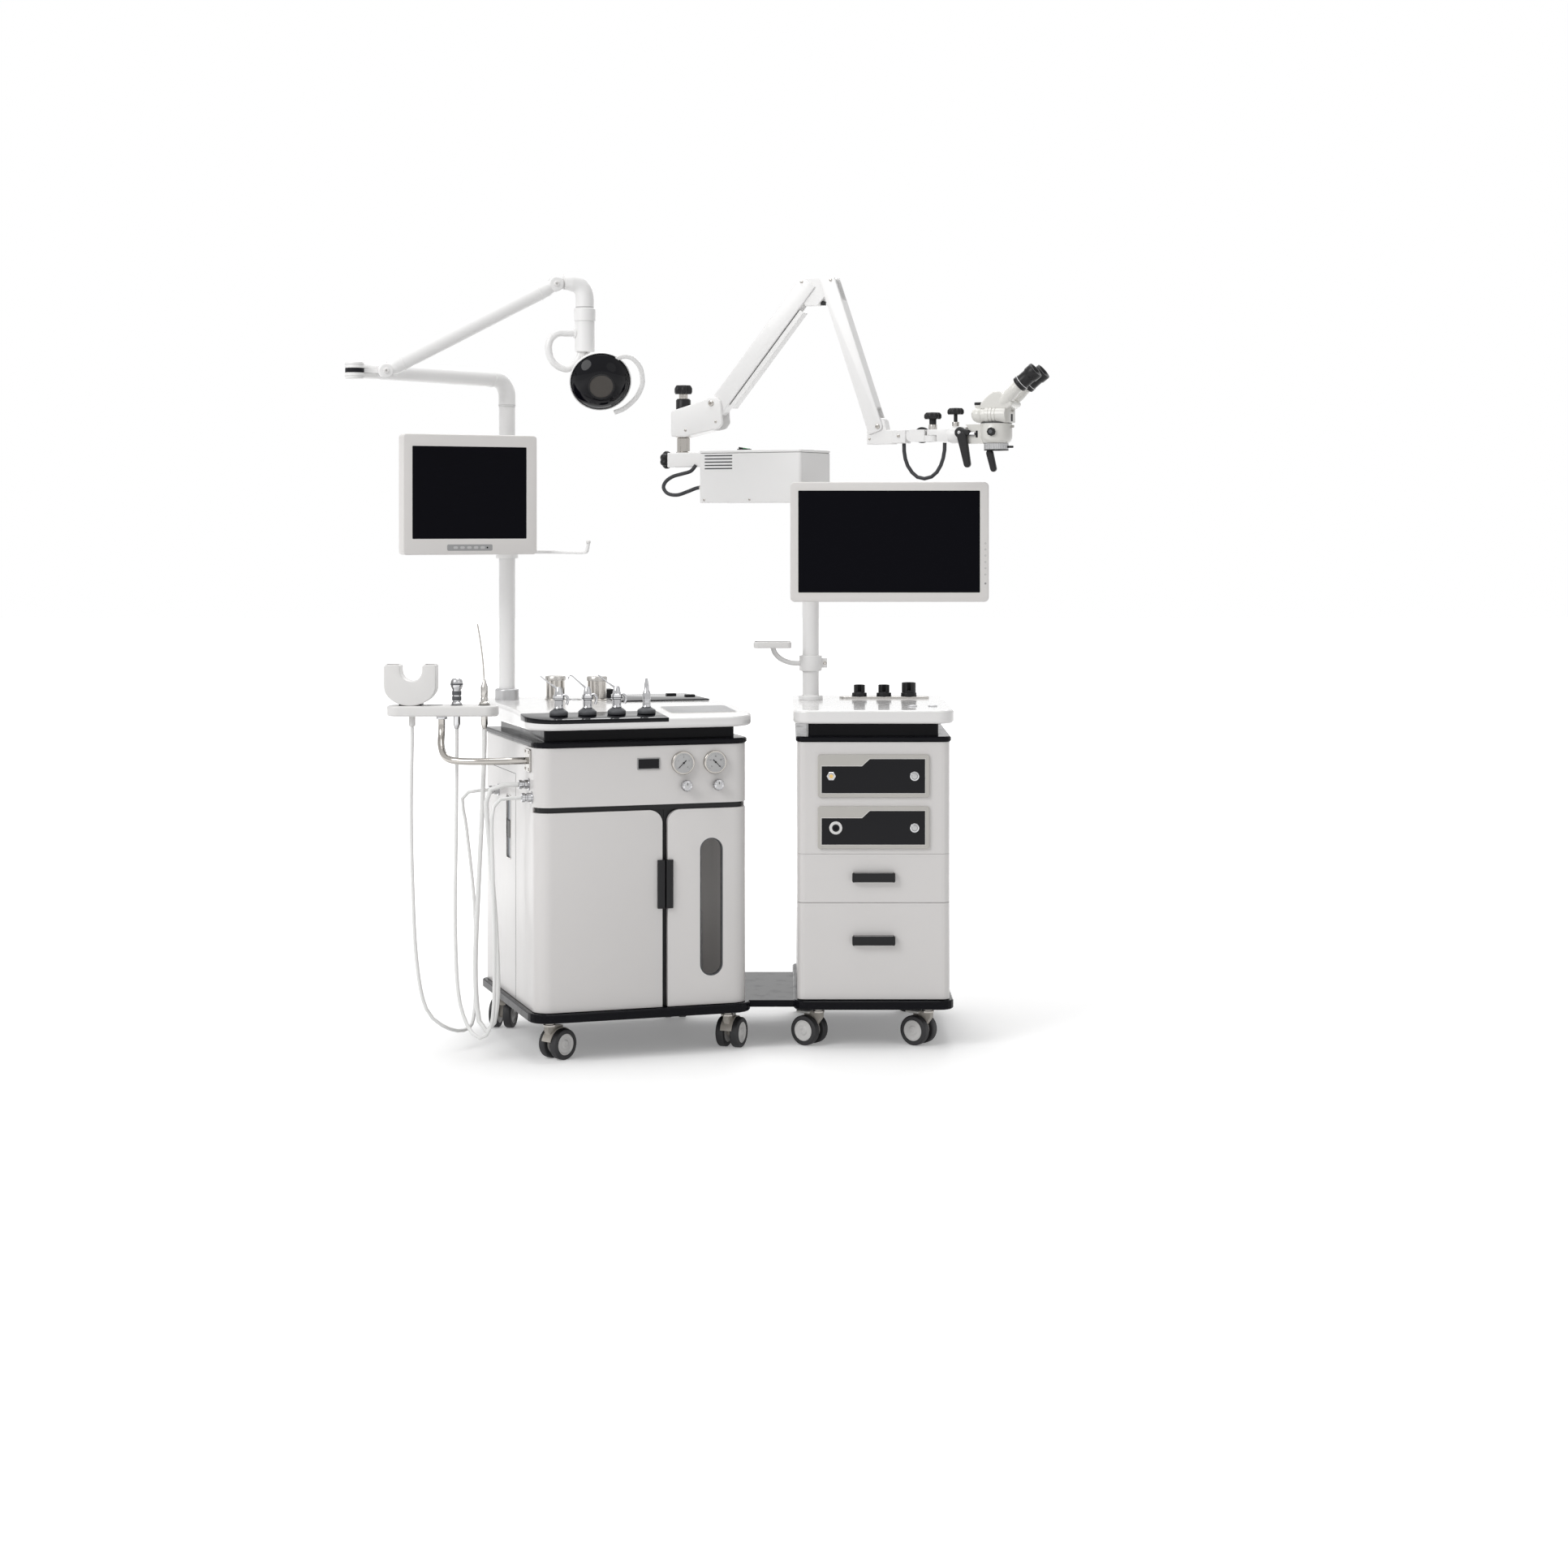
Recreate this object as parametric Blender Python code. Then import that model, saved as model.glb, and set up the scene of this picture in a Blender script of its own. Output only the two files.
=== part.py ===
"""Ear, nose and throat treatment unit: two wheeled cabinets joined by a low plate."""
import math

import bmesh
import bpy
from mathutils import Matrix, Vector

MM = 0.001

# Shared clearances and edge sizes
GAP = 0.3 * MM
BITE = 2 * MM
EDGE = 3 * MM
REACH = 3000 * MM
SHEET = 8 * MM
WELD = 0.01 * MM
FLAT_ANGLE = math.radians(0.2)

# Levels that both cabinets share, above the floor
BASE_LOW = 97 * MM
BASE_THICK = 22.5 * MM
BASE_HIGH = BASE_LOW + BASE_THICK
BODY_HIGH = 761.5 * MM
TRIM_THICK = 14 * MM
TRIM_HIGH = BODY_HIGH + TRIM_THICK
RISER_RISE = 32.5 * MM
RISER_HIGH = TRIM_HIGH + RISER_RISE
TOP_THICK = 34 * MM
TOP_HIGH = RISER_HIGH + TOP_THICK

# Casters
WHEEL_RADIUS = 37.5 * MM
WHEEL_THICK = 21 * MM
WHEEL_SPACE = 17 * MM
WHEEL_ROUND = 4 * MM
AXLE_RADIUS = 5 * MM
FORK_THICK = 15 * MM
FORK_LUG_RADIUS = 12 * MM
CASTER_TRAIL = 27 * MM
STEM_RADIUS = 15 * MM
STEM_HIGH = 13 * MM
LEVER_LONG = 34 * MM
LEVER_WIDE = 30 * MM
LEVER_THICK = 6 * MM

# Scope cabinet, measured from the middle of its front edge
SCOPE_X = 223 * MM
SCOPE_WIDE = 400 * MM
SCOPE_DEEP = 575 * MM
SCOPE_CORNER = 35 * MM
SCOPE_BACK_CORNER = 15 * MM
SCOPE_BODY_WIDE = 380 * MM
SCOPE_BODY_FRONT = 14 * MM
SCOPE_BODY_BACK = 559 * MM
SCOPE_BODY_CORNER = 19 * MM
DRAWER_FRONT_THICK = 20 * MM
DRAWER_SPLITS = (121 * MM, 362 * MM, 483.5 * MM)
DRAWER_SEAM = 1.2 * MM
DRAWER_TRAY_WIDE = 336 * MM
DRAWER_TRAY_DEEP = 440 * MM
DRAWER_WALL = 6 * MM
DRAWER_LIFT = 14 * MM
DRAWER_HEADROOM = 28 * MM
PULL_WIDE = 106 * MM
PULL_HIGH = 24 * MM
PULL_DEEP = 15 * MM
PULL_CORNER = 5 * MM
PULL_CENTRES = (269 * MM, 426 * MM)
UNIT_WIDE = 276 * MM
UNIT_LEVELS = ((625 * MM, 730 * MM), (497 * MM, 601 * MM))
UNIT_PROUD = 5 * MM
UNIT_RIM = 10 * MM
UNIT_SUNK = 2.5 * MM
UNIT_CORNER = 6 * MM
DIAL_RADIUS = 11 * MM
DIAL_PROUD = 6 * MM
DIAL_X = 101.5 * MM
SOCKET_X = (-105.8 * MM, -94.3 * MM)
SOCKET_RADII = (10 * MM, 15 * MM)
TRIM_OVER = 4 * MM
RISER_WIDE = 326 * MM
RISER_FRONT = 34 * MM
RISER_BACK = 540 * MM
SCOPE_TOP_WIDE = 402 * MM
SCOPE_TOP_FRONT = -6 * MM
SCOPE_TOP_BACK = 592 * MM
SCOPE_TOP_CORNER = 42 * MM
TOP_EDGE = 7 * MM
BRIDGE_THICK = 19 * MM
BRIDGE_FRONT = 35 * MM
BRIDGE_BACK = 455 * MM
HOLDER_X = (-76 * MM, 162 * MM)
HOLDER_Y = (438 * MM, 478 * MM)
HOLDER_THICK = 5 * MM
HOLDER_STEP = 6 * MM
CUP_X = (-23 * MM, 42 * MM, 108 * MM)
CUP_RADII = (15 * MM, 15 * MM, 19 * MM)
CUP_HIGH = (36 * MM, 36 * MM, 42 * MM)
CUP_WALL = 3.5 * MM
CUP_FLANGE = (5 * MM, 5 * MM, 2 * MM)
CUP_FLANGE_HIGH = 15 * MM
CUP_NOTCH = 9 * MM
BUTTON_X = (103 * MM, 154 * MM)
BUTTON_Y = 140 * MM
BUTTON_RADIUS = 12 * MM
BUTTON_PROUD = 3 * MM

# Scope pole and what turns on it
SPOLE_X = -153 * MM
SPOLE_Y = 400 * MM
SPOLE_RADIUS = 22 * MM
SPOLE_FOOT_RADIUS = 32 * MM
SPOLE_FOOT_HIGH = 12 * MM
TRAY_RING_LOW = 918 * MM
TRAY_RING_HIGH = 959 * MM
RING_WALL = 8 * MM
TRAY_EAR = 44 * MM
TRAY_EAR_THICK = 12 * MM
TRAY_ROD = 7 * MM
TRAY_X = (-150 * MM, -50 * MM)
TRAY_DEEP = 84 * MM
TRAY_LEVELS = (980 * MM, 996 * MM)
TRAY_CORNER = 12 * MM
TRAY_ROUTE = ((-24, -6, 938), (-52, -12, 940), (-78, -18, 950), (-94, -22, 966), (-100, -24, 984))
PANEL_WIDE = 512 * MM
PANEL_HIGH = 309 * MM
PANEL_THICK = 30 * MM
PANEL_X = 49 * MM
PANEL_FRONT = 250 * MM
PANEL_Z = 1258 * MM
PANEL_CORNER = 12 * MM
PANEL_BACK_WIDE = 330 * MM
PANEL_BACK_HIGH = 200 * MM
PANEL_BACK_THICK = 14 * MM
PANEL_ARM_HIGH = 46 * MM
PANEL_ARM_THICK = 22 * MM

# Light box at the pole's top, along its own axis from the pole
BOX_TURN = math.radians(-28.7)
BOX_LEFT = -285 * MM
BOX_RIGHT = 24 * MM
BOX_FRONT = -98 * MM
BOX_BACK = 72 * MM
BOX_LOW = 1360 * MM
BOX_HIGH = 1499 * MM
BOX_CORNER = 10 * MM
BRACKET_LEFT = -424 * MM
BRACKET_HALF = 34 * MM
BRACKET_LOW = 1457 * MM
POST_AT = -389.5 * MM
POST_RADIUS = 17.5 * MM
POST_HIGH = 1537 * MM
SIDE_KNOB = ((7, 0), (7, 12), (21, 12), (24, 17), (24, 27), (18, 32))
SWITCH_X = (-178 * MM, -146 * MM)
SWITCH_Y = (-80 * MM, -56 * MM)
SWITCH_HIGH = 9 * MM
PLUG_RADIUS = 9 * MM
PLUG_LONG = 22 * MM
PLUG_Y = -52 * MM
PLUG_Z = 1402 * MM
CABLE_RADIUS = 5 * MM
REAR_CABLE = ((-300, 1402), (-318, 1400), (-345, 1391), (-378, 1382), (-407, 1386), (-421, 1402),
              (-416, 1419), (-396, 1432), (-368, 1439), (-343, 1446), (-330, 1462))

# Microscope arm, in its own upright plane through the post
ARM_TURN = math.radians(-24)
ARM_POST = (-271.9 * MM, 586.8 * MM)
PIVOT_A = (96.2 * MM, 1627.6 * MM)
PIVOT_B = (357.2 * MM, 1944.2 * MM)
PIVOT_C = (440.5 * MM, 1945.9 * MM)
PIVOT_D = (573.5 * MM, 1558.7 * MM)
BEAM_HALF_THICK = 20 * MM
CHEEK_HALF_THICK = 28 * MM
LOWER_BEAM_HALF = 25 * MM
UPPER_BEAM_HALF = 22 * MM
PIN_RADIUS = 6 * MM
SLOT_ROUND = 1.5 * MM
CASTING = ((-25, 1540), (14, 1538), (118, 1560), (129, 1574), (124, 1632), (108, 1646), (92, 1646),
           (34, 1625), (-25, 1609))
KNOB_NECK_RADIUS = 12 * MM
KNOB_RADIUS = 25 * MM
KNOB_LEVELS = (1600 * MM, 1655 * MM, 1679 * MM)
NUT_RADIUS = 20 * MM
NUT_HIGH = 1642 * MM
STRIP_INSET = 60 * MM
STRIP_REACH = 41 * MM
STRIP_HALF = 8 * MM
LINK_CROWN = 24 * MM
LINK_DROP = 1878 * MM
LINK_WEB = (386 * MM, 411 * MM)
END_BRACKET = ((541, 1512), (615, 1512), (615, 1550), (599, 1562), (588, 1580), (560, 1580),
               (549, 1562), (541, 1530))
COUPLER_RIGHT = 653 * MM
COUPLER_LEVELS = (1515 * MM, 1557 * MM)
COUPLER_HALF = 20 * MM
TONGUE_HALF = 9 * MM
TONGUE_LEVELS = (1527 * MM, 1544 * MM)
TURN_AT = 720 * MM
TURN_RADIUS = 16 * MM
CLEVIS_LEVELS = (1515 * MM, 1556 * MM)
CLEVIS_HALF = 19 * MM
SMALL_KNOB_AT = (720 * MM, 783 * MM)
SMALL_KNOB_NECK = 8 * MM
SMALL_KNOB_RADIUS = 20 * MM
SMALL_KNOB_LEVELS = ((1550 * MM, 1571 * MM, 1587 * MM), (1550 * MM, 1580 * MM, 1597 * MM))
TILT_AT = (800 * MM, 1538 * MM)
TILT_RADIUS = 17 * MM
HEAD_PLATE_HALF = 15 * MM
CAP_RADIUS = 15 * MM
CAP_THICK = 9 * MM
GRIP_RADIUS = 8 * MM
GRIP_ONE = ((800, -25, 1536), (806, -27, 1515), (818, -28, 1485), (827, -28, 1448))
GRIP_TWO = ((880, -4, 1506), (884, -6, 1480), (892, -8, 1456), (897, -8, 1430))
POD_AT = 894 * MM
POD = ((0, 1497), (27, 1497), (28, 1506), (33, 1508), (39, 1520), (39, 1545), (34, 1556),
       (30, 1600), (0, 1600))
DRUM_AT = (930 * MM, 1585 * MM)
DRUM_SHAPE = ((0, 0), (24, 0), (24, 76), (21, 87), (13, 94), (0, 97))
EYE_BLOCK = (868 * MM, 950 * MM, -34 * MM, 34 * MM, 1596 * MM, 1640 * MM)
EYE_CORNER = 14 * MM
EYE_SPREAD = 31 * MM
EYE_TUBE = ((918, 1612, 17), (944, 1637, 17), (962, 1655, 16), (966, 1659, 21), (990, 1678, 20), (1012, 1696, 22))
FRONT_CABLE = ((640, 1514.7), (640, 1496), (648, 1460), (671, 1430), (698, 1422), (725, 1432),
               (744, 1460), (752, 1492), (753, 1514.7))

# Treatment cabinet, measured from the left end of its front edge
TREAT_PLACE = (-605 * MM, -203 * MM)
TREAT_TURN = math.radians(18.5)
TREAT_WIDE = 563 * MM
TREAT_DEEP = 587.5 * MM
TREAT_CORNER = 50 * MM
TREAT_BACK_CORNER = 20 * MM
TREAT_BODY = (12 * MM, 551 * MM, 12 * MM, 575 * MM)
TREAT_BODY_CORNER = 40 * MM
DOOR_BACK = 54 * MM
DOOR_THICK = 16 * MM
DOOR_LOW = 121 * MM
DOOR_HIGH = 603.7 * MM
FASCIA_LOW = 617.4 * MM
RECESS_RAIL = 18 * MM
RAIL_HIGH = 60 * MM
SEAM_AT = 335 * MM
SEAM_HALF = 7 * MM
DOOR_TOP_ROUND = 33 * MM
DOOR_PULL_HALF = 19.5 * MM
DOOR_PULL_LEVELS = (363 * MM, 481 * MM)
DOOR_PULL_PROUD = 7 * MM
DOOR_PULL_GAP = 1 * MM
WINDOW_X = (424 * MM, 483 * MM)
WINDOW_LEVELS = (191 * MM, 531 * MM)
WINDOW_SUNK = 5 * MM
DISPLAY_X = (266 * MM, 319 * MM)
DISPLAY_LEVELS = (706 * MM, 730 * MM)
DISPLAY_PROUD = 2 * MM
GAUGE_X = (379 * MM, 461 * MM)
GAUGE_Z = 718 * MM
GAUGE_RADIUS = 28.5 * MM
GAUGE_PROUD = 11 * MM
KNOB_X = (386 * MM, 467 * MM)
KNOB_Z = 662.6 * MM
SMALL_DIAL = ((0, 0), (8, 0), (8, 5), (14, 7), (14, 19), (11, 22), (0, 22))
SIDE_PULL_Y = (290 * MM, 340 * MM)
SIDE_PULL_Z = (462.6 * MM, 621.6 * MM)
SIDE_PULL_SUNK = 5 * MM
SIDE_PULL_BLOCK = (515 * MM, 557 * MM)
RACK_PLATE = (66 * MM, 116 * MM, 700 * MM, 756 * MM)
RACK_PLATE_THICK = 5 * MM
FITTING_RADIUS = 11 * MM
FITTING_LONG = 26 * MM
FITTING_A = (92 * MM, 669 * MM)
FITTING_B = (434 * MM, 623.5 * MM)
FITTING_C = (60 * MM, 640 * MM)
TREAT_RISER = (40 * MM, 523 * MM, 44 * MM, 540 * MM)
TREAT_TOP = (-6 * MM, 569 * MM, -8 * MM, 592 * MM)
TREAT_TOP_CORNER = 74 * MM
TREAT_TOP_BACK = 28 * MM
DECK = (30 * MM, 352 * MM, 16 * MM, 112 * MM)
DECK_HIGH = 4 * MM
DECK_CORNER = 22 * MM
CONTROL = (358 * MM, 540 * MM, 30 * MM, 118 * MM)
CONTROL_HIGH = 3 * MM
REAR_DECK = (300 * MM, 548 * MM, 335 * MM, 560 * MM)
REAR_DECK_HIGH = 3 * MM
REAR_BLOCK = (304 * MM, 336 * MM, 500 * MM, 540 * MM)
REAR_BLOCK_HIGH = 22 * MM
JARS = ((170 * MM, 470 * MM), (268 * MM, 420 * MM))
JAR_RADIUS = 25 * MM
JAR_HIGH = 62 * MM
LID_OVER = 2 * MM
LID_HIGH = 12 * MM
TOOL_X = (80 * MM, 152 * MM, 226 * MM, 302 * MM)
TOOL_Y = 64 * MM
HOLE_RADIUS = 9 * MM
HOLE_DEEP = 22 * MM
GUN_BODY = ((0, -18), (8.7, -18), (8.7, 4.5), (22, 4.8), (22, 10), (14, 14), (11, 20), (11, 32), (14, 34),
            (14, 44), (10, 47), (8, 60), (6, 64), (0, 64))
GUN_TIP = ((0, 0, 52), (-8, 2, 60), (-22, 6, 73), (-44, 10, 92))
GUN_TIP_RADIUS = 2.5 * MM
GUN_LEVER = ((4, -2, 40), (16, -8, 44), (20, -12, 34), (17, -11, 22))
GUN_LEVER_RADIUS = 3 * MM
NOZZLE_BODY = ((0, -18), (8.7, -18), (8.7, 4.5), (19, 4.8), (19, 10), (12, 13), (10, 20), (10, 46), (6, 54),
               (6, 66), (3, 82), (0, 82))

# Lamp pole and lamp
LPOLE = (50 * MM, 505 * MM)
LPOLE_RADIUS = 21 * MM
LPOLE_FOOT_RADIUS = 31 * MM
LPOLE_FOOT_HIGH = 32 * MM
LPOLE_HIGH = 1608 * MM
LARM_Z = 1679 * MM
LARM_BEND = 46 * MM
LARM_RADIUS = 22 * MM
LARM_TIP_RADIUS = 12 * MM
KNUCKLE_PLACE = (-1042 * MM, -150 * MM)
LAMP_TURN = math.radians(18.1)
KNUCKLE_RADIUS = 22 * MM
KNUCKLE_LEVELS = (1660 * MM, 1694 * MM)
KNUCKLE_SLOT = (1671 * MM, 1683 * MM)
KNUCKLE_LUG_LONG = 44 * MM
SPRING_A = (74 * MM, 1677 * MM)
SPRING_B = (498 * MM, 1900 * MM)
EYE_RADIUS = 17 * MM
LUG_HALF = 6.5 * MM
FORK_HALF = 13.5 * MM
LAMP_PIN = 5 * MM
SPRING_RADIUS = 20 * MM
SPRING_SHORT = 30 * MM
ELBOW_ROUTE = ((498, 1900, 14), (520, 1906, 19), (540, 1906, 20), (558, 1900, 20), (570, 1886, 20),
               (573.6, 1868, 20), (573.6, 1842, 20))
DROP_AT = 573.6 * MM
DROP_PROFILE = ((0, 1738), (17, 1738), (17, 1809), (21, 1810), (21, 1841.7), (0, 1841.7))
LOOP_RADIUS = 8 * MM
LOOP_ROUTE = ((573, 1776), (545, 1778), (515, 1776), (494, 1762), (487, 1740), (491, 1715),
              (503, 1706), (522, 1709), (538, 1722), (552, 1740), (573, 1754))
LAMP_TILT = math.radians(-24)
LAMP_YAW = math.radians(8)
TILT_AXIS_Z = 1724 * MM
TILT_EYE = 12 * MM
TILT_HALF = 7 * MM
LAMP_CENTRE = (604 * MM, -58 * MM, 1658 * MM)
BOWL = ((0, 52), (22, 50), (46, 42), (66, 24), (76, 6), (77, 0), (77, -8), (72, -8), (70, -2), (56, 14),
        (34, 26), (30, 26), (29, 8), (0, 6))
NECK_END = (-26 * MM, 1690 * MM)
HANDLE_RADIUS = 7 * MM
HANDLE_REACH = 106 * MM

# Patient monitor on the lamp pole
PMON_PLACE = (-795 * MM, 100 * MM, 1378 * MM)
PMON_TURN = math.radians(28)
PMON_WIDE = 359 * MM
PMON_HIGH = 302 * MM
PMON_THICK = 34 * MM
PMON_CORNER = 10 * MM
PMON_BACK_WIDE = 200 * MM
PMON_BACK_HIGH = 160 * MM
PMON_BACK_THICK = 24 * MM
PMON_ARM_HALF = 15 * MM
HOOK_RADIUS = 4.5 * MM
HOOK_LEVEL = 1232 * MM
HOOK_ROUTE = ((0, 0, 0), (60, -60, 0), (128, -128, 0), (166, -160, 0), (172, -166, 8), (174, -168, 30))
PMON_RING_LEVELS = (1215 * MM, 1400 * MM)

# Tool rack at the treatment cabinet's left side
RACK_BAR = (-977 * MM, -703 * MM, -88 * MM, -20 * MM)
RACK_LEVELS = (832 * MM, 858 * MM)
RACK_CORNER = 30 * MM
RACK_TUBE = 8.5 * MM
RACK_ROUTE = ((-624, -116, 727), (-700, -140, 727), (-790, -132, 727), (-826, -110, 735),
              (-841, -80, 760), (-843, -56, 795), (-843, -54, 840))
EARCUP_X = -916 * MM
EARCUP_Y = -54 * MM
EARCUP_OUTLINE = ((-26, 858), (-34, 880), (-60, 902), (-66, 930), (-66, 959), (-24, 959), (-20, 930),
                  (-8, 918), (12, 918), (24, 930), (28, 959), (62, 959), (62, 915), (48, 885), (34, 862),
                  (20, 858))
EARCUP_HALF = 30 * MM
EARCUP_WALL = 3 * MM
EARCUP_CUT = ((-30, 874), (-56, 906), (-62, 930), (-62, 975), (-27, 975), (-24, 926), (-9, 913), (14, 913),
              (28, 926), (32, 975), (58, 975), (58, 917), (44, 888), (30, 868), (-22, 868))
RACK_HOLES = (-806 * MM, -738 * MM)
RACK_HOLE_Y = -54 * MM
RACK_HOLE_RADIUS = 9 * MM
IRRIGATOR = ((0, 800), (5, 800), (8.5, 812), (8.5, 858.3), (13, 858.6), (13, 866), (10, 868), (11, 896),
             (15, 905), (15, 916), (11, 924), (0, 924))
SUCTION = ((0, 800), (5, 800), (8.5, 812), (8.5, 858.3), (13, 858.6), (13, 866), (9, 868), (9, 905),
           (5, 914), (0, 914))
SUCTION_TIP = ((0, 0, 908), (-3, 0, 960), (-9, 0, 1010), (-17, 0, 1058))
SUCTION_TIP_RADIUS = 1.8 * MM
HOSE_RADIUS = 4.5 * MM
SUCTION_HOSE_RADIUS = 6 * MM
EARCUP_SPOUT = 8 * MM
EARCUP_SPOUT_LOW = 806 * MM
HOSE_LEAD = 40 * MM
EARCUP_HOSE = ((-918, -56, 600), (-914, -58, 420), (-904, -60, 230), (-880, -58, 110), (-830, -40, 60),
               (-790, 20, 46), (-780, 90, 70), (-782, 140, 170), (-790, 180, 340), (-812, 205, 520),
               (-822, 205, 606))
IRRIGATOR_HOSE = ((-806, -64, 560), (-806, -84, 330), (-796, -106, 160), (-768, -130, 78), (-732, -156, 58),
                  (-704, -180, 110), (-698, -192, 280), (-702, -196, 470), (-704, -190, 600), (-690, -172, 636))
SUCTION_HOSE = ((-742, -60, 620), (-750, -72, 420), (-756, -90, 220), (-744, -112, 90), (-712, -134, 74),
                (-696, -140, 160), (-700, -142, 320), (-716, -140, 520), (-724, -138, 630), (-706, -135, 664))

FINISHES = {
    "white_paint": ((0.80, 0.80, 0.79), 0.35, 0.0),
    "white_plastic": ((0.82, 0.82, 0.80), 0.30, 0.0),
    "cream_enamel": ((0.76, 0.75, 0.70), 0.35, 0.0),
    "black_laminate": ((0.012, 0.012, 0.014), 0.30, 0.0),
    "black_plastic": ((0.015, 0.015, 0.016), 0.45, 0.0),
    "chromed": ((0.75, 0.75, 0.76), 0.12, 1.0),
    "grey_rubber": ((0.10, 0.10, 0.11), 0.70, 0.0),
    "silver_paint": ((0.60, 0.60, 0.61), 0.35, 0.6),
    "clear_hose": ((0.78, 0.78, 0.76), 0.40, 0.0),
}


def clear_scene():
    for item in list(bpy.data.objects):
        bpy.data.objects.remove(item, do_unlink=True)


def scaled(points):
    return [tuple(value * MM for value in point) for point in points]


def frame_at(x, y, turn=0.0, z=0.0):
    return Matrix.Translation((x, y, z)) @ Matrix.Rotation(turn, 4, "Z")


# Raw shapes, each a closed temporary body
def body(verts, faces):
    mesh = bpy.data.meshes.new("shape")
    mesh.from_pydata([tuple(v) for v in verts], [], faces)
    work = bmesh.new()
    work.from_mesh(mesh)
    bmesh.ops.recalc_face_normals(work, faces=work.faces)
    work.to_mesh(mesh)
    work.free()
    shape = bpy.data.objects.new("shape", mesh)
    bpy.context.scene.collection.objects.link(shape)
    return shape


def rings(levels):
    """Closed body through a list of rings that hold equal numbers of points."""
    count = len(levels[0])
    verts = [point for level in levels for point in level]
    faces = [tuple(range(count))[::-1]]
    for row in range(len(levels) - 1):
        low = row * count
        for i in range(count):
            j = (i + 1) % count
            faces.append((low + i, low + j, low + count + j, low + count + i))
    last = (len(levels) - 1) * count
    faces.append(tuple(range(last, last + count)))
    return body(verts, faces)


def arc(x, y, radius, start, end, steps=5):
    if radius <= 0.0:
        return [(x, y)]
    span = end - start
    return [(x + radius * math.cos(start + span * i / steps),
             y + radius * math.sin(start + span * i / steps)) for i in range(steps + 1)]


def rounded(bounds, front, back, inset=0.0, steps=5):
    x0, x1, y0, y1 = bounds
    x0, x1, y0, y1 = x0 + inset, x1 - inset, y0 + inset, y1 - inset
    f = max(front - inset, GAP) if front else 0.0
    b = max(back - inset, GAP) if back else 0.0
    half = math.pi / 2
    outline = arc(x0 + f, y0 + f, f, 2 * half, 3 * half, steps)
    outline += arc(x1 - f, y0 + f, f, 3 * half, 4 * half, steps)
    outline += arc(x1 - b, y1 - b, b, 0.0, half, steps)
    outline += arc(x0 + b, y1 - b, b, half, 2 * half, steps)
    return outline


def prism(outline, low, high):
    return rings([[(x, y, z) for x, y in outline] for z in (low, high)])


def slab(bounds, front, back, low, high, edge=0.0, steps=5):
    """Upright slab with rounded corners and a softened edge above and below."""
    if edge <= 0.0:
        return prism(rounded(bounds, front, back, steps=steps), low, high)
    levels = [(edge, low), (0.0, low + edge), (0.0, high - edge), (edge, high)]
    return rings([[(x, y, z) for x, y in rounded(bounds, front, back, inset, steps)]
                  for inset, z in levels])


def block(x0, x1, y0, y1, z0, z1, edge=0.0):
    if edge > 0.0:
        return slab((x0, x1, y0, y1), edge, edge, z0, z1, edge, steps=2)
    return prism([(x0, y0), (x1, y0), (x1, y1), (x0, y1)], z0, z1)


def turned(profile, steps=16):
    """Body turned about +Z from (radius, height) points that start and end on the axis."""
    verts = []
    faces = []
    rows = []
    for radius, height in profile:
        if radius <= 0.0:
            rows.append([len(verts)] * steps)
            verts.append((0.0, 0.0, height))
            continue
        rows.append(list(range(len(verts), len(verts) + steps)))
        verts += [(radius * math.cos(2 * math.pi * i / steps),
                   radius * math.sin(2 * math.pi * i / steps), height) for i in range(steps)]
    for low, high in zip(rows, rows[1:]):
        for i in range(steps):
            j = (i + 1) % steps
            face = [low[i], low[j], high[j], high[i]]
            face = [v for k, v in enumerate(face) if v not in face[:k]]
            if len(face) > 2:
                faces.append(tuple(face))
    return body(verts, faces)


def drum(radius, low, high, steps=16, edge=0.0):
    if edge > 0.0:
        return turned([(0.0, low), (radius - edge, low), (radius, low + edge),
                       (radius, high - edge), (radius - edge, high), (0.0, high)], steps)
    return turned([(0.0, low), (radius, low), (radius, high), (0.0, high)], steps)


def tube(points, radius, steps=8):
    """Round bar along points, each (x, y, z) with one radius or a list of radii."""
    path = [Vector(p) for p in points]
    radii = radius if isinstance(radius, list) else [radius] * len(path)
    tangents = []
    for i in range(len(path)):
        ahead = path[min(i + 1, len(path) - 1)]
        behind = path[max(i - 1, 0)]
        tangents.append((ahead - behind).normalized())
    side = tangents[0].orthogonal().normalized()
    levels = []
    for point, tangent, size in zip(path, tangents, radii):
        side = (side - tangent * side.dot(tangent)).normalized()
        other = tangent.cross(side)
        levels.append([point + size * (math.cos(2 * math.pi * i / steps) * side
                                       + math.sin(2 * math.pi * i / steps) * other)
                       for i in range(steps)])
    return rings(levels)


def smooth_route(points, spacing):
    """Evenly spaced points on a smooth curve through the given ones."""
    ctrl = [Vector(p) for p in points]
    ctrl = [2 * ctrl[0] - ctrl[1]] + ctrl + [2 * ctrl[-1] - ctrl[-2]]
    fine = []
    for a, b, c, d in zip(ctrl, ctrl[1:], ctrl[2:], ctrl[3:]):
        for i in range(24):
            t = i / 24
            fine.append(0.5 * ((2 * b) + (c - a) * t + (2 * a - 5 * b + 4 * c - d) * t * t
                               + (3 * b - a - 3 * c + d) * t ** 3))
    fine.append(ctrl[-2])
    total = sum((q - p).length for p, q in zip(fine, fine[1:]))
    count = max(2, round(total / spacing))
    out = [fine[0]]
    want = total / count
    run = 0.0
    for p, q in zip(fine, fine[1:]):
        run += (q - p).length
        if run >= want - GAP * MM and len(out) < count:
            out.append(q)
            want += total / count
    out.append(fine[-1])
    return out


def moved(shape, matrix):
    shape.data.transform(matrix)
    return shape


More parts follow.
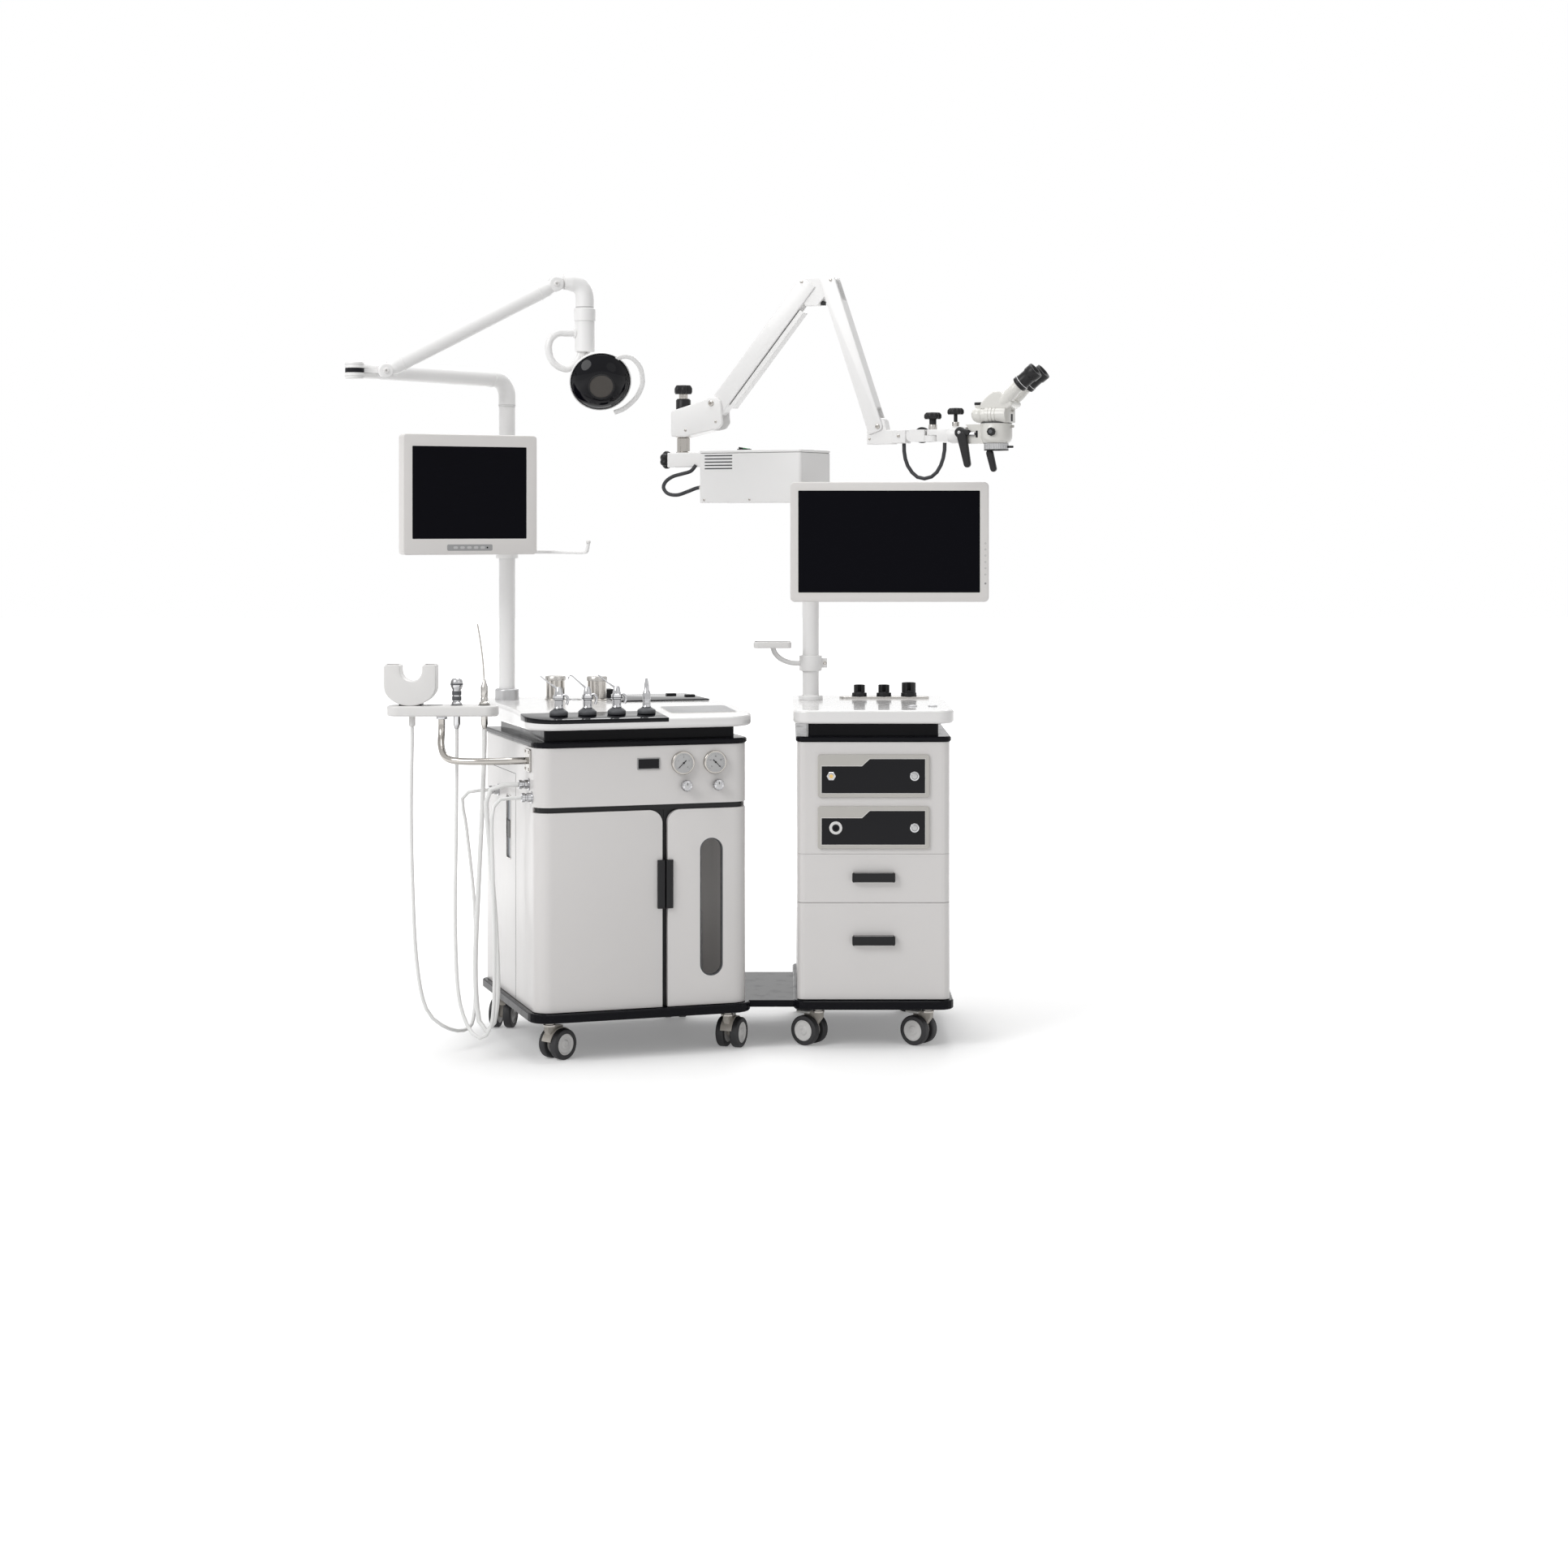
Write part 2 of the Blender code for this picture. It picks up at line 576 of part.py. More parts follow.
def upright(shape, x, y, z=0.0):
    return moved(shape, Matrix.Translation((x, y, z)))


def facing(shape, x, y, z):
    """Turns a body made about +Z so that it points to the front, then places it."""
    return moved(shape, Matrix.Translation((x, y, z)) @ Matrix.Rotation(math.pi / 2, 4, "X"))


def sideways(shape, x, y, z, turn=0.0):
    """Turns a body made about +Z so that it points to the left, then places it."""
    spin = Matrix.Rotation(turn, 4, "Z") @ Matrix.Rotation(-math.pi / 2, 4, "Y")
    return moved(shape, Matrix.Translation((x, y, z)) @ spin)


def plate(outline, half_low, half_high):
    """Plate whose outline is given in the upright X-Z plane, between two Y values."""
    return rings([[(x, y, z) for x, z in outline] for y in (half_low, half_high)])


def lug(point, radius, end, half_low, half_high):
    """Plate with a round eye at one point that runs to a flat end at another."""
    x, z = point
    heading = math.atan2(end[1] - z, end[0] - x)
    quarter = math.pi / 2
    outline = arc(x, z, radius, heading + quarter, heading + 3 * quarter, 8)
    side = (radius * math.sin(heading), -radius * math.cos(heading))
    outline += [(end[0] + side[0], end[1] + side[1]), (end[0] - side[0], end[1] - side[1])]
    return plate(outline, half_low, half_high)


def combine(kind, base, tools):
    for tool in tools:
        step = base.modifiers.new("step", "BOOLEAN")
        step.operation = kind
        step.solver = "EXACT"
        step.object = tool
        graph = bpy.context.evaluated_depsgraph_get()
        result = bpy.data.meshes.new_from_object(base.evaluated_get(graph), depsgraph=graph)
        work = bmesh.new()
        work.from_mesh(result)
        bmesh.ops.remove_doubles(work, verts=work.verts, dist=WELD)
        bmesh.ops.dissolve_degenerate(work, edges=work.edges, dist=WELD)
        bmesh.ops.dissolve_limit(work, angle_limit=FLAT_ANGLE, verts=work.verts, edges=work.edges)
        work.to_mesh(result)
        work.free()
        base.modifiers.clear()
        base.data = result
        bpy.data.objects.remove(tool, do_unlink=True)
    return base


def joined(base, *others):
    return combine("UNION", base, list(others))


def cut(base, *others):
    return combine("DIFFERENCE", base, list(others))


def finish_of(name, owner):
    colour, rough, metal = FINISHES[name]
    made = bpy.data.materials.new(owner + "_" + name)
    made.use_nodes = True
    shader = made.node_tree.nodes["Principled BSDF"]
    shader.inputs["Base Color"].default_value = (*colour, 1.0)
    shader.inputs["Roughness"].default_value = rough
    shader.inputs["Metallic"].default_value = metal
    made.diffuse_color = (*colour, 1.0)
    return made


def node(name, shape, finish, frame, origin=(0.0, 0.0, 0.0)):
    """Names a finished body and puts its origin where it turns or starts."""
    place = Vector(origin)
    flat = frame.to_3x3().to_4x4()
    shape.data.transform(flat @ Matrix.Translation(-place))
    shape.location = frame @ place
    shape.name = name
    shape.data.name = name
    shape.data.materials.clear()
    shape.data.materials.append(finish_of(finish, name))
    shape.data.shade_smooth()
    shape.data.set_sharp_from_angle(angle=math.radians(32))
    return shape


def cord(name, points, radius, finish, spacing):
    route = smooth_route(points, spacing)
    lead = (Vector(points[1]) - Vector(points[0])).normalized() * radius
    tail = (Vector(points[-2]) - Vector(points[-1])).normalized() * radius
    route = [route[0], route[0] + lead] + route[1:-1] + [route[-1] + tail, route[-1]]
    curve = bpy.data.curves.new(name, "CURVE")
    curve.dimensions = "3D"
    curve.bevel_depth = radius
    curve.bevel_resolution = 2
    curve.use_fill_caps = True
    line = curve.splines.new("POLY")
    line.points.add(len(route) - 1)
    for spot, point in zip(line.points, route):
        spot.co = (*(point - route[0]), 1.0)
    line.use_smooth = True
    made = bpy.data.objects.new(name, curve)
    made.location = route[0]
    bpy.context.scene.collection.objects.link(made)
    curve.materials.append(finish_of(finish, name))
    return made


# Casters
def wheel_pair():
    near = WHEEL_SPACE / 2
    far = near + WHEEL_THICK
    tread = WHEEL_RADIUS
    round_edge = WHEEL_ROUND
    half = [(AXLE_RADIUS, near), (tread - round_edge, near), (tread, near + round_edge),
            (tread, far - round_edge), (tread - round_edge, far), (0.0, far)]
    profile = [(r, -x) for r, x in reversed(half)] + half
    return moved(turned(profile, 16), Matrix.Rotation(math.pi / 2, 4, "Y"))


def caster(prefix, number, frame, x, y, heading, brake):
    here = frame @ frame_at(x, y, heading)
    axle = (0.0, CASTER_TRAIL, WHEEL_RADIUS)
    node(prefix + "_caster_wheels_" + str(number), upright(wheel_pair(), *axle), "grey_rubber",
         here, axle)
    half = FORK_THICK / 2
    top = BASE_LOW - GAP - STEM_HIGH
    lug = arc(CASTER_TRAIL, WHEEL_RADIUS, FORK_LUG_RADIUS, -math.pi * 0.9, math.pi * 0.1, 8)
    outline = lug + [(CASTER_TRAIL + FORK_LUG_RADIUS, top - BITE), (CASTER_TRAIL / 2, top + BITE),
                     (-STEM_RADIUS * 0.8, top + BITE), (-STEM_RADIUS * 0.8, top - STEM_HIGH)]
    web = rings([[(x_at, y_at, z_at) for y_at, z_at in outline] for x_at in (-half, half)])
    parts = [drum(STEM_RADIUS, top, BASE_LOW - GAP)]
    if brake:
        hood_low = WHEEL_RADIUS * 2 + EDGE
        parts.append(block(-LEVER_WIDE / 2, LEVER_WIDE / 2, CASTER_TRAIL - half,
                           CASTER_TRAIL + LEVER_LONG, hood_low, hood_low + LEVER_THICK))
    fork = joined(web, *parts)
    hole = drum(AXLE_RADIUS + GAP, -REACH, REACH, 20)
    hole = moved(hole, Matrix.Translation(axle) @ Matrix.Rotation(math.pi / 2, 4, "Y"))
    cut(fork, hole)
    node(prefix + "_caster_fork_" + str(number), fork, "black_plastic", here)


# Scope cabinet
def scope_base_plate(frame, treat):
    half = SCOPE_WIDE / 2
    base = slab((-half, half, 0.0, SCOPE_DEEP), SCOPE_CORNER, SCOPE_BACK_CORNER, BASE_LOW,
                BASE_HIGH, EDGE)
    inverse = frame.inverted()
    side = []
    for level in (BRIDGE_BACK, BRIDGE_FRONT):
        along = inverse @ (treat @ Vector((TREAT_WIDE + GAP, 0.0, 0.0)))
        way = inverse.to_3x3() @ (treat.to_3x3() @ Vector((0.0, 1.0, 0.0)))
        run = (level - along.y) / way.y
        side.append((along.x + way.x * run, level))
    outline = [(-half + EDGE + BITE, BRIDGE_FRONT), (-half + EDGE + BITE, BRIDGE_BACK)] + side
    bridge = prism(outline, BASE_LOW + BITE, BASE_LOW + BRIDGE_THICK)
    node("scope_base_plate", joined(base, bridge), "black_laminate", frame)


def unit_face(levels, socket_x, socket_radius):
    low, high = levels
    half = UNIT_WIDE / 2
    front = SCOPE_BODY_FRONT - UNIT_PROUD
    outline = rounded((-half, half, low, high), UNIT_CORNER, UNIT_CORNER, steps=2)
    rim = plate(outline, front, SCOPE_BODY_FRONT + BITE)
    inner = rounded((-half, half, low, high), UNIT_CORNER, UNIT_CORNER, UNIT_RIM, steps=2)
    middle = (low + high) / 2
    socket = facing(drum(socket_radius, -BITE, DIAL_PROUD), socket_x, front + UNIT_SUNK, middle)
    dial = facing(drum(DIAL_RADIUS, -BITE, DIAL_PROUD), DIAL_X, front + UNIT_SUNK, middle)
    return rim, plate(inner, -REACH, front + UNIT_SUNK), socket, dial


def scope_shell(frame):
    half = SCOPE_BODY_WIDE / 2
    low = BASE_HIGH + GAP
    split = DRAWER_SPLITS[2]
    shell = prism(rounded((-half, half, SCOPE_BODY_FRONT, SCOPE_BODY_BACK), SCOPE_BODY_CORNER,
                          SHEET), low, BODY_HIGH)
    inner = half - SHEET
    drawer_back = SCOPE_BODY_FRONT + DRAWER_FRONT_THICK
    cut(shell,
        block(-REACH, REACH, -REACH, drawer_back + GAP, -REACH, split),
        block(-inner, inner, -REACH, SCOPE_BODY_BACK - SHEET, low + SHEET, split - SHEET),
        block(-inner, inner, SCOPE_BODY_FRONT + SHEET, REACH, split + SHEET, BODY_HIGH - SHEET))
    for levels, socket_x, radius in zip(UNIT_LEVELS, SOCKET_X, SOCKET_RADII):
        rim, hollow, socket, dial = unit_face(levels, socket_x, radius)
        cut(joined(shell, rim), hollow)
        joined(shell, socket, dial)
    node("scope_shell", shell, "white_paint", frame)


def drawer(name, frame, low, high, pull_z):
    half = SCOPE_BODY_WIDE / 2
    front = SCOPE_BODY_FRONT
    back = front + DRAWER_FRONT_THICK
    face = slab((-half, half, front, back), SCOPE_BODY_CORNER, 0.0, low + DRAWER_SEAM / 2,
                high - DRAWER_SEAM / 2)
    wide = DRAWER_TRAY_WIDE / 2
    tray = block(-wide, wide, back - BITE, back + DRAWER_TRAY_DEEP, low + DRAWER_LIFT,
                 high - DRAWER_HEADROOM)
    inside = block(-wide + DRAWER_WALL, wide - DRAWER_WALL, back + DRAWER_WALL,
                   back + DRAWER_TRAY_DEEP - DRAWER_WALL, low + DRAWER_LIFT + DRAWER_WALL, REACH)
    pull = rings([[(x, y, z) for x, y in rounded((-PULL_WIDE / 2, PULL_WIDE / 2, front - PULL_DEEP,
                                                 front + BITE), PULL_CORNER, 0.0, steps=2)]
                  for z in (pull_z - PULL_HIGH / 2, pull_z + PULL_HIGH / 2)])
    joined(cut(tray, inside), face, pull)
    node(name, tray, "white_paint", frame, (0.0, front, (low + high) / 2))


def trim_and_riser(name, frame, bounds, corner, back_corner, riser, finish="black_laminate"):
    low = BODY_HIGH + GAP
    x0, x1, y0, y1 = bounds
    wide = (x0 - TRIM_OVER, x1 + TRIM_OVER, y0 - TRIM_OVER, y1 + TRIM_OVER)
    trim = slab(wide, corner + TRIM_OVER, back_corner + TRIM_OVER, low, TRIM_HIGH, EDGE)
    step = prism(rounded(riser, SHEET, SHEET, steps=3), TRIM_HIGH - BITE, RISER_HIGH)
    node(name, joined(trim, step), finish, frame)


def scope_worktop(frame):
    half = SCOPE_TOP_WIDE / 2
    top = slab((-half, half, SCOPE_TOP_FRONT, SCOPE_TOP_BACK), SCOPE_TOP_CORNER,
               SCOPE_BACK_CORNER, RISER_HIGH + GAP, TOP_HIGH, TOP_EDGE)
    parts = [block(*HOLDER_X, *HOLDER_Y, TOP_HIGH - BITE, TOP_HIGH + HOLDER_THICK)]
    hollows = []
    middle = sum(HOLDER_Y) / 2
    for x, radius, high, flange in zip(CUP_X, CUP_RADII, CUP_HIGH, CUP_FLANGE):
        top_at = TOP_HIGH + high
        foot = TOP_HIGH + CUP_FLANGE_HIGH
        cup = turned([(0.0, TOP_HIGH), (radius + flange, TOP_HIGH), (radius + flange, foot),
                      (radius, foot), (radius, top_at), (0.0, top_at)])
        parts.append(upright(cup, x, middle))
        bore = drum(radius - CUP_WALL, TOP_HIGH + HOLDER_STEP, REACH)
        hollows.append(upright(bore, x, middle))
        hollows.append(block(x - CUP_NOTCH / 2, x + CUP_NOTCH / 2, -REACH, middle,
                             TOP_HIGH + high / 2, REACH))
    for x in BUTTON_X:
        parts.append(upright(drum(BUTTON_RADIUS, TOP_HIGH - BITE, TOP_HIGH + BUTTON_PROUD), x,
                             BUTTON_Y))
    cut(joined(top, *parts), *hollows)
    node("scope_worktop", top, "white_plastic", frame)


def scope_pole(frame):
    low = TOP_HIGH + GAP
    pole = turned([(0.0, low), (SPOLE_FOOT_RADIUS, low), (SPOLE_FOOT_RADIUS, low + SPOLE_FOOT_HIGH),
                   (SPOLE_RADIUS, low + SPOLE_FOOT_HIGH), (SPOLE_RADIUS, BOX_LOW - GAP),
                   (0.0, BOX_LOW - GAP)], 24)
    node("scope_pole", pole, "white_paint", frame)


def clamp_ring(radius, low, high):
    return drum(radius + RING_WALL, low, high, 24, EDGE / 2)


def ring_hole(radius):
    return drum(radius + GAP, -REACH, REACH, 24)


def tray_arm(frame):
    ring = clamp_ring(SPOLE_RADIUS, TRAY_RING_LOW, TRAY_RING_HIGH)
    middle = (TRAY_RING_LOW + TRAY_RING_HIGH) / 2
    ear = block(SPOLE_RADIUS + BITE, TRAY_EAR, -TRAY_EAR_THICK / 2, TRAY_EAR_THICK / 2,
                middle - TRAY_EAR_THICK, middle + TRAY_EAR_THICK)
    rod = tube(smooth_route(scaled(TRAY_ROUTE), TRAY_ROD * 2), TRAY_ROD)
    deep = TRAY_DEEP / 2
    dish_y = TRAY_ROUTE[-1][1] * MM
    dish = slab((*TRAY_X, dish_y - deep, dish_y + deep), TRAY_CORNER, TRAY_CORNER, *TRAY_LEVELS,
                EDGE)
    cut(joined(ring, ear, rod, dish), ring_hole(SPOLE_RADIUS))
    node("tray_arm", ring, "white_paint", frame, (0.0, 0.0, middle))


def doctor_monitor(frame):
    shift_x = PANEL_X - SPOLE_X
    front = PANEL_FRONT - SPOLE_Y
    low = PANEL_Z - PANEL_HIGH / 2
    half = PANEL_WIDE / 2
    outline = rounded((shift_x - half, shift_x + half, low, low + PANEL_HIGH), PANEL_CORNER,
                      PANEL_CORNER, steps=4)
    panel = plate(outline, front, front + PANEL_THICK)
    back = front + PANEL_THICK
    wide = PANEL_BACK_WIDE / 2
    high = PANEL_BACK_HIGH / 2
    boss = block(shift_x - wide, shift_x + wide, back - BITE, back + PANEL_BACK_THICK,
                 PANEL_Z - high, PANEL_Z + high)
    arm_low = PANEL_Z - PANEL_ARM_HIGH / 2
    arm_high = PANEL_Z + PANEL_ARM_HIGH / 2
    arm = block(0.0, shift_x + PANEL_ARM_HIGH / 2, -PANEL_ARM_THICK / 2, PANEL_ARM_THICK / 2,
                arm_low, arm_high)
    stub = block(shift_x - PANEL_ARM_HIGH / 2, shift_x + PANEL_ARM_HIGH / 2, back, 0.0,
                 arm_low + EDGE, arm_high - EDGE)
    ring = clamp_ring(SPOLE_RADIUS, arm_low - EDGE, arm_high + EDGE)
    cut(joined(panel, boss, arm, stub, ring), ring_hole(SPOLE_RADIUS))
    node("doctor_monitor", panel, "white_plastic", frame, (0.0, 0.0, PANEL_Z))


def light_box(frame):
    case = slab((BOX_LEFT, BOX_RIGHT, BOX_FRONT, BOX_BACK), BOX_CORNER, BOX_CORNER, BOX_LOW,
                BOX_HIGH, EDGE, steps=3)
    arm = slab((BRACKET_LEFT, BOX_LEFT + SHEET, -BRACKET_HALF, BRACKET_HALF), BOX_CORNER,
               BOX_CORNER, BRACKET_LOW, BOX_HIGH - EDGE, EDGE, steps=2)
    post = upright(drum(POST_RADIUS, BOX_HIGH - SHEET, POST_HIGH), POST_AT, 0.0)
    knob = turned([(0.0, 0.0)] + scaled(SIDE_KNOB) + [(0.0, SIDE_KNOB[-1][1] * MM)], 16)
    knob = sideways(knob, BRACKET_LEFT + BITE, 0.0, (BRACKET_LOW + BOX_HIGH) / 2)
    switch = block(*SWITCH_X, *SWITCH_Y, BOX_HIGH - BITE, BOX_HIGH + SWITCH_HIGH)
    plug = sideways(drum(PLUG_RADIUS, -BITE, PLUG_LONG, 14), BOX_LEFT, PLUG_Y, PLUG_Z)
    route = [(x, PLUG_Y + (BRACKET_HALF - CABLE_RADIUS) * max(0.0, (z - PLUG_Z)) / (60 * MM) * 0.6, z)
             for x, z in scaled(REAR_CABLE)]
    cable = tube(smooth_route(route, CABLE_RADIUS * 4), CABLE_RADIUS, 8)
    joined(case, arm, post, knob, switch, plug, cable)
    node("light_box", case, "white_paint", frame, (0.0, 0.0, BOX_LOW))


# Microscope arm
def beam(start, end, half_wide, half_thick):
    """Rounded bar between two pivots with a bore at each."""
    a = Vector(start)
    b = Vector(end)
    heading = math.atan2(b[1] - a[1], b[0] - a[0])
    quarter = math.pi / 2
    outline = arc(b[0], b[1], half_wide, heading - quarter, heading + quarter, 8)
    outline += arc(a[0], a[1], half_wide, heading + quarter, heading + 3 * quarter, 8)
    bar = plate(outline, -half_thick, half_thick)
    holes = [facing(drum(PIN_RADIUS + GAP, -REACH, REACH, 16), p[0], 0.0, p[1]) for p in (a, b)]
    return cut(bar, *holes)


def pin(point, half, radius=PIN_RADIUS):
    return facing(drum(radius, -half, half, 16), point[0], 0.0, point[1])


def knob_shape(neck, radius, levels):
    low, mid, high = levels
    return turned([(0.0, low), (neck, low), (neck, mid), (radius, mid + EDGE), (radius, high - EDGE),
                   (radius - EDGE, high), (0.0, high)], 16)


def slot_round(point, half_wide):
    reach = half_wide + SLOT_ROUND
    shape = drum(reach, -BEAM_HALF_THICK - GAP, BEAM_HALF_THICK + GAP, 24)
    return facing(shape, point[0], 0.0, point[1])


def arm_base(frame):
    inner = BEAM_HALF_THICK + GAP
    casting = plate(scaled(CASTING), -CHEEK_HALF_THICK, CHEEK_HALF_THICK)
    cut(casting, slot_round(PIVOT_A, LOWER_BEAM_HALF),
        block(PIVOT_A[0], REACH, -inner, inner, -REACH, REACH),
        block(PIVOT_A[0] - LOWER_BEAM_HALF, REACH, -inner, inner, PIVOT_A[1], REACH))
    knob = knob_shape(KNOB_NECK_RADIUS, KNOB_RADIUS, KNOB_LEVELS)
    nut = drum(NUT_RADIUS, KNOB_LEVELS[0], NUT_HIGH, edge=EDGE)
    foot = drum(POST_RADIUS + EDGE, POST_HIGH + GAP, POST_HIGH + SHEET * 2)
    joined(casting, knob, nut, foot, pin(PIVOT_A, CHEEK_HALF_THICK - BITE))
    node("microscope_arm_base", casting, "white_paint", frame, (0.0, 0.0, POST_HIGH))


def lower_arm(frame):
    bar = beam(PIVOT_A, PIVOT_B, LOWER_BEAM_HALF, BEAM_HALF_THICK)
    way = (Vector(PIVOT_B) - Vector(PIVOT_A)).normalized()
    side = Vector((way.y, -way.x))
    start = Vector(PIVOT_A) + way * STRIP_INSET
    end = Vector(PIVOT_B) - way * STRIP_INSET
    low = LOWER_BEAM_HALF - BITE
    strip = [start + side * low, start + side * STRIP_REACH, end + side * STRIP_REACH, end + side * low]
    joined(bar, plate([tuple(corner) for corner in strip], -STRIP_HALF, STRIP_HALF))
    node("microscope_lower_arm", bar, "white_paint", frame, (PIVOT_A[0], 0.0, PIVOT_A[1]))


def arm_link(frame):
    crown = LINK_CROWN
    low = LINK_DROP
    web_left, web_right = LINK_WEB
    outline = arc(PIVOT_C[0], PIVOT_C[1], crown, -math.pi / 3, math.pi / 2, 8)
    outline += arc(PIVOT_B[0], PIVOT_B[1], crown, math.pi / 2, math.pi * 4 / 3, 8)
    outline += [(web_left, low), (web_right, low)]
    link = plate(outline, -CHEEK_HALF_THICK, CHEEK_HALF_THICK)
    inner = BEAM_HALF_THICK + GAP
    cut(link, block(-REACH, web_left, -inner, inner, -REACH, REACH),
        block(web_right, REACH, -inner, inner, -REACH, REACH))
    joined(link, pin(PIVOT_B, CHEEK_HALF_THICK - BITE), pin(PIVOT_C, CHEEK_HALF_THICK - BITE))
    node("microscope_arm_link", link, "white_paint", frame, (PIVOT_B[0], 0.0, PIVOT_B[1]))


def upper_arm(frame):
    bar = beam(PIVOT_C, PIVOT_D, UPPER_BEAM_HALF, BEAM_HALF_THICK)
    node("microscope_upper_arm", bar, "white_paint", frame, (PIVOT_C[0], 0.0, PIVOT_C[1]))


def end_bracket(frame):
    inner = BEAM_HALF_THICK + GAP
    casting = plate(scaled(END_BRACKET), -CHEEK_HALF_THICK, CHEEK_HALF_THICK)
    cut(casting, slot_round(PIVOT_D, UPPER_BEAM_HALF),
        block(-REACH, PIVOT_D[0] + UPPER_BEAM_HALF, -inner, inner, PIVOT_D[1], REACH),
        block(-REACH, PIVOT_D[0], -inner, inner, PIVOT_D[1] - UPPER_BEAM_HALF - SLOT_ROUND, REACH))
    right = END_BRACKET[1][0] * MM
    coupler = block(right - SHEET, COUPLER_RIGHT, -COUPLER_HALF, COUPLER_HALF, *COUPLER_LEVELS)
    tongue = block(COUPLER_RIGHT - BITE, TURN_AT, -TONGUE_HALF, TONGUE_HALF, *TONGUE_LEVELS)
    eye = upright(drum(TURN_RADIUS, *TONGUE_LEVELS), TURN_AT, 0.0)
    joined(casting, pin(PIVOT_D, CHEEK_HALF_THICK - BITE), coupler, tongue, eye)
    cut(casting, upright(drum(PIN_RADIUS + GAP, -REACH, REACH, 16), TURN_AT, 0.0))
    node("microscope_end_bracket", casting, "white_paint", frame, (PIVOT_D[0], 0.0, PIVOT_D[1]))


def carriage(frame):
    clevis = upright(drum(TURN_RADIUS, CLEVIS_LEVELS[0] + GAP, CLEVIS_LEVELS[1] - GAP), TURN_AT, 0.0)
    arm = block(TURN_AT, TILT_AT[0] - TILT_RADIUS - GAP, -CLEVIS_HALF, CLEVIS_HALF, *CLEVIS_LEVELS)
    behind = (TILT_AT[0] - TILT_RADIUS - BITE, TILT_AT[1])
    eye = lug(TILT_AT, TILT_RADIUS, behind, -CLEVIS_HALF + GAP, -GAP)
    joined(clevis, arm, eye)
    low, high = TONGUE_LEVELS
    cut(clevis, upright(drum(TURN_RADIUS + SLOT_ROUND, low - GAP, high + GAP, 24), TURN_AT, 0.0),
        block(-REACH, TURN_AT, -REACH, REACH, low - GAP, high + GAP))
    parts = [knob_shape(SMALL_KNOB_NECK, SMALL_KNOB_RADIUS, levels) for levels in SMALL_KNOB_LEVELS]
    parts = [upright(part, x, 0.0) for part, x in zip(parts, SMALL_KNOB_AT)]
    spindle = upright(drum(PIN_RADIUS, CLEVIS_LEVELS[0] + BITE, CLEVIS_LEVELS[1] - BITE, 16),
                      TURN_AT, 0.0)
    cap = facing(drum(CAP_RADIUS, CLEVIS_HALF - BITE, CLEVIS_HALF + CAP_THICK, 16), TILT_AT[0],
                 0.0, TILT_AT[1])
    grip = tube(scaled(GRIP_ONE), GRIP_RADIUS, 8)
    joined(clevis, spindle, cap, grip, *parts)
    node("microscope_carriage", clevis, "cream_enamel", frame, (TURN_AT, 0.0, CLEVIS_LEVELS[0]))


def microscope_body(frame):
    pod = upright(turned(scaled(POD), 16), POD_AT, 0.0)
    half = HEAD_PLATE_HALF
    eye = lug(TILT_AT, half, (POD_AT, TILT_AT[1]), GAP, half)
    turret = sideways(turned(scaled(DRUM_SHAPE), 16), DRUM_AT[0], 0.0, DRUM_AT[1])
    x0, x1, y0, y1, z0, z1 = EYE_BLOCK
    housing = slab((x0, x1, y0, y1), EYE_CORNER, EYE_CORNER, z0, z1, EDGE * 2, steps=3)
    tubes = []
    for side in (-EYE_SPREAD, EYE_SPREAD):
        route = [(x * MM, side * min(1.0, (x - 880) / 60), z * MM) for x, z, r in EYE_TUBE]
        tubes.append(tube(route, [r * MM for x, z, r in EYE_TUBE], 12))
    grip = tube(scaled(GRIP_TWO), GRIP_RADIUS, 8)
    joined(pod, eye, turret, housing, grip, *tubes)
    node("microscope_body", pod, "cream_enamel", frame, (TILT_AT[0], 0.0, TILT_AT[1]))


def in_plane(frame, points, side=0.0):
    return [frame @ Vector((x * MM, side, z * MM)) for x, z in points]


# Treatment cabinet
def treatment_base_plate(frame):
    base = slab((0.0, TREAT_WIDE, 0.0, TREAT_DEEP), TREAT_CORNER, TREAT_BACK_CORNER, BASE_LOW,
                BASE_HIGH, EDGE)
    node("treatment_base_plate", base, "black_laminate", frame)


